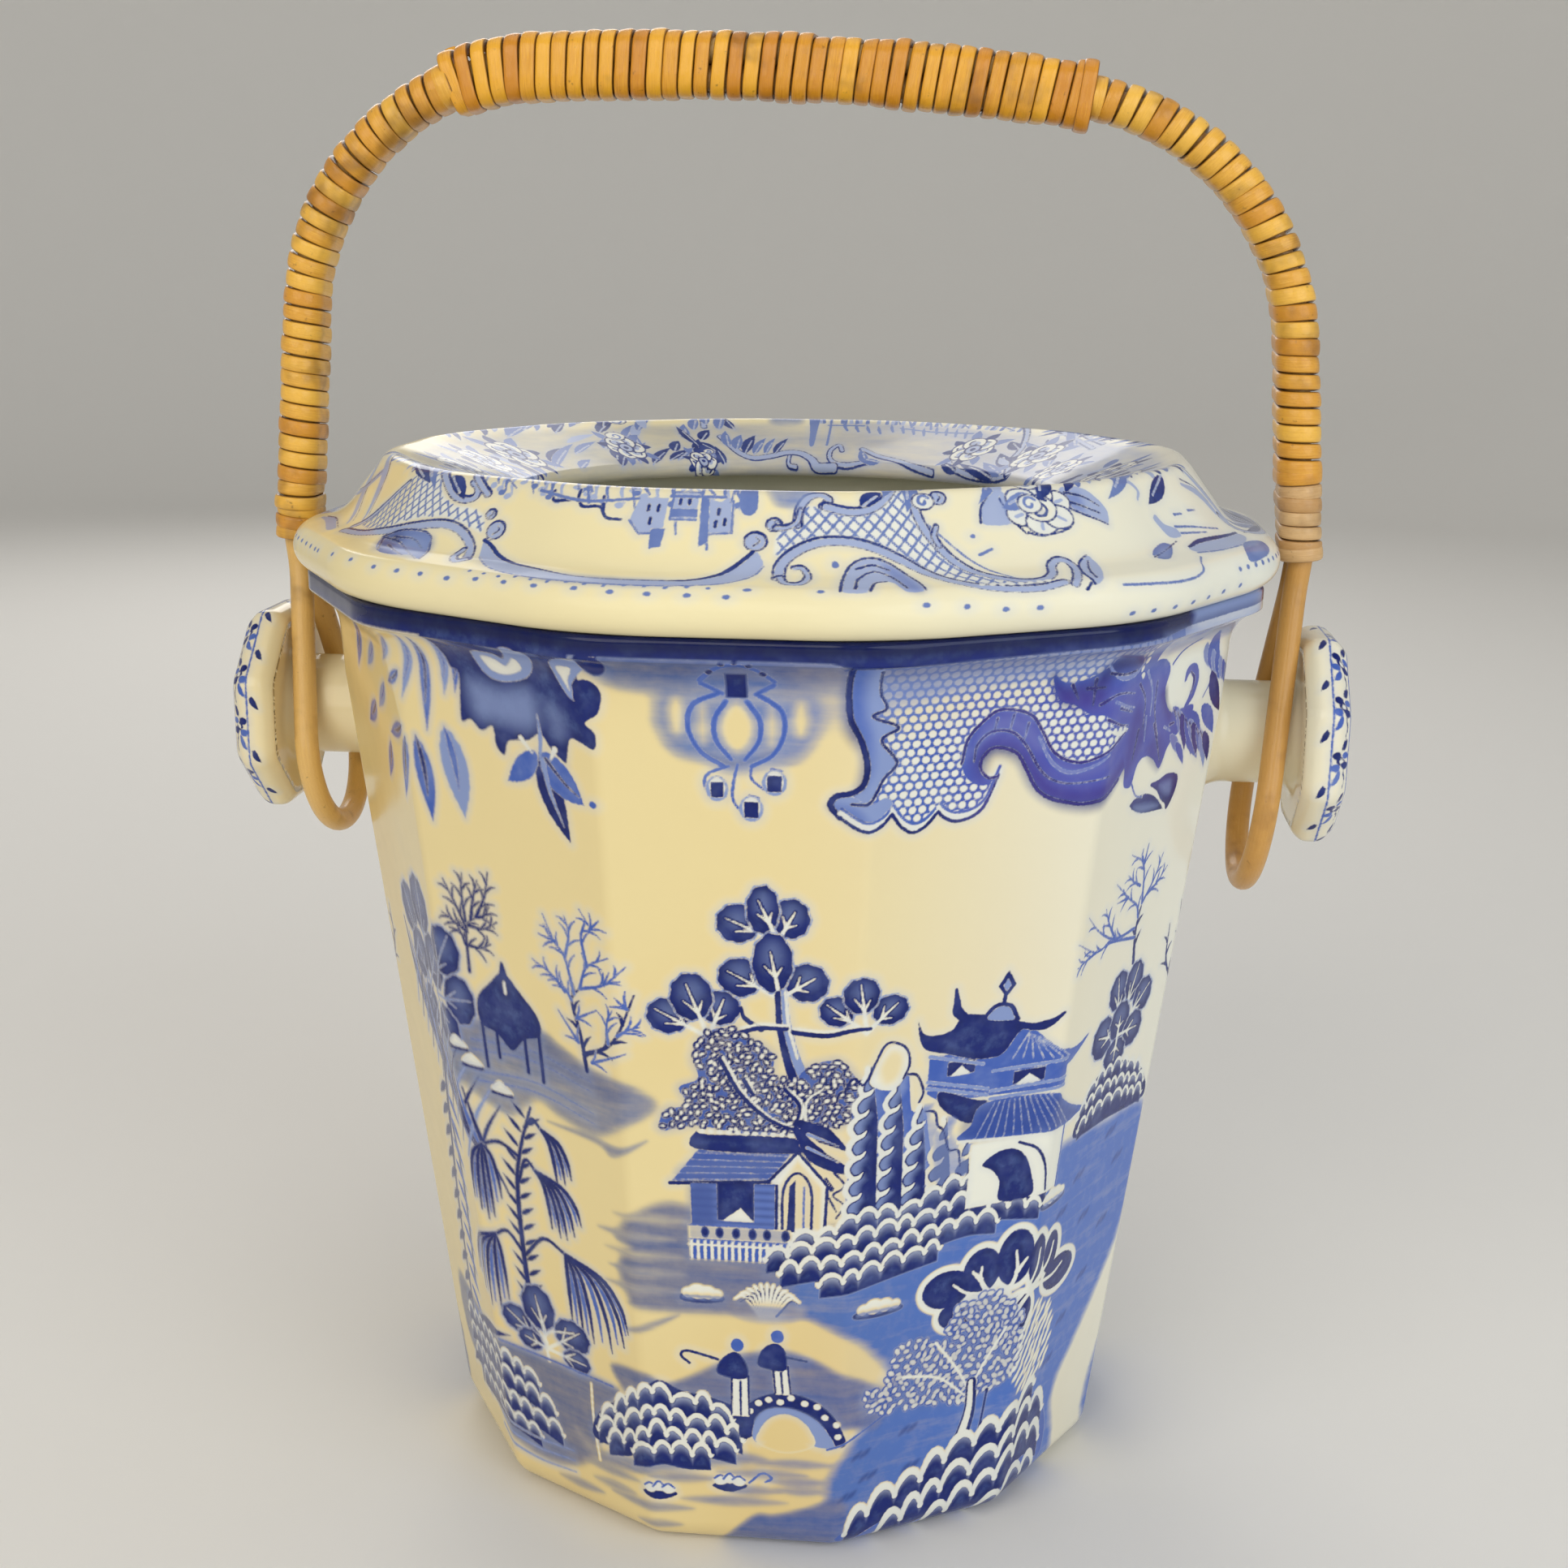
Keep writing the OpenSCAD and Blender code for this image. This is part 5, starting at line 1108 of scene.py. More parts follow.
def paint_slope(s):
    """Scrolls, lattice panels, a town by the water and roses on the slope outside the crest."""
    # Left
    lattice(s, [(-119, 18), (-109, 30), (-103, 35), (-99, 40), (-92, 39.5), (-84, 33), (-78, 30),
        (-71, 29.5), (-66, 27.5), (-64.5, 23), (-70, 24.5), (-78, 26), (-88, 24.5), (-98, 21),
        (-108, 18)], 3.2, 0.62, MID)
    s.soft([(-119, 18), (-109, 30), (-103, 35), (-98, 34), (-97, 24), (-106, 18)], 0.15, 3.0)
    for path in ([(-122, 50), (-110, 47), (-99, 43.5), (-92, 40.5)],
            [(-122, 46), (-109, 43.4), (-99, 40)], [(-122, 42), (-112, 40), (-107, 37.6)],
            [(-121, 16), (-113, 24), (-108, 30), (-104, 34)]):
        scroll(s, path, 1.2)
    scroll(s, [(-100, 43.6), (-92, 41), (-86, 37), (-82, 34.3), (-78, 32.3), (-74, 31.8), (-71.5, 33),
        (-72.4, 35.6), (-74.8, 37)], 1.7, line_width=0.7)
    scroll(s, [(-121, 13.5), (-112, 15), (-104, 17.5), (-96, 19.8), (-88, 22.2), (-80, 24), (-74, 24),
        (-69, 22), (-65, 18.4), (-62.4, 13.4)], 2.2)
    scroll(s, [(-62.6, 13.2), (-64.2, 11.6), (-66.6, 14.2), (-66.2, 17.4)], 1.3)
    s.area([(-97, 17), (-92, 20.3), (-84, 21.2), (-79, 20.4), (-77.6, 18), (-75, 14), (-73.5, 10),
        (-78, 11.6), (-84, 10.2), (-91, 11.5)], MID)
    s.soft([(-86, 19), (-78, 19), (-75, 11), (-84, 12)], 0.9, 3.0)
    s.soft([(-97, 17), (-92, 20), (-88, 17), (-91, 11.5)], 0.5, 2.0, dark=True)
    strokes(s, 0.8, DARK, [(-97, 17), (-92, 20.3), (-84, 21.4), (-79, 20.2), (-77.4, 17.6)],
        [(-96, 17), (-88, 16.6), (-80, 13), (-74.6, 10)], [(-92, 18), (-84, 18.4), (-78, 15.6)],
        [(-96, 16.6), (-90, 11.4)], [(-90, 14.6), (-84, 12.4), (-80, 11)],
        [(-77.4, 18), (-75, 14.4), (-73.4, 10)], ends=0.5)
    knob(s, -64, 28.4, 1.2)
    knob(s, -60.4, 24.2, 2.3)
    # Swag under the middle
    high = [(-62.4, 21), (-59.5, 19.6), (-55, 16.4), (-49, 14), (-42, 12.8), (-35, 11.2), (-28, 10.4),
        (-15, 10.4), (-8, 11), (-3, 14), (0, 17.4), (4.2, 22.6)]
    low = [(6.4, 18), (4, 13.6), (0, 10.2), (-5, 8.4), (-14, 7.6), (-30, 7.6), (-42, 8), (-50, 9),
        (-55, 11), (-60, 15)]
    s.area(high + low, LIGHT)
    s.soft([(-40, 10.8), (-14, 10.2), (-14, 7.6), (-40, 8)], 0.8, 3.0)
    s.stroke(high, [1.0, 1.1, 1.2, 1.0, 0.8, 0.6, 0.5, 0.6, 0.9, 1.2, 1.2, 1.0], DARK)
    s.stroke(low, 0.5, MID)
    knob(s, 4.4, 25.2, 2.2)
    knob(s, 8.4, 29.8, 1.5)
    # Old town on the shore
    for k in range(30):
        u, drop = -76 + 2.6 * k + (k * k) % 5 * 0.5, 2.0 + (k * 7) % 6 * 0.9
        s.stroke([(u, 44), (u + 0.8, 42 - drop * 0.6), (u + 1.7 + (k % 3) * 0.4, 41 - drop)],
            [1.5, 1.0, 0.5], (MID, LIGHT)[k % 2])
        s.oval(u + 1.2, 40.4 - drop, 1.1, 0.9, (LIGHT, MID, LIGHT)[k % 3])
    strokes(s, 0.7, MID, [(-74, 44), (-66, 40), (-60, 36.4)], [(-60, 44), (-56, 38.6), (-54, 35.4)],
        [(-56, 44), (-50, 39), (-47.4, 34.4)], [(-45, 44), (-41, 38), (-39.6, 35)],
        [(-29, 44), (-26, 38), (-23.4, 30)], [(-1, 44), (-1.4, 38), (-2.4, 33)], ends=0.7)
    strokes(s, 1.0, DARK, [(-47.6, 36.6), (-46.8, 34), (-43, 34.4), (-40, 34.8), (-38, 33),
        (-33.4, 33.2), (-31, 30.4), (-27, 30)], [(-40, 37.4), (-40, 34.6)], [(-33, 36), (-32, 31.6)],
        ends=0.8)
    for wall in ([(-25, 30), (-23.6, 36.4), (-16.6, 36.4), (-16.6, 27), (-22, 26.4)],
            [(-15.4, 38.4), (-9.4, 38.4), (-9.4, 30.6), (-15.4, 30.6)],
            [(-7.8, 36.2), (-1.2, 35.4), (-1, 27.2), (-6, 26.8)]):
        s.area(wall, LIGHT, smooth=False)
    s.area([(-8.8, 37), (-6.8, 36.4), (-6, 24.6), (-8, 23.2)], MID, smooth=False)
    s.area([(-15.6, 33.6), (-9.2, 33.6), (-9.2, 31.4), (-15.6, 31.4)], MID, smooth=False)
    s.area([(-19.4, 28), (-16, 28), (-16.4, 23), (-19, 22.6)], MID, smooth=False)
    for path in ([(-25, 30), (-22, 26.4), (-16.6, 27)], [(-15.4, 38.4), (-9.4, 38.4)],
            [(-15.4, 38.4), (-15.4, 30.6)], [(-15.4, 30.6), (-9.4, 30.6)], [(-14, 30), (-13.4, 26.6)],
            [(-6, 26.8), (-1, 27.2)], [(-1.2, 36), (-1, 27.2)], [(-18.6, 27), (-18.6, 22.6)],
            [(-6.6, 26), (-6, 22.6)]):
        s.stroke(path, 0.6, MID, smooth=False)
    for u, t in ((-21, 33.6), (-18.6, 33.6), (-20, 30), (-13.6, 35.6), (-11.4, 35.6), (-4.4, 33),
            (-2.8, 30.2), (-4.8, 29.6)):
        s.stroke([(u, t - 0.7), (u, t + 0.7)], 0.9, DARK, smooth=False)
    # Right panel
    lattice(s, [(9, 21), (9.4, 28), (13.4, 30), (15, 35), (21, 34.2), (27, 33), (33, 35), (37, 40),
        (42, 39.4), (41.6, 33), (43.6, 27.4), (47, 21.4), (51.4, 15), (55, 10.6), (62, 7.4), (55, 6.6),
        (49.6, 8.6), (44.6, 12.6), (40, 17.4), (35, 22), (29.4, 25), (23, 26), (16, 25)], 3.2, 0.62,
        MID)
    scroll(s, [(13.6, 30), (14.2, 34.4), (16.4, 37.6), (19.2, 38.4), (21.2, 36.6), (19.4, 35)], 1.5)
    scroll(s, [(8.8, 29), (11, 29.2), (13.4, 30.6), (14.4, 34)], 0.9)
    scroll(s, [(20.4, 35), (26, 33.6), (31, 34.4), (34.8, 37.2), (37.2, 41), (38, 48)], 1.7)
    scroll(s, [(43.4, 48), (42, 40), (41.6, 34), (43.2, 28), (46.2, 22.6), (50.2, 17), (54.2, 12.6),
        (58.2, 9.6), (62.4, 8.4), (66, 9.2), (68.8, 12), (70.6, 15.8), (73, 17.8), (75.2, 17),
        (75.4, 14), (73.2, 9.4), (71, 6)], 1.7)
    scroll(s, [(45.8, 24), (45, 26.6), (46, 29)], 1.0)
    scroll(s, [(9.6, 13), (10, 18.6), (13, 22.6), (18, 25.2), (24, 25.6), (30, 24), (36, 20.4),
        (41, 15.6), (45.2, 11), (50, 7.6), (56, 6), (63, 5.6), (69, 7)], 2.0)
    scroll(s, [(9.8, 14), (11, 10.8), (14, 10.8), (15.6, 14.4), (14.6, 17.8), (12.8, 17.8)], 1.1)
    for k in range(8):
        s.oval(51 + 2.1 * k, 7.9 - 0.5 * math.sin(k * math.pi / 7), 0.75, 0.65, PAPER)
    s.area([(21.6, 7), (22.6, 13), (24.6, 18.4), (28, 20.8), (32, 20.2), (35.6, 16.6), (38, 11),
        (38.6, 7), (34.6, 6.6), (32.4, 11.4), (29.4, 11.4), (27.4, 6.8)], LIGHT)
    s.soft([(32, 19), (36, 15.6), (38, 7), (35, 7), (33, 13)], 0.5, 1.6, dark=True)
    strokes(s, 0.75, DARK, [(21.6, 7), (22.6, 13), (24.6, 18.4), (28, 20.8), (32, 20.2), (35.6, 16.6),
        (38, 11), (38.6, 7)], [(24.6, 8), (26, 13.6), (29.6, 16.6), (33, 14), (35, 8)],
        [(27.4, 7), (29, 11), (31.4, 11.8)], [(26, 17.6), (29.6, 18.8), (33, 17)], ends=0.7)
    s.oval(21.6, 19, 0.8, 1.1, MID)
    knob(s, 48.2, 37, 1.7)
    # Roses
    s.area([(57.6, 29.4), (58.8, 33.6), (62, 37.4), (65.6, 38), (67.4, 33), (68.4, 30), (63, 28.4)],
        LIGHT)
    s.soft([(59, 30), (61, 35), (66, 36), (66, 30)], 0.9, 2.4)
    s.area([(81.4, 33), (82.4, 37.6), (87, 38.6), (92, 36), (95, 31), (93, 26.6), (90.4, 28.4),
        (86, 30.6)], LIGHT)
    s.soft([(82, 36), (88, 36), (87, 31), (82, 33)], 0.5, 2.0, dark=True)
    strokes(s, 0.75, DARK, [(57.6, 29.4), (58.8, 33.6), (62, 37.4)], [(64.8, 40), (64.4, 35.6),
        (66, 31.6), (68.6, 29.6), (72, 28.4), (77, 28.8), (81, 30.6)],
        [(68.6, 32), (72.4, 30.4), (78, 31), (81, 32.6)], [(70.4, 34.4), (70.8, 37), (73, 38)],
        [(69, 26), (72, 25), (77, 25.6), (81, 26.8)], [(67, 28), (68.4, 25.6)],
        [(82.4, 34.4), (87, 32.6), (92, 30)], [(83.6, 36.6), (89, 35), (93, 32)],
        [(81.6, 33), (86, 30.4), (90.4, 28.2), (93, 26.6)], [(69.6, 30), (70.4, 26)], ends=0.7)
    rose(s, 74.4, 32.6, 7.0)
    s.stroke([(55, 20.6), (58.4, 22)], 0.8, MID, smooth=False)
    s.oval(54.6, 25.8, 0.7, 0.6, MID)
    s.area([(75.4, 5.6), (75.8, 11), (78, 16), (81.4, 18.6), (82.2, 15), (80, 10), (77.6, 6.6)], LIGHT)
    strokes(s, 0.8, DARK, [(75.4, 5.6), (75.6, 11), (77.8, 16), (81.4, 18.6)],
        [(77, 8), (78, 12), (80.6, 16.6)], [(73, 4), (75, 6.4)], ends=0.6)
    # Towards the right lug
    s.area([(101, 14.6), (104, 17.4), (110, 18.8), (113, 17.4), (109, 14.4), (104, 12.4)], MID)
    s.soft([(103, 15), (107, 17.4), (111, 17), (105, 13.4)], 0.7, 1.6)
    s.stroke([(101, 14.6), (109, 16.4), (117, 18.4)], 0.7, DARK, ends=0.5)
    s.area([(113, 26), (115, 27), (116.6, 24), (121, 22), (121, 19.6), (116, 19.8), (114, 23)], LIGHT)
    s.stroke([(108, 37.6), (111, 37.4), (113, 34.6), (110.4, 32)], [0.8, 1.4, 1.2, 0.6], LIGHT)
    s.area([(118, 14.6), (126, 16.6), (146, 16), (150, 13), (140, 10.6), (122, 10.6)], LIGHT)
    s.stroke([(119, 15.4), (126, 16.6), (136, 16.4), (150, 15.4)], [0.8, 1.6, 1.5, 0.8], DARK)
    strokes(s, 0.8, MID, [(121, 22.6), (130, 21.4), (142, 19)], [(122, 20.4), (134, 19)],
        [(118, 12), (128, 10.6), (140, 10.4)], [(124, 26), (128, 25.8)], [(132, 26.4), (136, 26)],
        [(82, 4.6), (100, 3.4), (109, 4.4), (112, 7.4), (116, 10)], ends=0.7)
    s.area([(132, 4), (135, 8), (142, 11), (150, 9), (147, 5), (138, 3.6)], MID)
    s.soft([(136, 6), (142, 9.4), (147, 8), (141, 5)], 0.8, 1.8)
    # Sprays by the lugs
    for u0 in (-180, 180):
        for k in range(11):
            a = math.radians(14 + 152 * k / 10)
            s.leaf((u0, 8), (u0 + 27 * math.cos(a), 8 + 26 * math.sin(a)), 3.4,
                (MID, DARK, LIGHT)[k % 3], bend=1.6)
        scroll(s, [(u0 - 28, 22), (u0 - 19, 11), (u0, 6.6), (u0 + 19, 11), (u0 + 28, 22)], 1.8)
    for path in ([(-153, 36), (-143, 31), (-134, 23), (-127, 16)], [(-148, 24), (-140, 27), (-132, 34)],
            [(-140, 40), (-130, 34), (-124, 27), (-120, 19)], [(-150, 12), (-140, 14), (-128, 11.6)],
            [(146, 38), (152, 30), (156, 20)], [(138, 34), (146, 30), (150, 24)]):
        s.stroke(path, [1.0, 3.2, 2.8, 0.8][:len(path)], LIGHT)
        s.stroke([(u + 1.2, t + 1.6) for u, t in path], 0.6, DARK, ends=0.5)
    # Streaks over the crest
    for u0, u1 in ((-150, -90), (84, 150)):
        for k in range(14):
            u = u0 + (u1 - u0) * k / 13
            s.leaf((u, 36.6 + (k * 5) % 4), (u + 9 - (k * 3) % 5, 42.6 + (k * 7) % 5), 2.6,
                (DARK, MID, LIGHT)[k % 3], bend=1.4)
    # Dots along the lip
    for u, t in ((-116, 3.4), (-104, 4.6), (-93, 5), (-83, 4.4), (-75.5, 4.4), (-68.8, 4.4),
            (-61.4, 4.2), (-54, 5), (-46.6, 5.2), (-39, 5.2), (-30, 5.4), (-22.4, 5), (-15, 4.8),
            (-7.4, 4.6), (0, 4.4), (3.8, 6.8), (17.8, 6.8), (38, 2.7), (46.4, 1.8), (54.6, 0.6),
            (62, 0.4), (84, -3), (90, -3), (97, -3), (104, -2.8), (111, -2.6), (118, -2.2),
            (126, -1.8)):
        s.oval(u, t, 0.8, 0.65, MID)
    for k in range(14):
        s.oval(-180 + 4.7 * k, 3.4, 0.8, 0.65, MID)
        s.oval(126 + 4.0 * k, 2.6, 0.8, 0.7, MID)
        s.oval(-57 + 4.1 * k, 7.4 - 0.3 * (k % 3), 0.5, 0.5, MID)


def paint_hollow(s):
    """The slope inside the crest: a garland round the hole and a view with a pillar."""
    middle = 360

    def there(*path):
        return [(u - middle, t) for u, t in path]

    s.soft(there((298, 53), (320, 54), (346, 52), (357, 50), (357, 44), (330, 44), (300, 46)), 0.55, 3.0)
    s.soft(there((306, 64), (330, 60), (336, 56), (312, 58)), 0.35, 3.0)
    for k in range(12):
        u, t = 301 + 4.4 * k, 52 - 0.6 * (k % 4)
        s.stroke(there((u, t), (u + 1.4, t - 3.0), (u + 2.4, t - 6)), [0.9, 1.3, 0.4], MID)
    strokes(s, 1.0, MID, there((300, 48), (316, 48.8), (330, 47)),
        there((308, 36.4), (322, 34.6), (336, 36)), there((344, 46), (357, 46)),
        there((344, 37), (357, 37)), there((318, 47), (321, 40), (323.4, 34)),
        there((326, 46), (329, 40)), there((351, 45), (351.4, 37.4)),
        there((355.6, 62), (356, 48), (356.6, 37)), ends=0.8)
    s.area(there((360.4, 34), (364.4, 34), (363.4, 50), (362.8, 62), (361, 62), (360.6, 50)), MID)
    s.soft(there((366, 42), (369, 48.6), (374, 49), (378, 44), (376, 36), (369, 35)), 0.75, 2.2)
    s.soft([(-200, 44), (0, 45), (200, 44), (200, 86), (0, 86), (-200, 86)], 0.42, 5.0, smooth=False)
    # Sprays at the ends of the hole
    for side in (-1, 1):
        scroll(s, [(side * u, t) for u, t in ((202, 52), (190, 60), (178, 70), (166, 76), (154, 73),
            (150, 66))], 2.0)
        for k in range(13):
            u, t = 146 + 4.4 * k, 54 + (k * 11) % 19
            s.leaf((side * u, t), (side * (u + 8 - (k * 5) % 13), t + 6 + (k * 7) % 8), 4.4,
                (MID, DARK, LIGHT)[k % 3], bend=1.4)
        for u, t, r in ((166, 60, 8.0), (190, 72, 6.5)):
            posy(s, side * u, t, r)
    # Garland
    for path, width in ((there((254, 75), (262, 76.6), (275, 77), (285, 75.6), (292, 73), (297, 69)),
            1.8), (there((255, 74.4), (260, 71), (267, 65.4), (270, 59), (276, 50), (284, 40),
            (292, 34)), 1.6), (there((300, 77), (311, 75), (321, 72), (331, 69.4), (340, 64.4)), 2.0),
            (there((334, 74), (344, 76), (351.4, 74), (353.4, 67), (350.6, 62), (348.2, 66.4)), 1.6),
            (there((350, 77), (357.6, 77), (361, 73), (366, 69), (372, 68.4), (380, 71.4), (388, 72.6),
            (393, 69), (396, 63), (398.4, 56)), 3.2), (there((368, 77), (371.4, 76), (371, 71)), 1.2)):
        scroll(s, path, width, line_width=0.8)
    for foot, tip, w, tone in (((258, 75.4), (274, 70), 3.2, MID), ((262, 77), (284, 72), 2.6, DARK),
            ((262, 70), (274, 63), 3.6, DARK), ((264, 68), (272, 65), 2.0, LIGHT),
            ((248, 62), (263, 51), 3.6, DARK), ((252, 60), (270, 53), 2.6, MID),
            ((240, 66), (256, 55), 3.0, MID), ((272, 57), (279, 53), 3.0, DARK),
            ((246, 52), (262, 42), 2.4, MID), ((254, 46), (268, 36), 2.4, MID),
            ((250, 40), (264, 36), 2.6, DARK), ((276, 38), (283, 33), 2.6, DARK),
            ((286, 76), (296, 72), 2.6, DARK), ((334, 75), (339, 67), 2.6, MID),
            ((328, 74), (336, 72), 2.4, MID), ((378, 70), (373, 60), 2.2, DARK),
            ((382, 70), (378, 60), 2.0, MID), ((387, 70), (382, 60), 2.4, MID),
            ((391, 69), (386, 58), 3.2, DARK), ((394, 66), (391, 57), 3.0, MID),
            ((397, 64), (396, 54), 2.6, MID), ((392, 50), (394, 42), 2.4, DARK),
            ((398, 50), (395, 40), 2.6, MID), ((389, 35), (393, 38), 2.4, DARK),
            ((402, 76), (402.6, 66), 3.4, DARK), ((407, 75), (405, 66), 2.4, MID),
            ((412, 70), (409, 60), 3.2, DARK), ((404, 66), (408, 61), 4.0, DARK),
            ((407, 58), (403, 52), 3.0, DARK), ((413, 58), (411, 48), 2.8, MID),
            ((410, 62), (413, 50), 2.2, DARK), ((408, 50), (405, 42), 2.6, MID),
            ((402, 46), (400, 36), 2.6, MID), ((424, 73), (415, 66), 2.6, MID),
            ((428, 73), (418, 67), 2.2, DARK), ((422, 66), (418, 60), 3.0, DARK),
            ((438, 75), (426, 66), 2.6, DARK), ((444, 74), (434, 62), 2.4, MID),
            ((437, 68), (433, 54), 2.8, MID), ((455, 75), (445, 66), 3.0, DARK),
            ((453, 70), (446, 62), 3.0, DARK), ((446, 66), (438, 58), 3.2, DARK),
            ((452, 62), (446, 56), 2.8, MID), ((440, 58), (430, 47), 3.0, MID),
            ((434, 56), (427, 45), 2.4, LIGHT), ((430, 50), (421, 38), 2.4, MID),
            ((426, 48), (424, 38), 2.2, LIGHT), ((446, 50), (437, 42), 3.0, DARK),
            ((441, 45), (436, 37), 3.2, DARK), ((432, 37), (426, 34), 2.6, MID),
            ((490, 68), (476, 61), 3.2, DARK), ((494, 72), (470, 60), 2.6, MID),
            ((480, 74), (470, 70), 2.4, MID), ((488, 48), (470, 40), 2.6, MID),
            ((476, 44), (462, 36), 2.6, MID), ((464, 48), (456, 42), 2.4, DARK),
            ((490, 38), (478, 32), 3.0, DARK), ((470, 64), (456, 58), 2.2, MID),
            ((466, 56), (452, 52), 2.0, LIGHT)):
        reach = 1.3 * np.subtract(tip, foot)
        s.leaf((foot[0] - middle, foot[1]), (foot[0] - middle + reach[0], foot[1] + reach[1]), w * 1.6,
            tone, bend=1.4)
        if tone != LIGHT:
            s.stroke([(foot[0] - middle, foot[1]),
                (foot[0] - middle + 0.7 * reach[0], foot[1] + 0.7 * reach[1])], 0.6, LIGHT,
                smooth=False)
    for u, t, r in ((258, 60, 8.5), (292, 60, 8.0), (442, 62, 7.5), (500, 60, 9.0), (232, 66, 7.0),
            (412, 74, 6.0)):
        posy(s, u - middle, t, r)
    for u, t, r in ((441, 53, 3.6), (434, 41, 3.2), (404, 36, 2.6), (432, 34, 3.0), (407, 67, 2.0)):
        s.oval(u - middle, t, r + 0.5, r * 0.8 + 0.5, DARK)
        s.oval(u - middle, t, r, r * 0.8, PAPER)
        curl(s, u - middle, t, r * 0.7, 30, 330, 0.8, MID)


def rose(s, u, t, r):
    """An open rose: pale petals with dark edges about a rolled heart."""
    for k in range(6):
        a = math.radians(60 * k + 20)
        spot = (u + 0.8 * r * math.cos(a), t + 0.6 * r * math.sin(a))
        s.oval(*spot, r * 0.56 + 0.55, r * 0.44 + 0.55, DARK)
        s.oval(*spot, r * 0.56, r * 0.44, PAPER)
        s.stroke([spot, (spot[0] + 0.3 * r * math.cos(a), spot[1] + 0.24 * r * math.sin(a))], 0.9,
            LIGHT, smooth=False)
    s.oval(u, t, r * 0.62 + 0.5, r * 0.5 + 0.5, DARK)
    s.oval(u, t, r * 0.62, r * 0.5, PAPER)
    curl(s, u, t, r * 0.46, 40, 520, 0.8, DARK)
    s.soft([(u - 0.5 * r, t), (u, t - 0.5 * r), (u + 0.5 * r, t)], 0.3, 1.2)


def posy(s, u, t, r):
    """A full flower with leaves round it, drawn tall since the slope lies flat."""
    for k in range(9):
        a = 2 * math.pi * k / 9 + 0.3
        out = np.array([math.cos(a), 1.15 * math.sin(a)])
        s.leaf((u, t) + out * r * 0.7, (u, t) + out * r * (1.5 + 0.3 * (k % 2)), r * 0.5,
            (DARK, MID)[k % 2], bend=1.0)
    for k in range(6):
        a = 2 * math.pi * k / 6
        spot = (u + 0.55 * r * math.cos(a), t + 0.62 * r * math.sin(a))
        s.oval(*spot, r * 0.48 + 0.7, r * 0.52 + 0.7, DARK)
        s.oval(*spot, r * 0.48, r * 0.52, PAPER)
        s.oval(spot[0] * 0.9 + u * 0.1, spot[1] * 0.9 + t * 0.1, r * 0.26, r * 0.30, LIGHT)
        curl(s, *spot, r * 0.3, math.degrees(a), 260, 0.7, DARK)
    s.oval(u, t, r * 0.34 + 0.6, r * 0.4 + 0.6, DARK)
    s.oval(u, t, r * 0.3, r * 0.36, LIGHT)
    s.oval(u, t, r * 0.14, r * 0.16, DARK)


def lug_print(u, z):
    """Sprays on the rim of a lug's head and a few touches on its face, measured from its middle."""
    s = Print(u, z)

    def place(angle, r):
        return (r * math.cos(math.radians(angle)), r * math.sin(math.radians(angle)))

    for k in range(8):
        a = 45 * k + 10
        s.leaf(place(a, 6), place(a + 20, 18), 3.6, (DARK, MID)[k % 2], bend=1.8)
        curl(s, *place(a - 6, 14), 2.6, a, 320, 0.8, MID)
    s.oval(0, 0, 4.6, 4.6, MID)
    s.oval(0, 0, 3.4, 3.4, LIGHT)
    s.oval(0.6, 0.6, 1.4, 1.4, DARK)
    for r, width, tone in ((24.4, 0.9, DARK), (26.6, 0.6, MID), (33.4, 0.7, MID)):
        s.stroke([place(a, r) for a in range(0, 361, 6)], width, tone)
    for k in range(12):
        a = 30 * k + (k * k) % 11
        for da, dr, size, tone in ((0, 0, 1.7, DARK), (3.4, 1.8, 1.5, MID), (-3.4, 1.6, 1.5, DARK),
                (3.2, -1.8, 1.4, DARK), (-3.0, -1.8, 1.3, MID)):
            s.oval(*place(a + da, 30 + dr), size, size * 0.8, tone, a)
        s.oval(*place(a, 30), 0.7, 0.7, PAPER)
        s.leaf(place(a + 5, 30.4), place(a + 13, 33), 1.9, MID, bend=0.8)
        s.leaf(place(a - 5, 29.4), place(a - 13, 27.4), 1.9, DARK, bend=0.8)
        s.stroke([place(a + 6, 29), place(a + 12, 28), place(a + 18, 29.4)], 0.7, DARK, ends=0.6)
        s.leaf(place(a + 12, 34.6), place(a + 20, 37), 1.8, DARK, bend=0.6)
    return s


def lattice(s, outline, spacing, width, tone):
    """A panel of white cells between slanting lines."""
    s.area(outline, PAPER)
    crosshatch(s, outline, spacing, width, tone)


def knob(s, u, t, r):
    """The rolled end of a scroll."""
    s.oval(u, t, r + 0.6, r + 0.6, DARK)
    s.oval(u - 0.1, t - 0.2, r, r, LIGHT)
    s.stroke([(u - 0.2 * r, t - 0.6 * r), (u + 0.4 * r, t), (u, t + 0.5 * r)], 0.5, DARK, ends=0.6)


# Pieces of glazed earthenware

FINE = 0.45
COARSE = 6.0
COLUMNS = SIDES * 148


def wall_a(z):
    return FOOT_A + LEAN * z


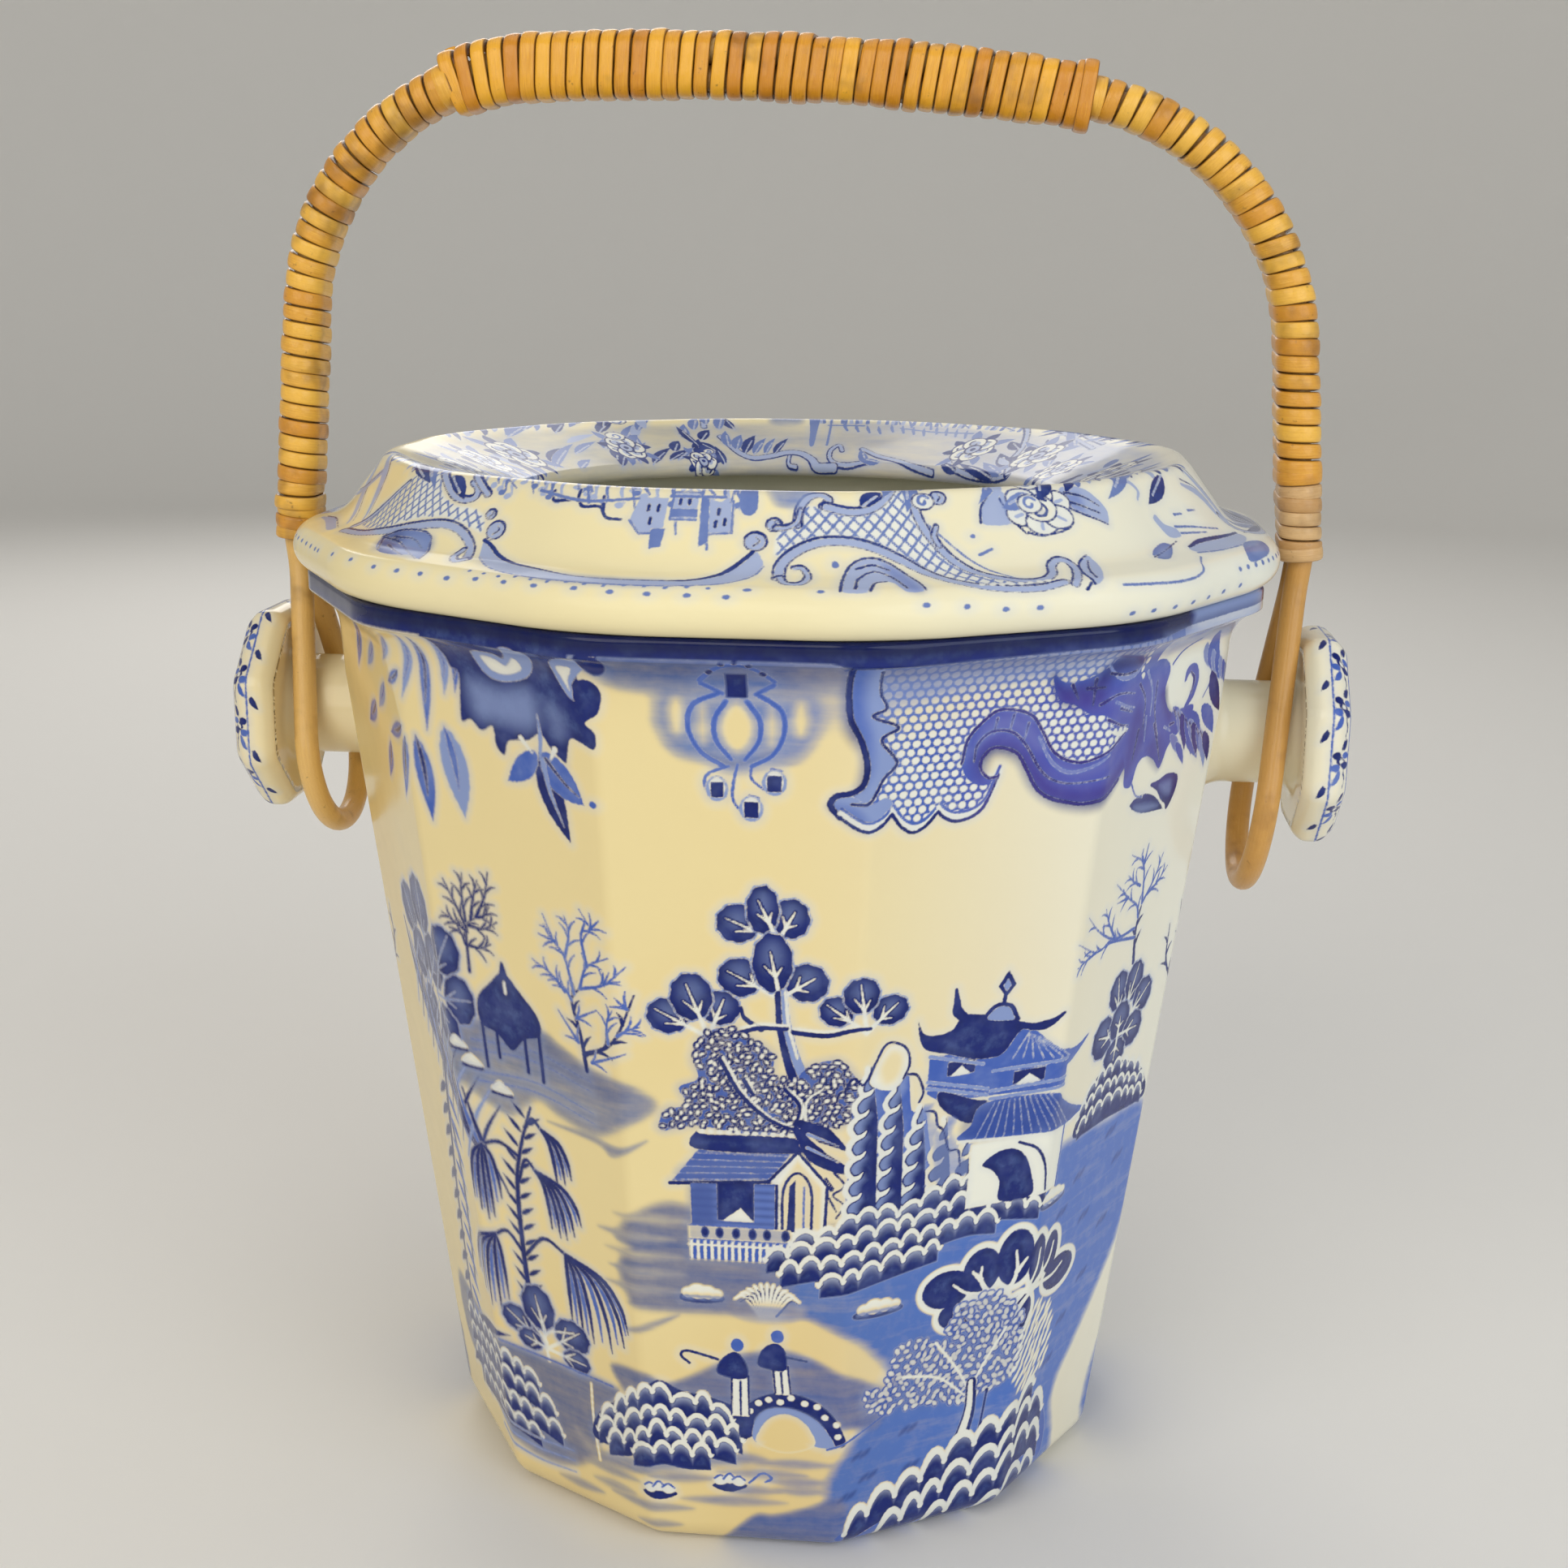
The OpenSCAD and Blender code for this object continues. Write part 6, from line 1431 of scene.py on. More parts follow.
def pail_section():
    """The pail's section from the middle of the foot, round the outside and down to the inside floor."""
    ring_in = STAND_A - FOOT_RING
    edge = 1.2
    under = joined(
        line((1.0, FOOT_HOLLOW), (ring_in - edge, FOOT_HOLLOW), 12.0),
        arc((ring_in - edge, FOOT_HOLLOW - edge), edge, 90, 0, 0.5),
        arc((ring_in + edge, edge), edge, 180, 270, 0.5),
        line((ring_in + edge, 0), (STAND_A, 0), 2.0),
    )
    neck = (NECK_A, NECK_Z)
    hip = arc((STAND_A, HIP_R), HIP_R, -90, -LEAN_DEG, FINE)
    flare = arc(FLARE_C, FLARE_R, 180 - LEAN_DEG, FLARE_END, FINE)
    outer = joined(hip, line(hip[-1], neck, FINE), flare,
        line(flare[-1], (RIM_A, RIM_Z - RIM_BEVEL), FINE),
        arc((RIM_A - RIM_BEVEL, RIM_Z - RIM_BEVEL), RIM_BEVEL, 0, 90, FINE))
    mouth = wall_a(RIM_Z) - WALL_IN
    rim = joined(
        line((RIM_A - RIM_BEVEL, RIM_Z), (mouth + RIM_BEVEL, RIM_Z), 2.0),
        arc((mouth + RIM_BEVEL, RIM_Z - RIM_BEVEL), RIM_BEVEL, 90, 180, 0.5),
    )
    hip_in = wall_a(FLOOR_Z) - WALL_IN - INNER_HIP_R * (1 - LEAN)
    inner_hip = arc((hip_in, FLOOR_Z + INNER_HIP_R), INNER_HIP_R, -LEAN_DEG, -90, 1.0)
    within = joined(line(rim[-1], inner_hip[0], COARSE), inner_hip,
        line(inner_hip[-1], (1.0, FLOOR_Z), 12.0))
    section = joined(under, outer, rim, within)
    first = int(np.argmin(np.linalg.norm(section - outer[0], axis=1)))
    return section, first, first + len(outer)


def tangent_points(c0, r0, c1, r1, upper):
    """Where the outer common tangent of two circles touches them, above or below their centres."""
    (x0, z0), (x1, z1) = c0, c1
    d = math.dist(c0, c1)
    base = math.atan2(z1 - z0, x1 - x0)
    off = math.acos((r0 - r1) / d)
    angle = base + off if upper else base - off
    n = (math.cos(angle), math.sin(angle))
    return (x0 + r0 * n[0], z0 + r0 * n[1]), (x1 + r1 * n[0], z1 + r1 * n[1]), math.degrees(angle)


def meeting(a, b, c, d):
    """Where the line through a and b meets the line through c and d."""
    a, b, c, d = (np.array(p) for p in (a, b, c, d))
    along, across = b - a, d - c
    share = ((c - a)[0] * across[1] - (c - a)[1] * across[0]) / (along[0] * across[1] - along[1] * across[0])
    return a + share * along


def eased_line(points, r):
    """A line whose inner corners are rounded off over r on each side."""
    p = np.asarray(points, float)
    out = [p[:1]]
    t = np.linspace(0, 1, 9)[:, None]
    for a, b, c in zip(p, p[1:], p[2:]):
        start = b + (a - b) * min(0.45, r / np.linalg.norm(a - b))
        end = b + (c - b) * min(0.45, r / np.linalg.norm(c - b))
        out.append(start * (1 - t)**2 + b * 2 * t * (1 - t) + end * t**2)
    return np.concatenate(out + [p[-1:]])


def spaced(points, step):
    """A line's points laid out afresh, about step apart."""
    run = np.concatenate([[0], np.cumsum(np.linalg.norm(np.diff(points, axis=0), axis=1))])
    at = np.linspace(0, run[-1], math.ceil(run[-1] / step) + 1)
    return np.stack([np.interp(at, run, points[:, k]) for k in range(2)], 1)


def drainer_section():
    """The drainer's section: from the seat round the lip, over the crest into the hole and back below."""
    f0, f1, a_lip = tangent_points(FOOT_C, SLOPE_FOOT_R, LIP_C, LIP_R, True)
    p0, p1, a_out = tangent_points(CREST_C, CREST_R, FOOT_C, SLOPE_FOOT_R, True)
    q0, q1, a_in = tangent_points(HOLE_C, HOLE_R, CREST_C, CREST_R, True)
    s0, s1, b_in = tangent_points(HOLE_C, HOLE_R, CREST_C, CREST_R, False)
    r0, r1, _ = tangent_points(CREST_C, CREST_R, FOOT_C, SLOPE_FOOT_R, False)
    lip = arc(LIP_C, LIP_R, -90, a_lip, FINE)
    crest = arc(CREST_C, CREST_R, a_out, a_in, FINE)
    hole = arc(HOLE_C, HOLE_R, a_in, b_in + 360, FINE)
    slope = spaced(eased_line([f1, meeting(f0, f1, p0, p1), p0], FOOT_EASE), FINE)
    top = joined(lip, slope, crest, line(q1, q0, FINE), hole)
    ridge = meeting(s0, s1, r0, r1)
    ledge_a = r0[0] + (SPIGOT_TOP - r0[1]) / (r1[1] - r0[1]) * (r1[0] - r0[0])
    below = joined(
        line(s0, ridge, COARSE),
        line(ridge, (ledge_a, SPIGOT_TOP), COARSE),
        line((ledge_a, SPIGOT_TOP), (SPIGOT_IN, SPIGOT_TOP - 2), 1.5),
        line((SPIGOT_IN, SPIGOT_TOP - 2), (SPIGOT_IN, SPIGOT_Z + 1), COARSE),
        arc((SPIGOT_IN + 1, SPIGOT_Z + 1), 1.0, 180, 270, 0.5),
        arc((SPIGOT_OUT - 1, SPIGOT_Z + 1), 1.0, 270, 360, 0.5),
        line((SPIGOT_OUT, SPIGOT_Z + 1), (SPIGOT_OUT, RIM_Z), COARSE),
        line((SPIGOT_OUT, RIM_Z), (LIP_C[0] - 0.4, RIM_Z), COARSE),
    )
    return joined(top, below), len(top)


def shell_uv(section, columns, first, last, wrap_rows):
    """Bake map of a shell: its printed rows as two long strips, the rest beside them."""
    strip_w, strip_h, gap = 0.66, 0.485, 0.01
    length = np.concatenate([[0], np.cumsum(np.linalg.norm(np.diff(section, axis=0), axis=1))])
    rows = len(section)
    total = length[-1] + (np.linalg.norm(section[0] - section[-1]) if wrap_rows else 0)
    length = np.append(length, total) if wrap_rows else length
    r = np.arange(rows if wrap_rows else rows - 1)[:, None, None]
    c = np.arange(columns)[None, :, None]
    corner_r = r + np.array([0, 0, 1, 1])[None, None, :] + 0 * c
    corner_c = c + np.array([0, 1, 1, 0])[None, None, :] + 0 * r
    half = columns // 2
    which = c // half
    printed = (r >= first) & (r < last - 1)
    print_v = (length[corner_r] - length[first]) / (length[last - 1] - length[first])
    rest_total = length[first] + (total - length[last - 1])
    rest_v = np.where(r < first, length[corner_r],
                      length[first] + length[corner_r] - length[last - 1]) / rest_total
    split = np.where(r < first, gap, 2 * gap)
    u = np.where(printed, (corner_c - which * half) / half * strip_w,
                 strip_w + gap + corner_c / columns * (1 - strip_w - 2 * gap))
    v = np.where(printed, gap + which * (strip_h + gap) + print_v * strip_h,
                 split + rest_v * (1 - 4 * gap))
    return np.stack([u, v], -1).reshape(-1, 2)


SHEET_U = np.arange(COLUMNS // 2) * 720.0 / COLUMNS - 180.0
CRISP, BLEED = 0.22, 0.36
PALE_INSIDE = -1.0


def store_print(piece, rows, first, sheet, bleed):
    """Puts a sheet, repeated twice round, on a shell's points from its row first on."""
    ink = np.full((rows, COLUMNS, 3), -FAR)
    tone = np.zeros((rows, COLUMNS, 3))
    here = slice(first, first + len(sheet.z))
    ink[here] = np.tile(np.moveaxis(sheet.ink, 0, -1), (1, 2, 1))
    tone[here, :, 0] = np.tile(sheet.wash, (1, 2))
    tone[here, :, 2] = np.tile(sheet.shade, (1, 2))
    tone[first + len(sheet.z):, :, 0] = PALE_INSIDE
    tone[:, :, 1] = np.tile(bleed, 2)[None, :]
    spare = len(piece.data.vertices) - rows * COLUMNS
    point_vectors(piece, "ink", np.concatenate([ink.reshape(-1, 3), np.full((spare, 3), -FAR)]))
    point_vectors(piece, "tone",
        np.concatenate([tone.reshape(-1, 3), np.full((spare, 3), (0, CRISP, 0))]))


def make_pail():
    section, first, last = pail_section()
    corner_r = np.interp(section[:, 1:2], [NECK_Z - 15, NECK_Z + 7], [WALL_CORNER_R, RIM_CORNER_R])
    points = twelve_sided(section, COLUMNS, corner_r)
    rows = len(section)
    ends = np.array([[0, 0, FOOT_HOLLOW], [0, 0, FLOOR_Z]])
    ring = np.arange(COLUMNS)
    caps = np.concatenate([
        cap_triangles(ring, rows * COLUMNS, True),
        cap_triangles((rows - 1) * COLUMNS + ring, rows * COLUMNS + 1, False),
    ])
    pail = mesh_piece("pail_shell", np.concatenate([points.reshape(-1, 3), ends]),
                      grid_quads(rows, COLUMNS, True), caps)
    uv = shell_uv(section, COLUMNS, first, last, False)
    bake_map(pail, np.concatenate([uv, np.full((caps.size, 2), 0.995)]))
    left_side = np.clip((-20.0 - SHEET_U) / 60.0, 0, 1) * np.clip((170.0 + SHEET_U) / 40.0, 0, 1)
    store_print(pail, rows, first, sides_print(SHEET_U, section[first:last, 1]),
        CRISP + BLEED * left_side)
    return pail


def make_drainer():
    section, top = drainer_section()
    points = twelve_sided(section, COLUMNS, DRAINER_CORNER_R)
    rows = len(section)
    last_row, first_row = (rows - 1) * COLUMNS + np.arange(COLUMNS), np.arange(COLUMNS)
    closing = np.stack([last_row, np.roll(last_row, -1), np.roll(first_row, -1), first_row], 1)
    drainer = mesh_piece("drainer_ring", points.reshape(-1, 3),
                         np.concatenate([grid_quads(rows, COLUMNS, True), closing]))
    bake_map(drainer, shell_uv(section, COLUMNS, 0, top, True))
    way = np.concatenate([[0], np.cumsum(np.linalg.norm(np.diff(section[:top], axis=0), axis=1))])
    widest = LIP_R * math.pi / 2
    store_print(drainer, rows, 0, drainer_print(SHEET_U, way - widest), np.full(len(SHEET_U), CRISP))
    return drainer


HEAD_COLUMNS = 384
SHEET_HALF = 46.0
HEAD_CORNER_R, EDGE_R = 6.0, 2.2


def octagon_radius(angle, half):
    """Distance from the middle to the edge of an eight-sided plate with eased corners, a flat on top."""
    eighth = math.pi / 8
    away = np.abs((angle + eighth) % (2 * eighth) - eighth)
    flat_end = (half - HEAD_CORNER_R) * math.tan(eighth)
    toward = (half - HEAD_CORNER_R) * np.cos(away) + flat_end * np.sin(away)
    centre = (half - HEAD_CORNER_R)**2 + flat_end**2
    eased = toward + np.sqrt(np.maximum(toward**2 - centre + HEAD_CORNER_R**2, 0))
    return np.where(np.tan(away) * half <= flat_end, half / np.cos(away), eased)


def sheet_values(sheet, u, z):
    """Ink and tone of a square sheet at the points u, z."""
    step = sheet.u[1] - sheet.u[0]
    a = np.clip((u - sheet.u[0]) / step, 0, len(sheet.u) - 1.001)
    b = np.clip((z - sheet.z[0]) / step, 0, len(sheet.z) - 1.001)
    i, j = a.astype(int), b.astype(int)
    a, b = a - i, b - j

    def at(grid):
        low = grid[j, i] * (1 - a) + grid[j, i + 1] * a
        high = grid[j + 1, i] * (1 - a) + grid[j + 1, i + 1] * a
        return low * (1 - b) + high * b

    ink = np.stack([at(sheet.ink[k]) for k in range(3)], -1)
    return ink, np.stack([at(sheet.wash), np.full(u.shape, CRISP), at(sheet.shade)], -1)


def make_lug(name, side):
    """A lug: a root that flares out of the wall, a stem and an eight-sided head with a printed face."""
    angle = np.arange(HEAD_COLUMNS) * 2 * math.pi / HEAD_COLUMNS
    c, s = np.cos(angle), np.sin(angle)
    top = HEAD_X + HEAD_T
    rings, sheet_r = [], []

    def ring(x, r, over=SHEET_HALF):
        rings.append(np.stack([x + 0 * angle, r * c, LUG_Z + r * s], 1))
        sheet_r.append(over + 0 * angle)

    for k in np.linspace(0, 1, 12):
        r = STEM_R + (PAD_R - STEM_R) * (1 - math.sqrt(1 - (1 - k)**2))
        foot = wall_a(LUG_Z + r * s) + 0.1
        ring(foot + k * (PAD_X - foot), r)
    for x in np.linspace(PAD_X, HEAD_X - 2 * EDGE_R, 8)[1:]:
        ring(x, STEM_R)
    for t in np.radians(np.linspace(15, 90, 5)):
        ring(HEAD_X - 2 * EDGE_R * (1 - math.sin(t)), STEM_R + 2 * EDGE_R * (1 - math.cos(t)))
    back = octagon_radius(angle, HEAD_HALF - BACK_BEVEL)
    for t in np.linspace(0, 0.9, 6)[1:]:
        ring(HEAD_X, (STEM_R + 2 * EDGE_R) * (1 - t) + back * t)
    profile = eased_line([(HEAD_X, BACK_BEVEL + 2), (HEAD_X, BACK_BEVEL), (HEAD_X + BACK_BEVEL, 0),
        (top - FRONT_BEVEL, 0), (top, FRONT_BEVEL), (top, FRONT_BEVEL + 2)], EDGE_R)
    left_over = np.cumsum(np.linalg.norm(np.diff(profile[::-1], axis=0), axis=1))[::-1]
    for (x, inset), over in zip(profile[1:], np.append(left_over[1:], 0)):
        r = octagon_radius(angle, HEAD_HALF - inset)
        ring(x, r, HEAD_HALF - FRONT_BEVEL - 2 + over)
    face = octagon_radius(angle, HEAD_HALF - FRONT_BEVEL - 2)
    for t in np.linspace(1, 0.02, 56)[1:]:
        ring(top, face * t, (HEAD_HALF - FRONT_BEVEL - 2) * t)
    points = np.array(rings)
    points[:, :, 0] *= side
    rows = len(rings)
    quads = grid_quads(rows, HEAD_COLUMNS, True)
    ends = np.array([[side * (wall_a(LUG_Z) + 0.1), 0, LUG_Z], [side * top, 0, LUG_Z]])
    around = np.arange(HEAD_COLUMNS)
    caps = np.concatenate([
        cap_triangles(around, rows * HEAD_COLUMNS, True),
        cap_triangles((rows - 1) * HEAD_COLUMNS + around, rows * HEAD_COLUMNS + 1, False),
    ])
    if side < 0:
        quads, caps = quads[:, ::-1], caps[:, ::-1]
    points = np.concatenate([points.reshape(-1, 3), ends])
    lug = mesh_piece(name, points, quads, caps)
    across = np.arange(-SHEET_HALF, SHEET_HALF + 0.1, 0.4)
    over = np.append(np.array(sheet_r).ravel(), [SHEET_HALF, 0])
    turn = np.append(np.tile(angle, rows), [0, 0])
    ink, tone = sheet_values(lug_print(across, across), over * np.cos(turn), over * np.sin(turn))
    ink[over >= SHEET_HALF] = -FAR
    point_vectors(lug, "ink", ink)
    point_vectors(lug, "tone", tone)
    return lug


# Handle: the arch as a length q from the left end of the binding

LEG_HEADING = math.pi / 2 - LEG_LEAN
LEFT_C = np.array([-LEG_X, LEG_Z]) + LEFT_LEG * np.array([math.sin(LEG_LEAN), math.cos(LEG_LEAN)]) \
    + SHOULDER_R * np.array([math.cos(LEG_LEAN), -math.sin(LEG_LEAN)])
RIGHT_C = np.array([LEG_X, LEG_Z]) + RIGHT_LEG * np.array([-math.sin(LEG_LEAN), math.cos(LEG_LEAN)]) \
    + SHOULDER_R * np.array([-math.cos(LEG_LEAN), -math.sin(LEG_LEAN)])
SPAN = RIGHT_C - LEFT_C
SPAN_LEN = np.hypot(*SPAN)
CROWN_C = (LEFT_C + RIGHT_C) / 2 + np.array([SPAN[1], -SPAN[0]]) / SPAN_LEN \
    * math.sqrt((CROWN_R - SHOULDER_R)**2 - (SPAN_LEN / 2)**2)
CROWN_IN = math.atan2(*(LEFT_C - CROWN_C)[::-1]) - math.pi / 2
CROWN_OUT = math.atan2(*(RIGHT_C - CROWN_C)[::-1]) - math.pi / 2
Q_SHOULDER = LEFT_LEG
Q_CROWN = Q_SHOULDER + SHOULDER_R * (LEG_HEADING - CROWN_IN)
Q_DESCENT = Q_CROWN + CROWN_R * (CROWN_IN - CROWN_OUT)
Q_LEG = Q_DESCENT + SHOULDER_R * (CROWN_OUT + LEG_HEADING)
Q_END = Q_LEG + RIGHT_LEG
GRIP_END = GRIP_START + GRIP_LEN


def heading(q):
    return np.select(
        [q < Q_SHOULDER, q < Q_CROWN, q < Q_DESCENT, q < Q_LEG],
        [LEG_HEADING, LEG_HEADING - (q - Q_SHOULDER) / SHOULDER_R, CROWN_IN - (q - Q_CROWN) / CROWN_R,
         CROWN_OUT - (q - Q_DESCENT) / SHOULDER_R], -LEG_HEADING)


def arch_points(q, out, y):
    """Points of the arch at lengths q, moved out along its normal and sideways along Y."""
    q = np.asarray(q, float)
    h = heading(q)
    normal = np.stack([-np.sin(h), np.cos(h)], -1)
    ahead = np.stack([np.cos(h), np.sin(h)], -1)
    left = np.array([-LEG_X, LEG_Z]) + q[:, None] * ahead
    right = np.array([LEG_X, LEG_Z]) - (Q_END - q)[:, None] * ahead
    at = np.select([(q < Q_SHOULDER)[:, None], (q < Q_CROWN)[:, None], (q < Q_DESCENT)[:, None],
        (q < Q_LEG)[:, None]], [left, LEFT_C + SHOULDER_R * normal, CROWN_C + CROWN_R * normal,
        RIGHT_C + SHOULDER_R * normal], right)
    at = at + np.asarray(out)[..., None] * normal
    outward = np.stack([normal[:, 0], 0 * q, normal[:, 1]], 1)
    return np.stack([at[:, 0], np.broadcast_to(y, q.shape), at[:, 1]], 1), outward


def ease(t):
    t = np.clip(t, 0, 1)
    return t * t * (3 - 2 * t)


def sweep(path, refs, section):
    """Rings of a section along a path; the section's first number goes along the reference direction."""
    tangent = np.gradient(path, axis=0)
    tangent /= np.linalg.norm(tangent, axis=1)[:, None]
    ref = refs - tangent * np.sum(refs * tangent, 1)[:, None]
    ref /= np.linalg.norm(ref, axis=1)[:, None]
    side = np.cross(tangent, ref)
    section = np.broadcast_to(section, (len(path),) + np.shape(section)[-2:])
    return path[:, None] + section[..., 0:1] * ref[:, None] + section[..., 1:2] * side[:, None]


def capped_tube(name, rings, fold):
    """A closed tube from rings of points; its bake map lays the tube in fold strips side by side."""
    rows, cols = rings.shape[:2]
    quads = grid_quads(rows, cols, True)[:, ::-1]
    ends = np.array([rings[0].mean(0), rings[-1].mean(0)])
    around = np.arange(cols)
    caps = np.concatenate([
        cap_triangles(around, rows * cols, False),
        cap_triangles((rows - 1) * cols + around, rows * cols + 1, True),
    ])
    piece = mesh_piece(name, np.concatenate([rings.reshape(-1, 3), ends]), quads, caps)
    per = math.ceil((rows - 1) / fold)
    r = np.arange(rows - 1)[:, None, None]
    c = np.arange(cols)[None, :, None]
    strip = r // per
    v = (r - strip * per + np.array([1, 1, 0, 0]) + 0 * c) / per
    u = (strip + (c + np.array([0, 1, 1, 0]) + 0 * r) / cols * 0.94) / fold
    corner = np.stack([u, 0.002 + 0.996 * v], -1).reshape(-1, 2)
    bake_map(piece, np.concatenate([corner, np.full((caps.size, 2), 0.999)]))
    return piece


def grain(piece, along, around, seed, count):
    """Stores where each point lies along and round a cane, and a number for its strip or turn."""
    values = np.stack([along, around, seed], 1)
    point_vectors(piece, "grain", np.concatenate([values, values[:1], values[-1:]])[:count])


LOOP_CENTRE_D = LOOP_RISE / math.cos(LOOP_LEAN)
FORK_H = LOOP_CENTRE_D - FORK_ROOM
SPREAD = math.asin(STEM_ROOM / math.hypot(FORK_H, PAIR_HALF)) - math.atan(PAIR_HALF / FORK_H)
CANE_SIDES = 20


def loop_half(drop):
    """Half of a loop in its own plane: distance down from the binding, and sideways."""
    loop_r = (drop * math.sin(SPREAD) + STEM_ROOM) / (1 + math.sin(SPREAD))
    bend_d = LOOP_CENTRE_D + drop - loop_r
    bend = SPREAD + (-math.pi / 2 - SPREAD) * np.linspace(0, 1, 22)
    tangent = (LOOP_CENTRE_D - STEM_ROOM * math.sin(SPREAD), STEM_ROOM * math.cos(SPREAD))
    fork = (FORK_ROOM + FORK_ROUND * math.cos(SPREAD), PAIR_HALF + FORK_ROUND * math.sin(SPREAD))
    lead = [(FORK_ROOM / 2, PAIR_HALF), (FORK_ROOM - FORK_ROUND, PAIR_HALF),
            (FORK_ROOM, PAIR_HALF + FORK_ROUND * math.tan(SPREAD) / 3), fork]
    straight = line(fork, tangent, 4.0)[1:]
    round_below = np.stack([bend_d - loop_r * np.sin(bend), loop_r * np.cos(bend)], 1)
    return joined(np.array(lead), straight, round_below)


def make_hoop(name, side):
    """One cane: both ends in the grip, bent in a loop round the lug's stem."""
    steps = 90
    if side < 0:
        q = np.linspace(GRIP_END - LAYER_BLEND, 0, steps)
        layer = PAIR_HALF * ease((q - GRIP_START) / LAYER_BLEND)
    else:
        q = np.linspace(GRIP_START + LAYER_BLEND, Q_END, steps)
        layer = -PAIR_HALF * ease((GRIP_END - q) / LAYER_BLEND)
    upper, outward = arch_points(q, layer, PAIR_HALF)
    loop = loop_half(LEFT_DROP if side < 0 else RIGHT_DROP)
    lower = np.stack([side * (LEG_X - loop[:, 0] * math.sin(LOOP_LEAN)), loop[:, 1],
                      LEG_Z - loop[:, 0] * math.cos(LOOP_LEAN)], 1)
    lean = np.tile([side * math.cos(LOOP_LEAN), 0, -math.sin(LOOP_LEAN)], (len(loop), 1))
    path, refs = np.concatenate([upper, lower]), np.concatenate([outward, lean])
    mirror = np.array([1, -1, 1])
    path = np.concatenate([path, path[-2::-1] * mirror])
    refs = np.concatenate([refs, refs[-2::-1]])
    turn = np.arange(CANE_SIDES) * 2 * math.pi / CANE_SIDES
    section = CANE_R * np.stack([np.cos(turn), np.sin(turn)], 1)
    rings = sweep(path, refs, section)
    hoop = capped_tube(name, rings, 8)
    run = np.concatenate([[0], np.cumsum(np.linalg.norm(np.diff(path, axis=0), axis=1))])
    along = np.repeat(run, CANE_SIDES)
    around = np.tile(turn, len(path))
    grain(hoop, along, around, np.full(len(along), 3.0 + side), len(along) + 2)
    return hoop


def stadium(half_out, half_y, rho, n):
    """Places round a rounded box of canes: outward and sideways offsets and the way the strip faces."""
    corners = [(half_out, half_y, 0), (-half_out, half_y, 90), (-half_out, -half_y, 180),
        (half_out, -half_y, 270)]
    fine = np.concatenate([
        np.stack([o + rho * np.cos(t), y + rho * np.sin(t), np.degrees(t)], 1)
        for o, y, a in corners for t in [np.radians(np.linspace(a, a + 90, 24))]
    ])
    fine = np.concatenate([fine, fine[:1] + [0, 0, 360]])
    run = np.concatenate([[0], np.cumsum(np.hypot(*np.diff(fine[:, :2], axis=0).T))])
    at = np.linspace(0, run[-1], n, endpoint=False)
    return np.stack([np.interp(at, run, fine[:, k]) for k in range(3)], 1), run[-1]


PER_TURN, STRIP_LAP = 40, 0.955
SLIP_SPREAD, LIFT_SPREAD, WIDTH_SPREAD, TILT_SPREAD = 0.06, 0.18, 0.07, 0.24


def make_binding(name, q0, q1, turns, half_out, inner, thick, seed, flap=0.0):
    """One flat strip wound round the canes, from q0 to q1 along the arch, its two ends tucked under."""
    rng = np.random.default_rng(seed)
    centre = inner + thick / 2
    places, girth = stadium(half_out, PAIR_HALF, centre, PER_TURN)
    pitch = (q1 - q0) / turns
    width = pitch * STRIP_LAP
    n = (turns + 1) * PER_TURN + 1
    i = np.arange(n)
    turn = i / PER_TURN
    knots = np.arange(turns + 3)
    slip = np.interp(turn, knots, rng.normal(0, SLIP_SPREAD, len(knots))) * pitch
    lift = np.interp(turn, knots, rng.normal(0, LIFT_SPREAD, len(knots)))
    lift += flap * ease(1 - turn / 0.4)
    lift += 0.3 * np.clip(turn - turns, 0, 1) - 0.45 * np.clip(1 - turn, 0, 1)
    share = np.clip((turn - 0.8) / (turns - 0.6), 0, 1)
    q = q0 + width / 2 + (q1 - q0 - width) * share + slip * np.sin(np.pi * share)
    place = places[i % PER_TURN]
    face = np.radians(place[:, 2])
    scale = 1 + lift / centre
    path, outward = arch_points(q, place[:, 0] * scale, place[:, 1] * scale)
    refs = np.cos(face)[:, None] * outward + np.sin(face)[:, None] * np.array([0, 1, 0])
    half_t = thick / 2
    profile = np.array([(-half_t, -0.46), (half_t - 0.9, -0.5), (half_t - 0.45, -0.47),
        (half_t - 0.16, -0.38), (half_t - 0.03, -0.2), (half_t, 0.0), (half_t - 0.03, 0.2),
        (half_t - 0.16, 0.38), (half_t - 0.45, 0.47), (half_t - 0.9, 0.5), (-half_t, 0.46)])
    swell = np.interp(turn, knots, np.minimum(rng.normal(1, WIDTH_SPREAD, len(knots)), 1.03))
    tilt = np.interp(turn, knots, rng.normal(0, TILT_SPREAD, len(knots)))
    section = np.stack([
        profile[None, :, 0] + tilt[:, None] * profile[None, :, 1],
        profile[None, :, 1] * width * swell[:, None],
    ], -1)
    rings = sweep(path, refs, section)
    binding = capped_tube(name, rings, turns)
    along = np.repeat(i * girth / PER_TURN, len(profile))
    around = np.tile(profile[:, 1], n)
    grain(binding, along, around, np.repeat(turn, len(profile)), len(along) + 2)
    return binding


# Materials

def linear(r, g, b):
    """A colour given as 8-bit sRGB."""
    c = np.array([r, g, b]) / 255
    return tuple(np.where(c <= 0.04045, c / 12.92, ((c + 0.055) / 1.055)**2.4)) + (1.0,)


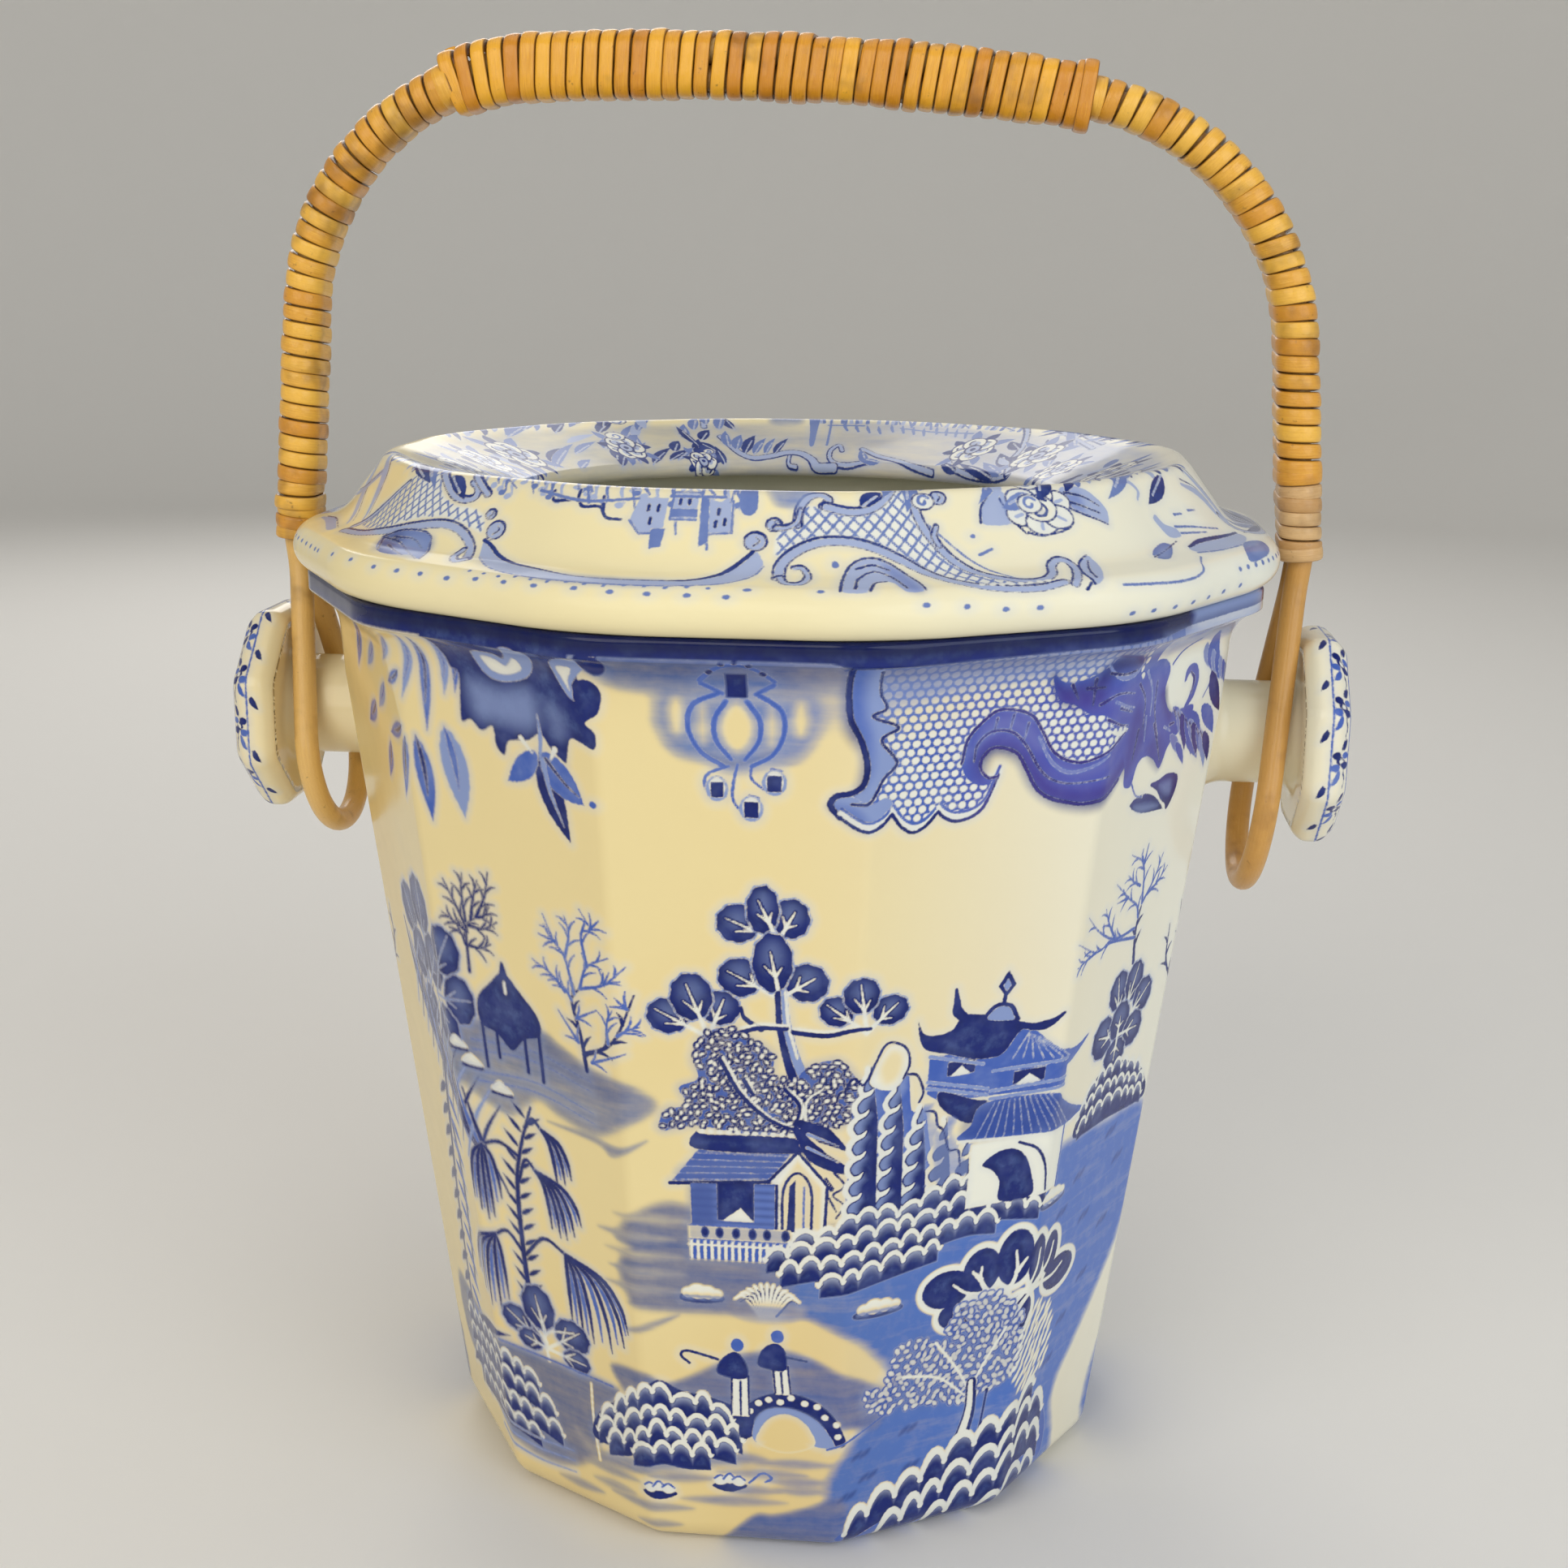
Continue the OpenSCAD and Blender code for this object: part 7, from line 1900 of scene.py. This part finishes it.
class Nodes:
    """A short way to write node trees."""

    def __init__(self, name):
        self.material = bpy.data.materials.new(name)
        self.material.use_nodes = True
        self.tree = self.material.node_tree
        self.shader = self.tree.nodes["Principled BSDF"]

    def add(self, kind, values=None, **props):
        made = self.tree.nodes.new("ShaderNode" + kind)
        for k, v in props.items():
            setattr(made, k, v)
        for k, v in (values or {}).items():
            self.put(made.inputs[k], v)
        return made

    def put(self, socket, value):
        if isinstance(value, bpy.types.NodeSocket):
            self.tree.links.new(value, socket)
        else:
            socket.default_value = value

    def math(self, operation, a, b=0.0, c=0.0, clamp=False):
        made = self.add("Math", {0: a, 1: b, 2: c}, operation=operation, use_clamp=clamp)
        return made.outputs[0]

    def mix(self, share, a, b):
        made = self.add("Mix", data_type="RGBA")
        for i, v in ((0, share), (6, a), (7, b)):
            self.put(made.inputs[i], v)
        return made.outputs[2]

    def step(self, value, low, high):
        made = self.add("MapRange", {"Value": value, "From Min": low, "From Max": high},
                        interpolation_type="SMOOTHSTEP")
        return made.outputs["Result"]

    def noise(self, vector, scale, detail=3.0, rough=0.5):
        made = self.add("TexNoise", {"Vector": vector, "Scale": scale, "Detail": detail,
            "Roughness": rough})
        return made.outputs["Fac"]

    def attribute(self, name):
        made = self.add("Attribute", attribute_name=name)
        split = self.add("SeparateXYZ", {0: made.outputs["Vector"]})
        return made.outputs["Vector"], split.outputs

    def place(self):
        return self.add("TexCoord").outputs["Object"]

    def bump(self, height, strength, distance):
        made = self.add("Bump", {"Height": height, "Strength": strength, "Distance": distance})
        self.put(self.shader.inputs["Normal"], made.outputs[0])


CREAM, CREAM_WARM, CREAM_PALE = linear(237, 218, 162), linear(231, 205, 142), linear(240, 240, 228)
INK_DARK, INK_POOL, INK_WORN = linear(14, 34, 112), linear(3, 12, 60), linear(84, 110, 172)
INK_MID, INK_LIGHT, INK_WASH = linear(64, 96, 182), linear(136, 154, 202), linear(84, 122, 204)
INK_WASH_WARM_LIT, INK_THIN, INK_VIOLET = linear(104, 124, 162), linear(200, 210, 232), linear(92, 72, 168)

DRAINER_CREAM, DRAINER_WARM = linear(244, 232, 188), linear(241, 225, 172)
DRAINER_INKS = (linear(44, 62, 132), linear(106, 126, 184), linear(170, 182, 214))
# Painted light: the lugs' cream is painted paler than the pail's, as the lugs look when brightly lit
LUG_CREAM_LIT, LUG_WARM_LIT = linear(246, 236, 204), linear(243, 228, 184)

# Painted light across the pail, in metres: the glaze painted paler towards +X, as if lit more strongly from
# the right, and the wash painted greyer towards -X, as if in warm light from the left, and bluer towards +X
PAINTED_LIGHT_PALING_X, PAINTED_LIGHT_WASH_X = (0.0, 0.14), (-0.09, 0.10)
# Where the print fired violet: across, from the front, and between two heights
VIOLET_X, VIOLET_Y = (0.045, 0.065), (-0.03, -0.06)
VIOLET_FOOT, VIOLET_TOP = (0.214, 0.228), (0.262, 0.250)


def glaze_material(name, cream=CREAM, warm=CREAM_WARM, inks=(INK_DARK, INK_MID, INK_LIGHT), gloss=0.3,
                   painted_light_paling=0.95):
    """Cream glaze over an underglaze cobalt print, read from the ink and tone stored on the points; painted
    light pales the glaze and blues the wash towards +X.
    """
    dark_ink, middle_ink, light_ink = inks
    n = Nodes(name)
    place = n.place()
    _, ink = n.attribute("ink")
    _, (wash, soft, shade) = n.attribute("tone")
    mottle = n.noise(place, 18.0, 4.0)
    cloud = n.noise(place, 6.0, 2.0)
    body = n.mix(n.step(cloud, 0.35, 0.7), cream, warm)
    across, depth, height = n.add("SeparateXYZ", {0: place}).outputs
    # Painted light: the glaze painted paler towards +X, as if lit more strongly from the right
    body = n.mix(n.math("MULTIPLY", n.step(across, *PAINTED_LIGHT_PALING_X), painted_light_paling), body, CREAM_PALE)
    nearest = n.math("MAXIMUM", ink[0], n.math("MAXIMUM", ink[1], ink[2]))
    body = n.mix(n.math("MULTIPLY", n.step(nearest, -2.8, -0.2), 0.25), body, CREAM_PALE)
    body = n.mix(n.math("MULTIPLY", wash, -0.9, clamp=True), body, CREAM_PALE)
    grainy = n.noise(place, 900.0, 2.0, 0.6)
    ragged = n.math("MULTIPLY_ADD", grainy, 0.5, -0.25)
    pool = n.noise(place, 260.0, 3.0, 0.6)
    flowing = n.add("Mapping", {"Vector": place, "Scale": (32.0, 32.0, 260.0)}).outputs[0]
    streak = n.math("MULTIPLY_ADD", n.noise(flowing, 1.0, 3.0, 0.6), 0.7, -0.35)
    # Painted light: the wash painted warmer and greyer towards -X, as if in warm light from the left, and
    # bluer towards +X, as if in cool light from the right
    lit_wash_ink = n.mix(n.step(across, *PAINTED_LIGHT_WASH_X), INK_WASH_WARM_LIT, INK_WASH)
    tide = n.step(n.noise(place, 95.0, 3.0, 0.6), 0.42, 0.75)
    thinned = n.math("MULTIPLY", n.step(wash, 0.0, 0.4), n.math("ADD", wash, streak), clamp=True)
    colour = n.mix(n.math("MULTIPLY", thinned, n.math("MULTIPLY_ADD", pool, 0.3, 0.85), clamp=True),
        body, lit_wash_ink)
    shaded = n.math("MULTIPLY", shade, n.math("MULTIPLY_ADD", pool, 0.4, 0.8), clamp=True)
    colour = n.mix(shaded, colour, INK_DARK)
    worn = n.math("MULTIPLY", n.step(ink[0], 0.7, 3.0), n.math("MULTIPLY", n.step(pool, 0.4, 0.7), 0.35))
    middle = n.mix(n.math("MAXIMUM", wash, n.math("MULTIPLY", tide, 0.45)), middle_ink, INK_LIGHT)
    dark = n.mix(n.math("MULTIPLY", n.step(pool, 0.35, 0.7), 0.35), dark_ink, INK_POOL)
    dark = n.mix(worn, dark, INK_WORN)
    dark = n.mix(n.math("MULTIPLY", shade, -1.0, clamp=True), dark, INK_THIN)
    dark = n.mix(n.math("MAXIMUM", wash, n.math("MULTIPLY", tide, 0.16)), dark, INK_LIGHT)
    minus = n.math("MULTIPLY", soft, -1.0)
    for channel, tint, deep in ((2, light_ink, INK_MID), (1, middle, INK_DARK), (0, dark, INK_POOL)):
        halo = n.math("MULTIPLY", n.step(ink[channel], -2.6, 0.6), n.math("MULTIPLY", soft, 0.5),
            clamp=True)
        colour = n.mix(halo, colour, INK_LIGHT)
        cover = n.step(n.math("ADD", ink[channel], ragged), minus, soft)
        colour = n.mix(cover, colour, n.mix(shaded, tint, deep))
    fired = n.math("MULTIPLY", n.step(across, *VIOLET_X), n.step(depth, *VIOLET_Y))
    fired = n.math("MULTIPLY", fired, n.math("MULTIPLY", n.step(height, *VIOLET_FOOT),
        n.step(height, *VIOLET_TOP)))
    fired = n.math("MULTIPLY", fired, n.math("MULTIPLY", n.step(nearest, -0.4, 0.6), 0.5))
    colour = n.mix(fired, colour, INK_VIOLET)
    n.put(n.shader.inputs["Base Color"], colour)
    n.put(n.shader.inputs["Roughness"], n.math("MULTIPLY_ADD", mottle, 0.10, 0.08))
    n.shader.inputs["Specular IOR Level"].default_value = gloss
    ripple = n.noise(place, 34.0, 2.0, 0.4)
    n.bump(ripple, 0.10, 0.004)
    return n.material


# Cane colours: pale, deep, and a dark brown used for stains and for painted shade along the strip edges
WHOLE_CANE = (linear(236, 192, 112), linear(208, 152, 72), linear(120, 74, 30))
LEG_STRIP = (linear(250, 194, 74), linear(222, 152, 40), linear(104, 60, 18))
GRIP_STRIP = (linear(248, 182, 46), linear(214, 138, 24), linear(96, 54, 12))
LASHING_STRIP = (linear(226, 186, 130), linear(200, 152, 92), linear(124, 82, 40))


def cane_material(name, pale, deep, stain, gloss, edge_shade):
    """Split or whole cane: long fibres, a varnish coat, dark stains, and painted shade that darkens each
    strip along its edges, where the gaps between turns fall into shade.
    """
    n = Nodes(name)
    vector, run = n.attribute("grain")
    place = n.place()
    stretched = n.add("Mapping", {"Vector": vector, "Scale": (0.05, 9.0, 3.7)}).outputs[0]
    fibre = n.noise(stretched, 2.2, 5.0, 0.65)
    each = n.add("TexWhiteNoise", {"W": n.math("FLOOR", run[2])},
                 noise_dimensions="1D").outputs["Value"]
    blotch = n.noise(place, 55.0, 3.0, 0.6)
    share = n.math("MULTIPLY_ADD", fibre, 0.6, n.math("MULTIPLY", each, 0.42))
    colour = n.mix(n.step(share, 0.28, 0.72), deep, pale)
    # Painted shade: each strip darkened along its edges, where the gaps between turns are shaded; the
    # blotches below are real stains
    edge = n.step(n.math("ABSOLUTE", run[1]), 0.40, 0.50)
    stains_and_edge_shade = n.math("MAXIMUM", n.math("MULTIPLY", n.step(blotch, 0.5, 0.75), 0.6),
        n.math("MULTIPLY", edge, edge_shade))
    colour = n.mix(stains_and_edge_shade, colour, stain)
    speck = n.noise(place, 420.0, 2.0, 0.7)
    colour = n.mix(n.math("MULTIPLY", n.step(speck, 0.66, 0.78), 0.5), colour, stain)
    n.put(n.shader.inputs["Base Color"], colour)
    n.put(n.shader.inputs["Roughness"], n.math("MULTIPLY_ADD", blotch, 0.3, gloss))
    n.shader.inputs["Specular IOR Level"].default_value = 0.45
    n.shader.inputs["Coat Weight"].default_value = 0.4
    n.shader.inputs["Coat Roughness"].default_value = 0.18
    n.bump(n.math("ADD", fibre, n.math("MULTIPLY", speck, 0.4)), 0.35, 0.0006)
    return n.material


def stage_material(name, colour):
    n = Nodes(name)
    speckle = n.noise(n.place(), 40.0, 3.0)
    n.put(n.shader.inputs["Base Color"], n.mix(n.math("MULTIPLY", speckle, 0.06), colour,
        linear(226, 224, 220)))
    n.shader.inputs["Roughness"].default_value = 0.75
    n.shader.inputs["Specular IOR Level"].default_value = 0.2
    return n.material


# Stage, light and camera

FLOOR_COLUMNS = 96


def make_stage():
    """A round pale floor that curves up into a backdrop on every side."""
    flat_r, curve_r, top_z = 2400.0, 900.0, 3200.0
    section = joined(
        line((0.001, 0.0), (flat_r, 0.0), 300.0),
        arc((flat_r, curve_r), curve_r, -90, 0, 60.0),
        line((flat_r + curve_r, curve_r), (flat_r + curve_r, top_z), 300.0),
    )
    turn = np.arange(FLOOR_COLUMNS) * 2 * math.pi / FLOOR_COLUMNS
    points = np.stack([
        section[:, 0:1] * np.cos(turn), section[:, 0:1] * np.sin(turn),
        np.broadcast_to(section[:, 1:2], (len(section), FLOOR_COLUMNS)),
    ], -1)
    floor = mesh_piece("floor", points.reshape(-1, 3), grid_quads(len(section), FLOOR_COLUMNS, True))
    floor.data.materials.append(stage_material("pale_floor", linear(236, 234, 230)))


def area_light(name, place, aim, size, power, colour):
    lamp = bpy.data.lights.new(name, "AREA")
    lamp.shape, lamp.size, lamp.energy, lamp.color = "DISK", size, power, colour
    made = bpy.data.objects.new(name, lamp)
    made.location = place
    made.rotation_mode = "QUATERNION"
    made.rotation_quaternion = (Vector(aim) - Vector(place)).to_track_quat("-Z", "Y")
    bpy.context.scene.collection.objects.link(made)


def light_stage():
    middle = (0.0, 0.0, 0.18)
    area_light("key", (-0.8, -1.8, 1.2), middle, 1.9, 18.5, (1.0, 0.95, 0.86))
    area_light("fill", (1.4, -1.4, 0.9), middle, 1.9, 18.5, (0.84, 0.92, 1.0))
    area_light("top", (0.1, 0.3, 2.2), middle, 2.0, 7.0, (1.0, 0.98, 0.95))
    area_light("back", (-0.6, 1.7, 1.2), middle, 1.2, 8.0, (1.0, 0.98, 0.95))
    world = bpy.data.worlds.new("studio")
    world.use_nodes = True
    sky = world.node_tree.nodes["Background"]
    sky.inputs["Color"].default_value = (1.0, 1.0, 1.0, 1.0)
    sky.inputs["Strength"].default_value = 0.28
    bpy.context.scene.world = world


def place_camera():
    right = Vector((math.cos(VIEW_AZ), math.sin(VIEW_AZ), 0))
    back = Vector((math.sin(VIEW_AZ) * math.cos(VIEW_EL), -math.cos(VIEW_AZ) * math.cos(VIEW_EL),
                   math.sin(VIEW_EL)))
    up = back.cross(right)
    x = right * math.cos(VIEW_ROLL) + up * math.sin(VIEW_ROLL)
    y = up * math.cos(VIEW_ROLL) - right * math.sin(VIEW_ROLL)
    spot = (right * VIEW_SHIFT + Vector((0, 0, VIEW_Z)) + back * VIEW_DISTANCE) * MM
    camera = bpy.data.cameras.new("camera")
    camera.lens, camera.sensor_width, camera.sensor_fit = LENS, SENSOR, "HORIZONTAL"
    camera.clip_start, camera.clip_end = 0.01, 50.0
    made = bpy.data.objects.new("camera", camera)
    made.matrix_world = Matrix((x, y, back)).transposed().to_4x4()
    made.location = spot
    bpy.context.scene.collection.objects.link(made)
    bpy.context.scene.camera = made


# Assembly

def dress(piece, material, body, slot, *nodes):
    piece.data.materials.append(material)
    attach(piece, body)
    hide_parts(*nodes)


def main():
    glaze = glaze_material("printed_glaze")
    light_glaze = glaze_material("light_printed_glaze", DRAINER_CREAM, DRAINER_WARM, DRAINER_INKS,
        gloss=0.12)
    # Painted light: the lugs get a paler cream and a smaller share of the painted paling towards +X
    lug_glaze = glaze_material("lug_glaze", LUG_CREAM_LIT, LUG_WARM_LIT, painted_light_paling=0.3)
    cane = cane_material("whole_cane", *WHOLE_CANE, 0.30, 0.0)
    strip = cane_material("cane_strip", *LEG_STRIP, 0.22, 0.85)
    worn = cane_material("worn_cane_strip", *GRIP_STRIP, 0.20, 0.85)
    pale = cane_material("pale_cane_strip", *LASHING_STRIP, 0.34, 0.6)
    dress(make_pail(), glaze, "pail", "printed_glaze", "jar_body")
    dress(make_drainer(), light_glaze, "drainer", "light_printed_glaze", "drainer")
    dress(make_lug("left_lug_glazed", -1), lug_glaze, "pail", "lug_glaze", "left_lug")
    dress(make_lug("right_lug_glazed", 1), lug_glaze, "pail", "lug_glaze", "right_lug")
    dress(make_hoop("left_cane", -1), cane, "handle", "cane", "left_cane_hoop")
    dress(make_hoop("right_cane", 1), cane, "handle", "cane", "right_cane_hoop")
    wrap_in, leg_thick, grip_thick, tuck = CANE_R + 0.12, 2.5, 1.9, 1.5
    dress(make_binding("left_leg_binding", LEFT_LASH, GRIP_START + tuck, 29, 0.0,
                       wrap_in, leg_thick, 11), strip, "handle", "cane_strip", "left_leg_wrap")
    dress(make_binding("right_leg_binding", GRIP_END - tuck, Q_END - RIGHT_LASH, 28, 0.0,
                       wrap_in, leg_thick, 12), strip, "handle", "cane_strip", "right_leg_wrap")
    dress(make_binding("grip_binding", GRIP_START, GRIP_END, 40, PAIR_HALF, wrap_in, grip_thick, 13,
        flap=1.3), worn, "handle", "cane_strip", "grip_wrap")
    dress(make_binding("left_lashing", 0.0, LEFT_LASH, 3, 0.0, wrap_in, leg_thick, 14), strip, "handle",
          "pale_cane_strip", "left_end_lashing")
    dress(make_binding("right_lashing", Q_END - RIGHT_LASH, Q_END, 5, 0.0, wrap_in, leg_thick, 15), pale,
          "handle", "pale_cane_strip", "right_end_lashing")


bpy.context.scene.view_settings.view_transform = "Standard"
place_camera()
make_stage()
light_stage()
main()
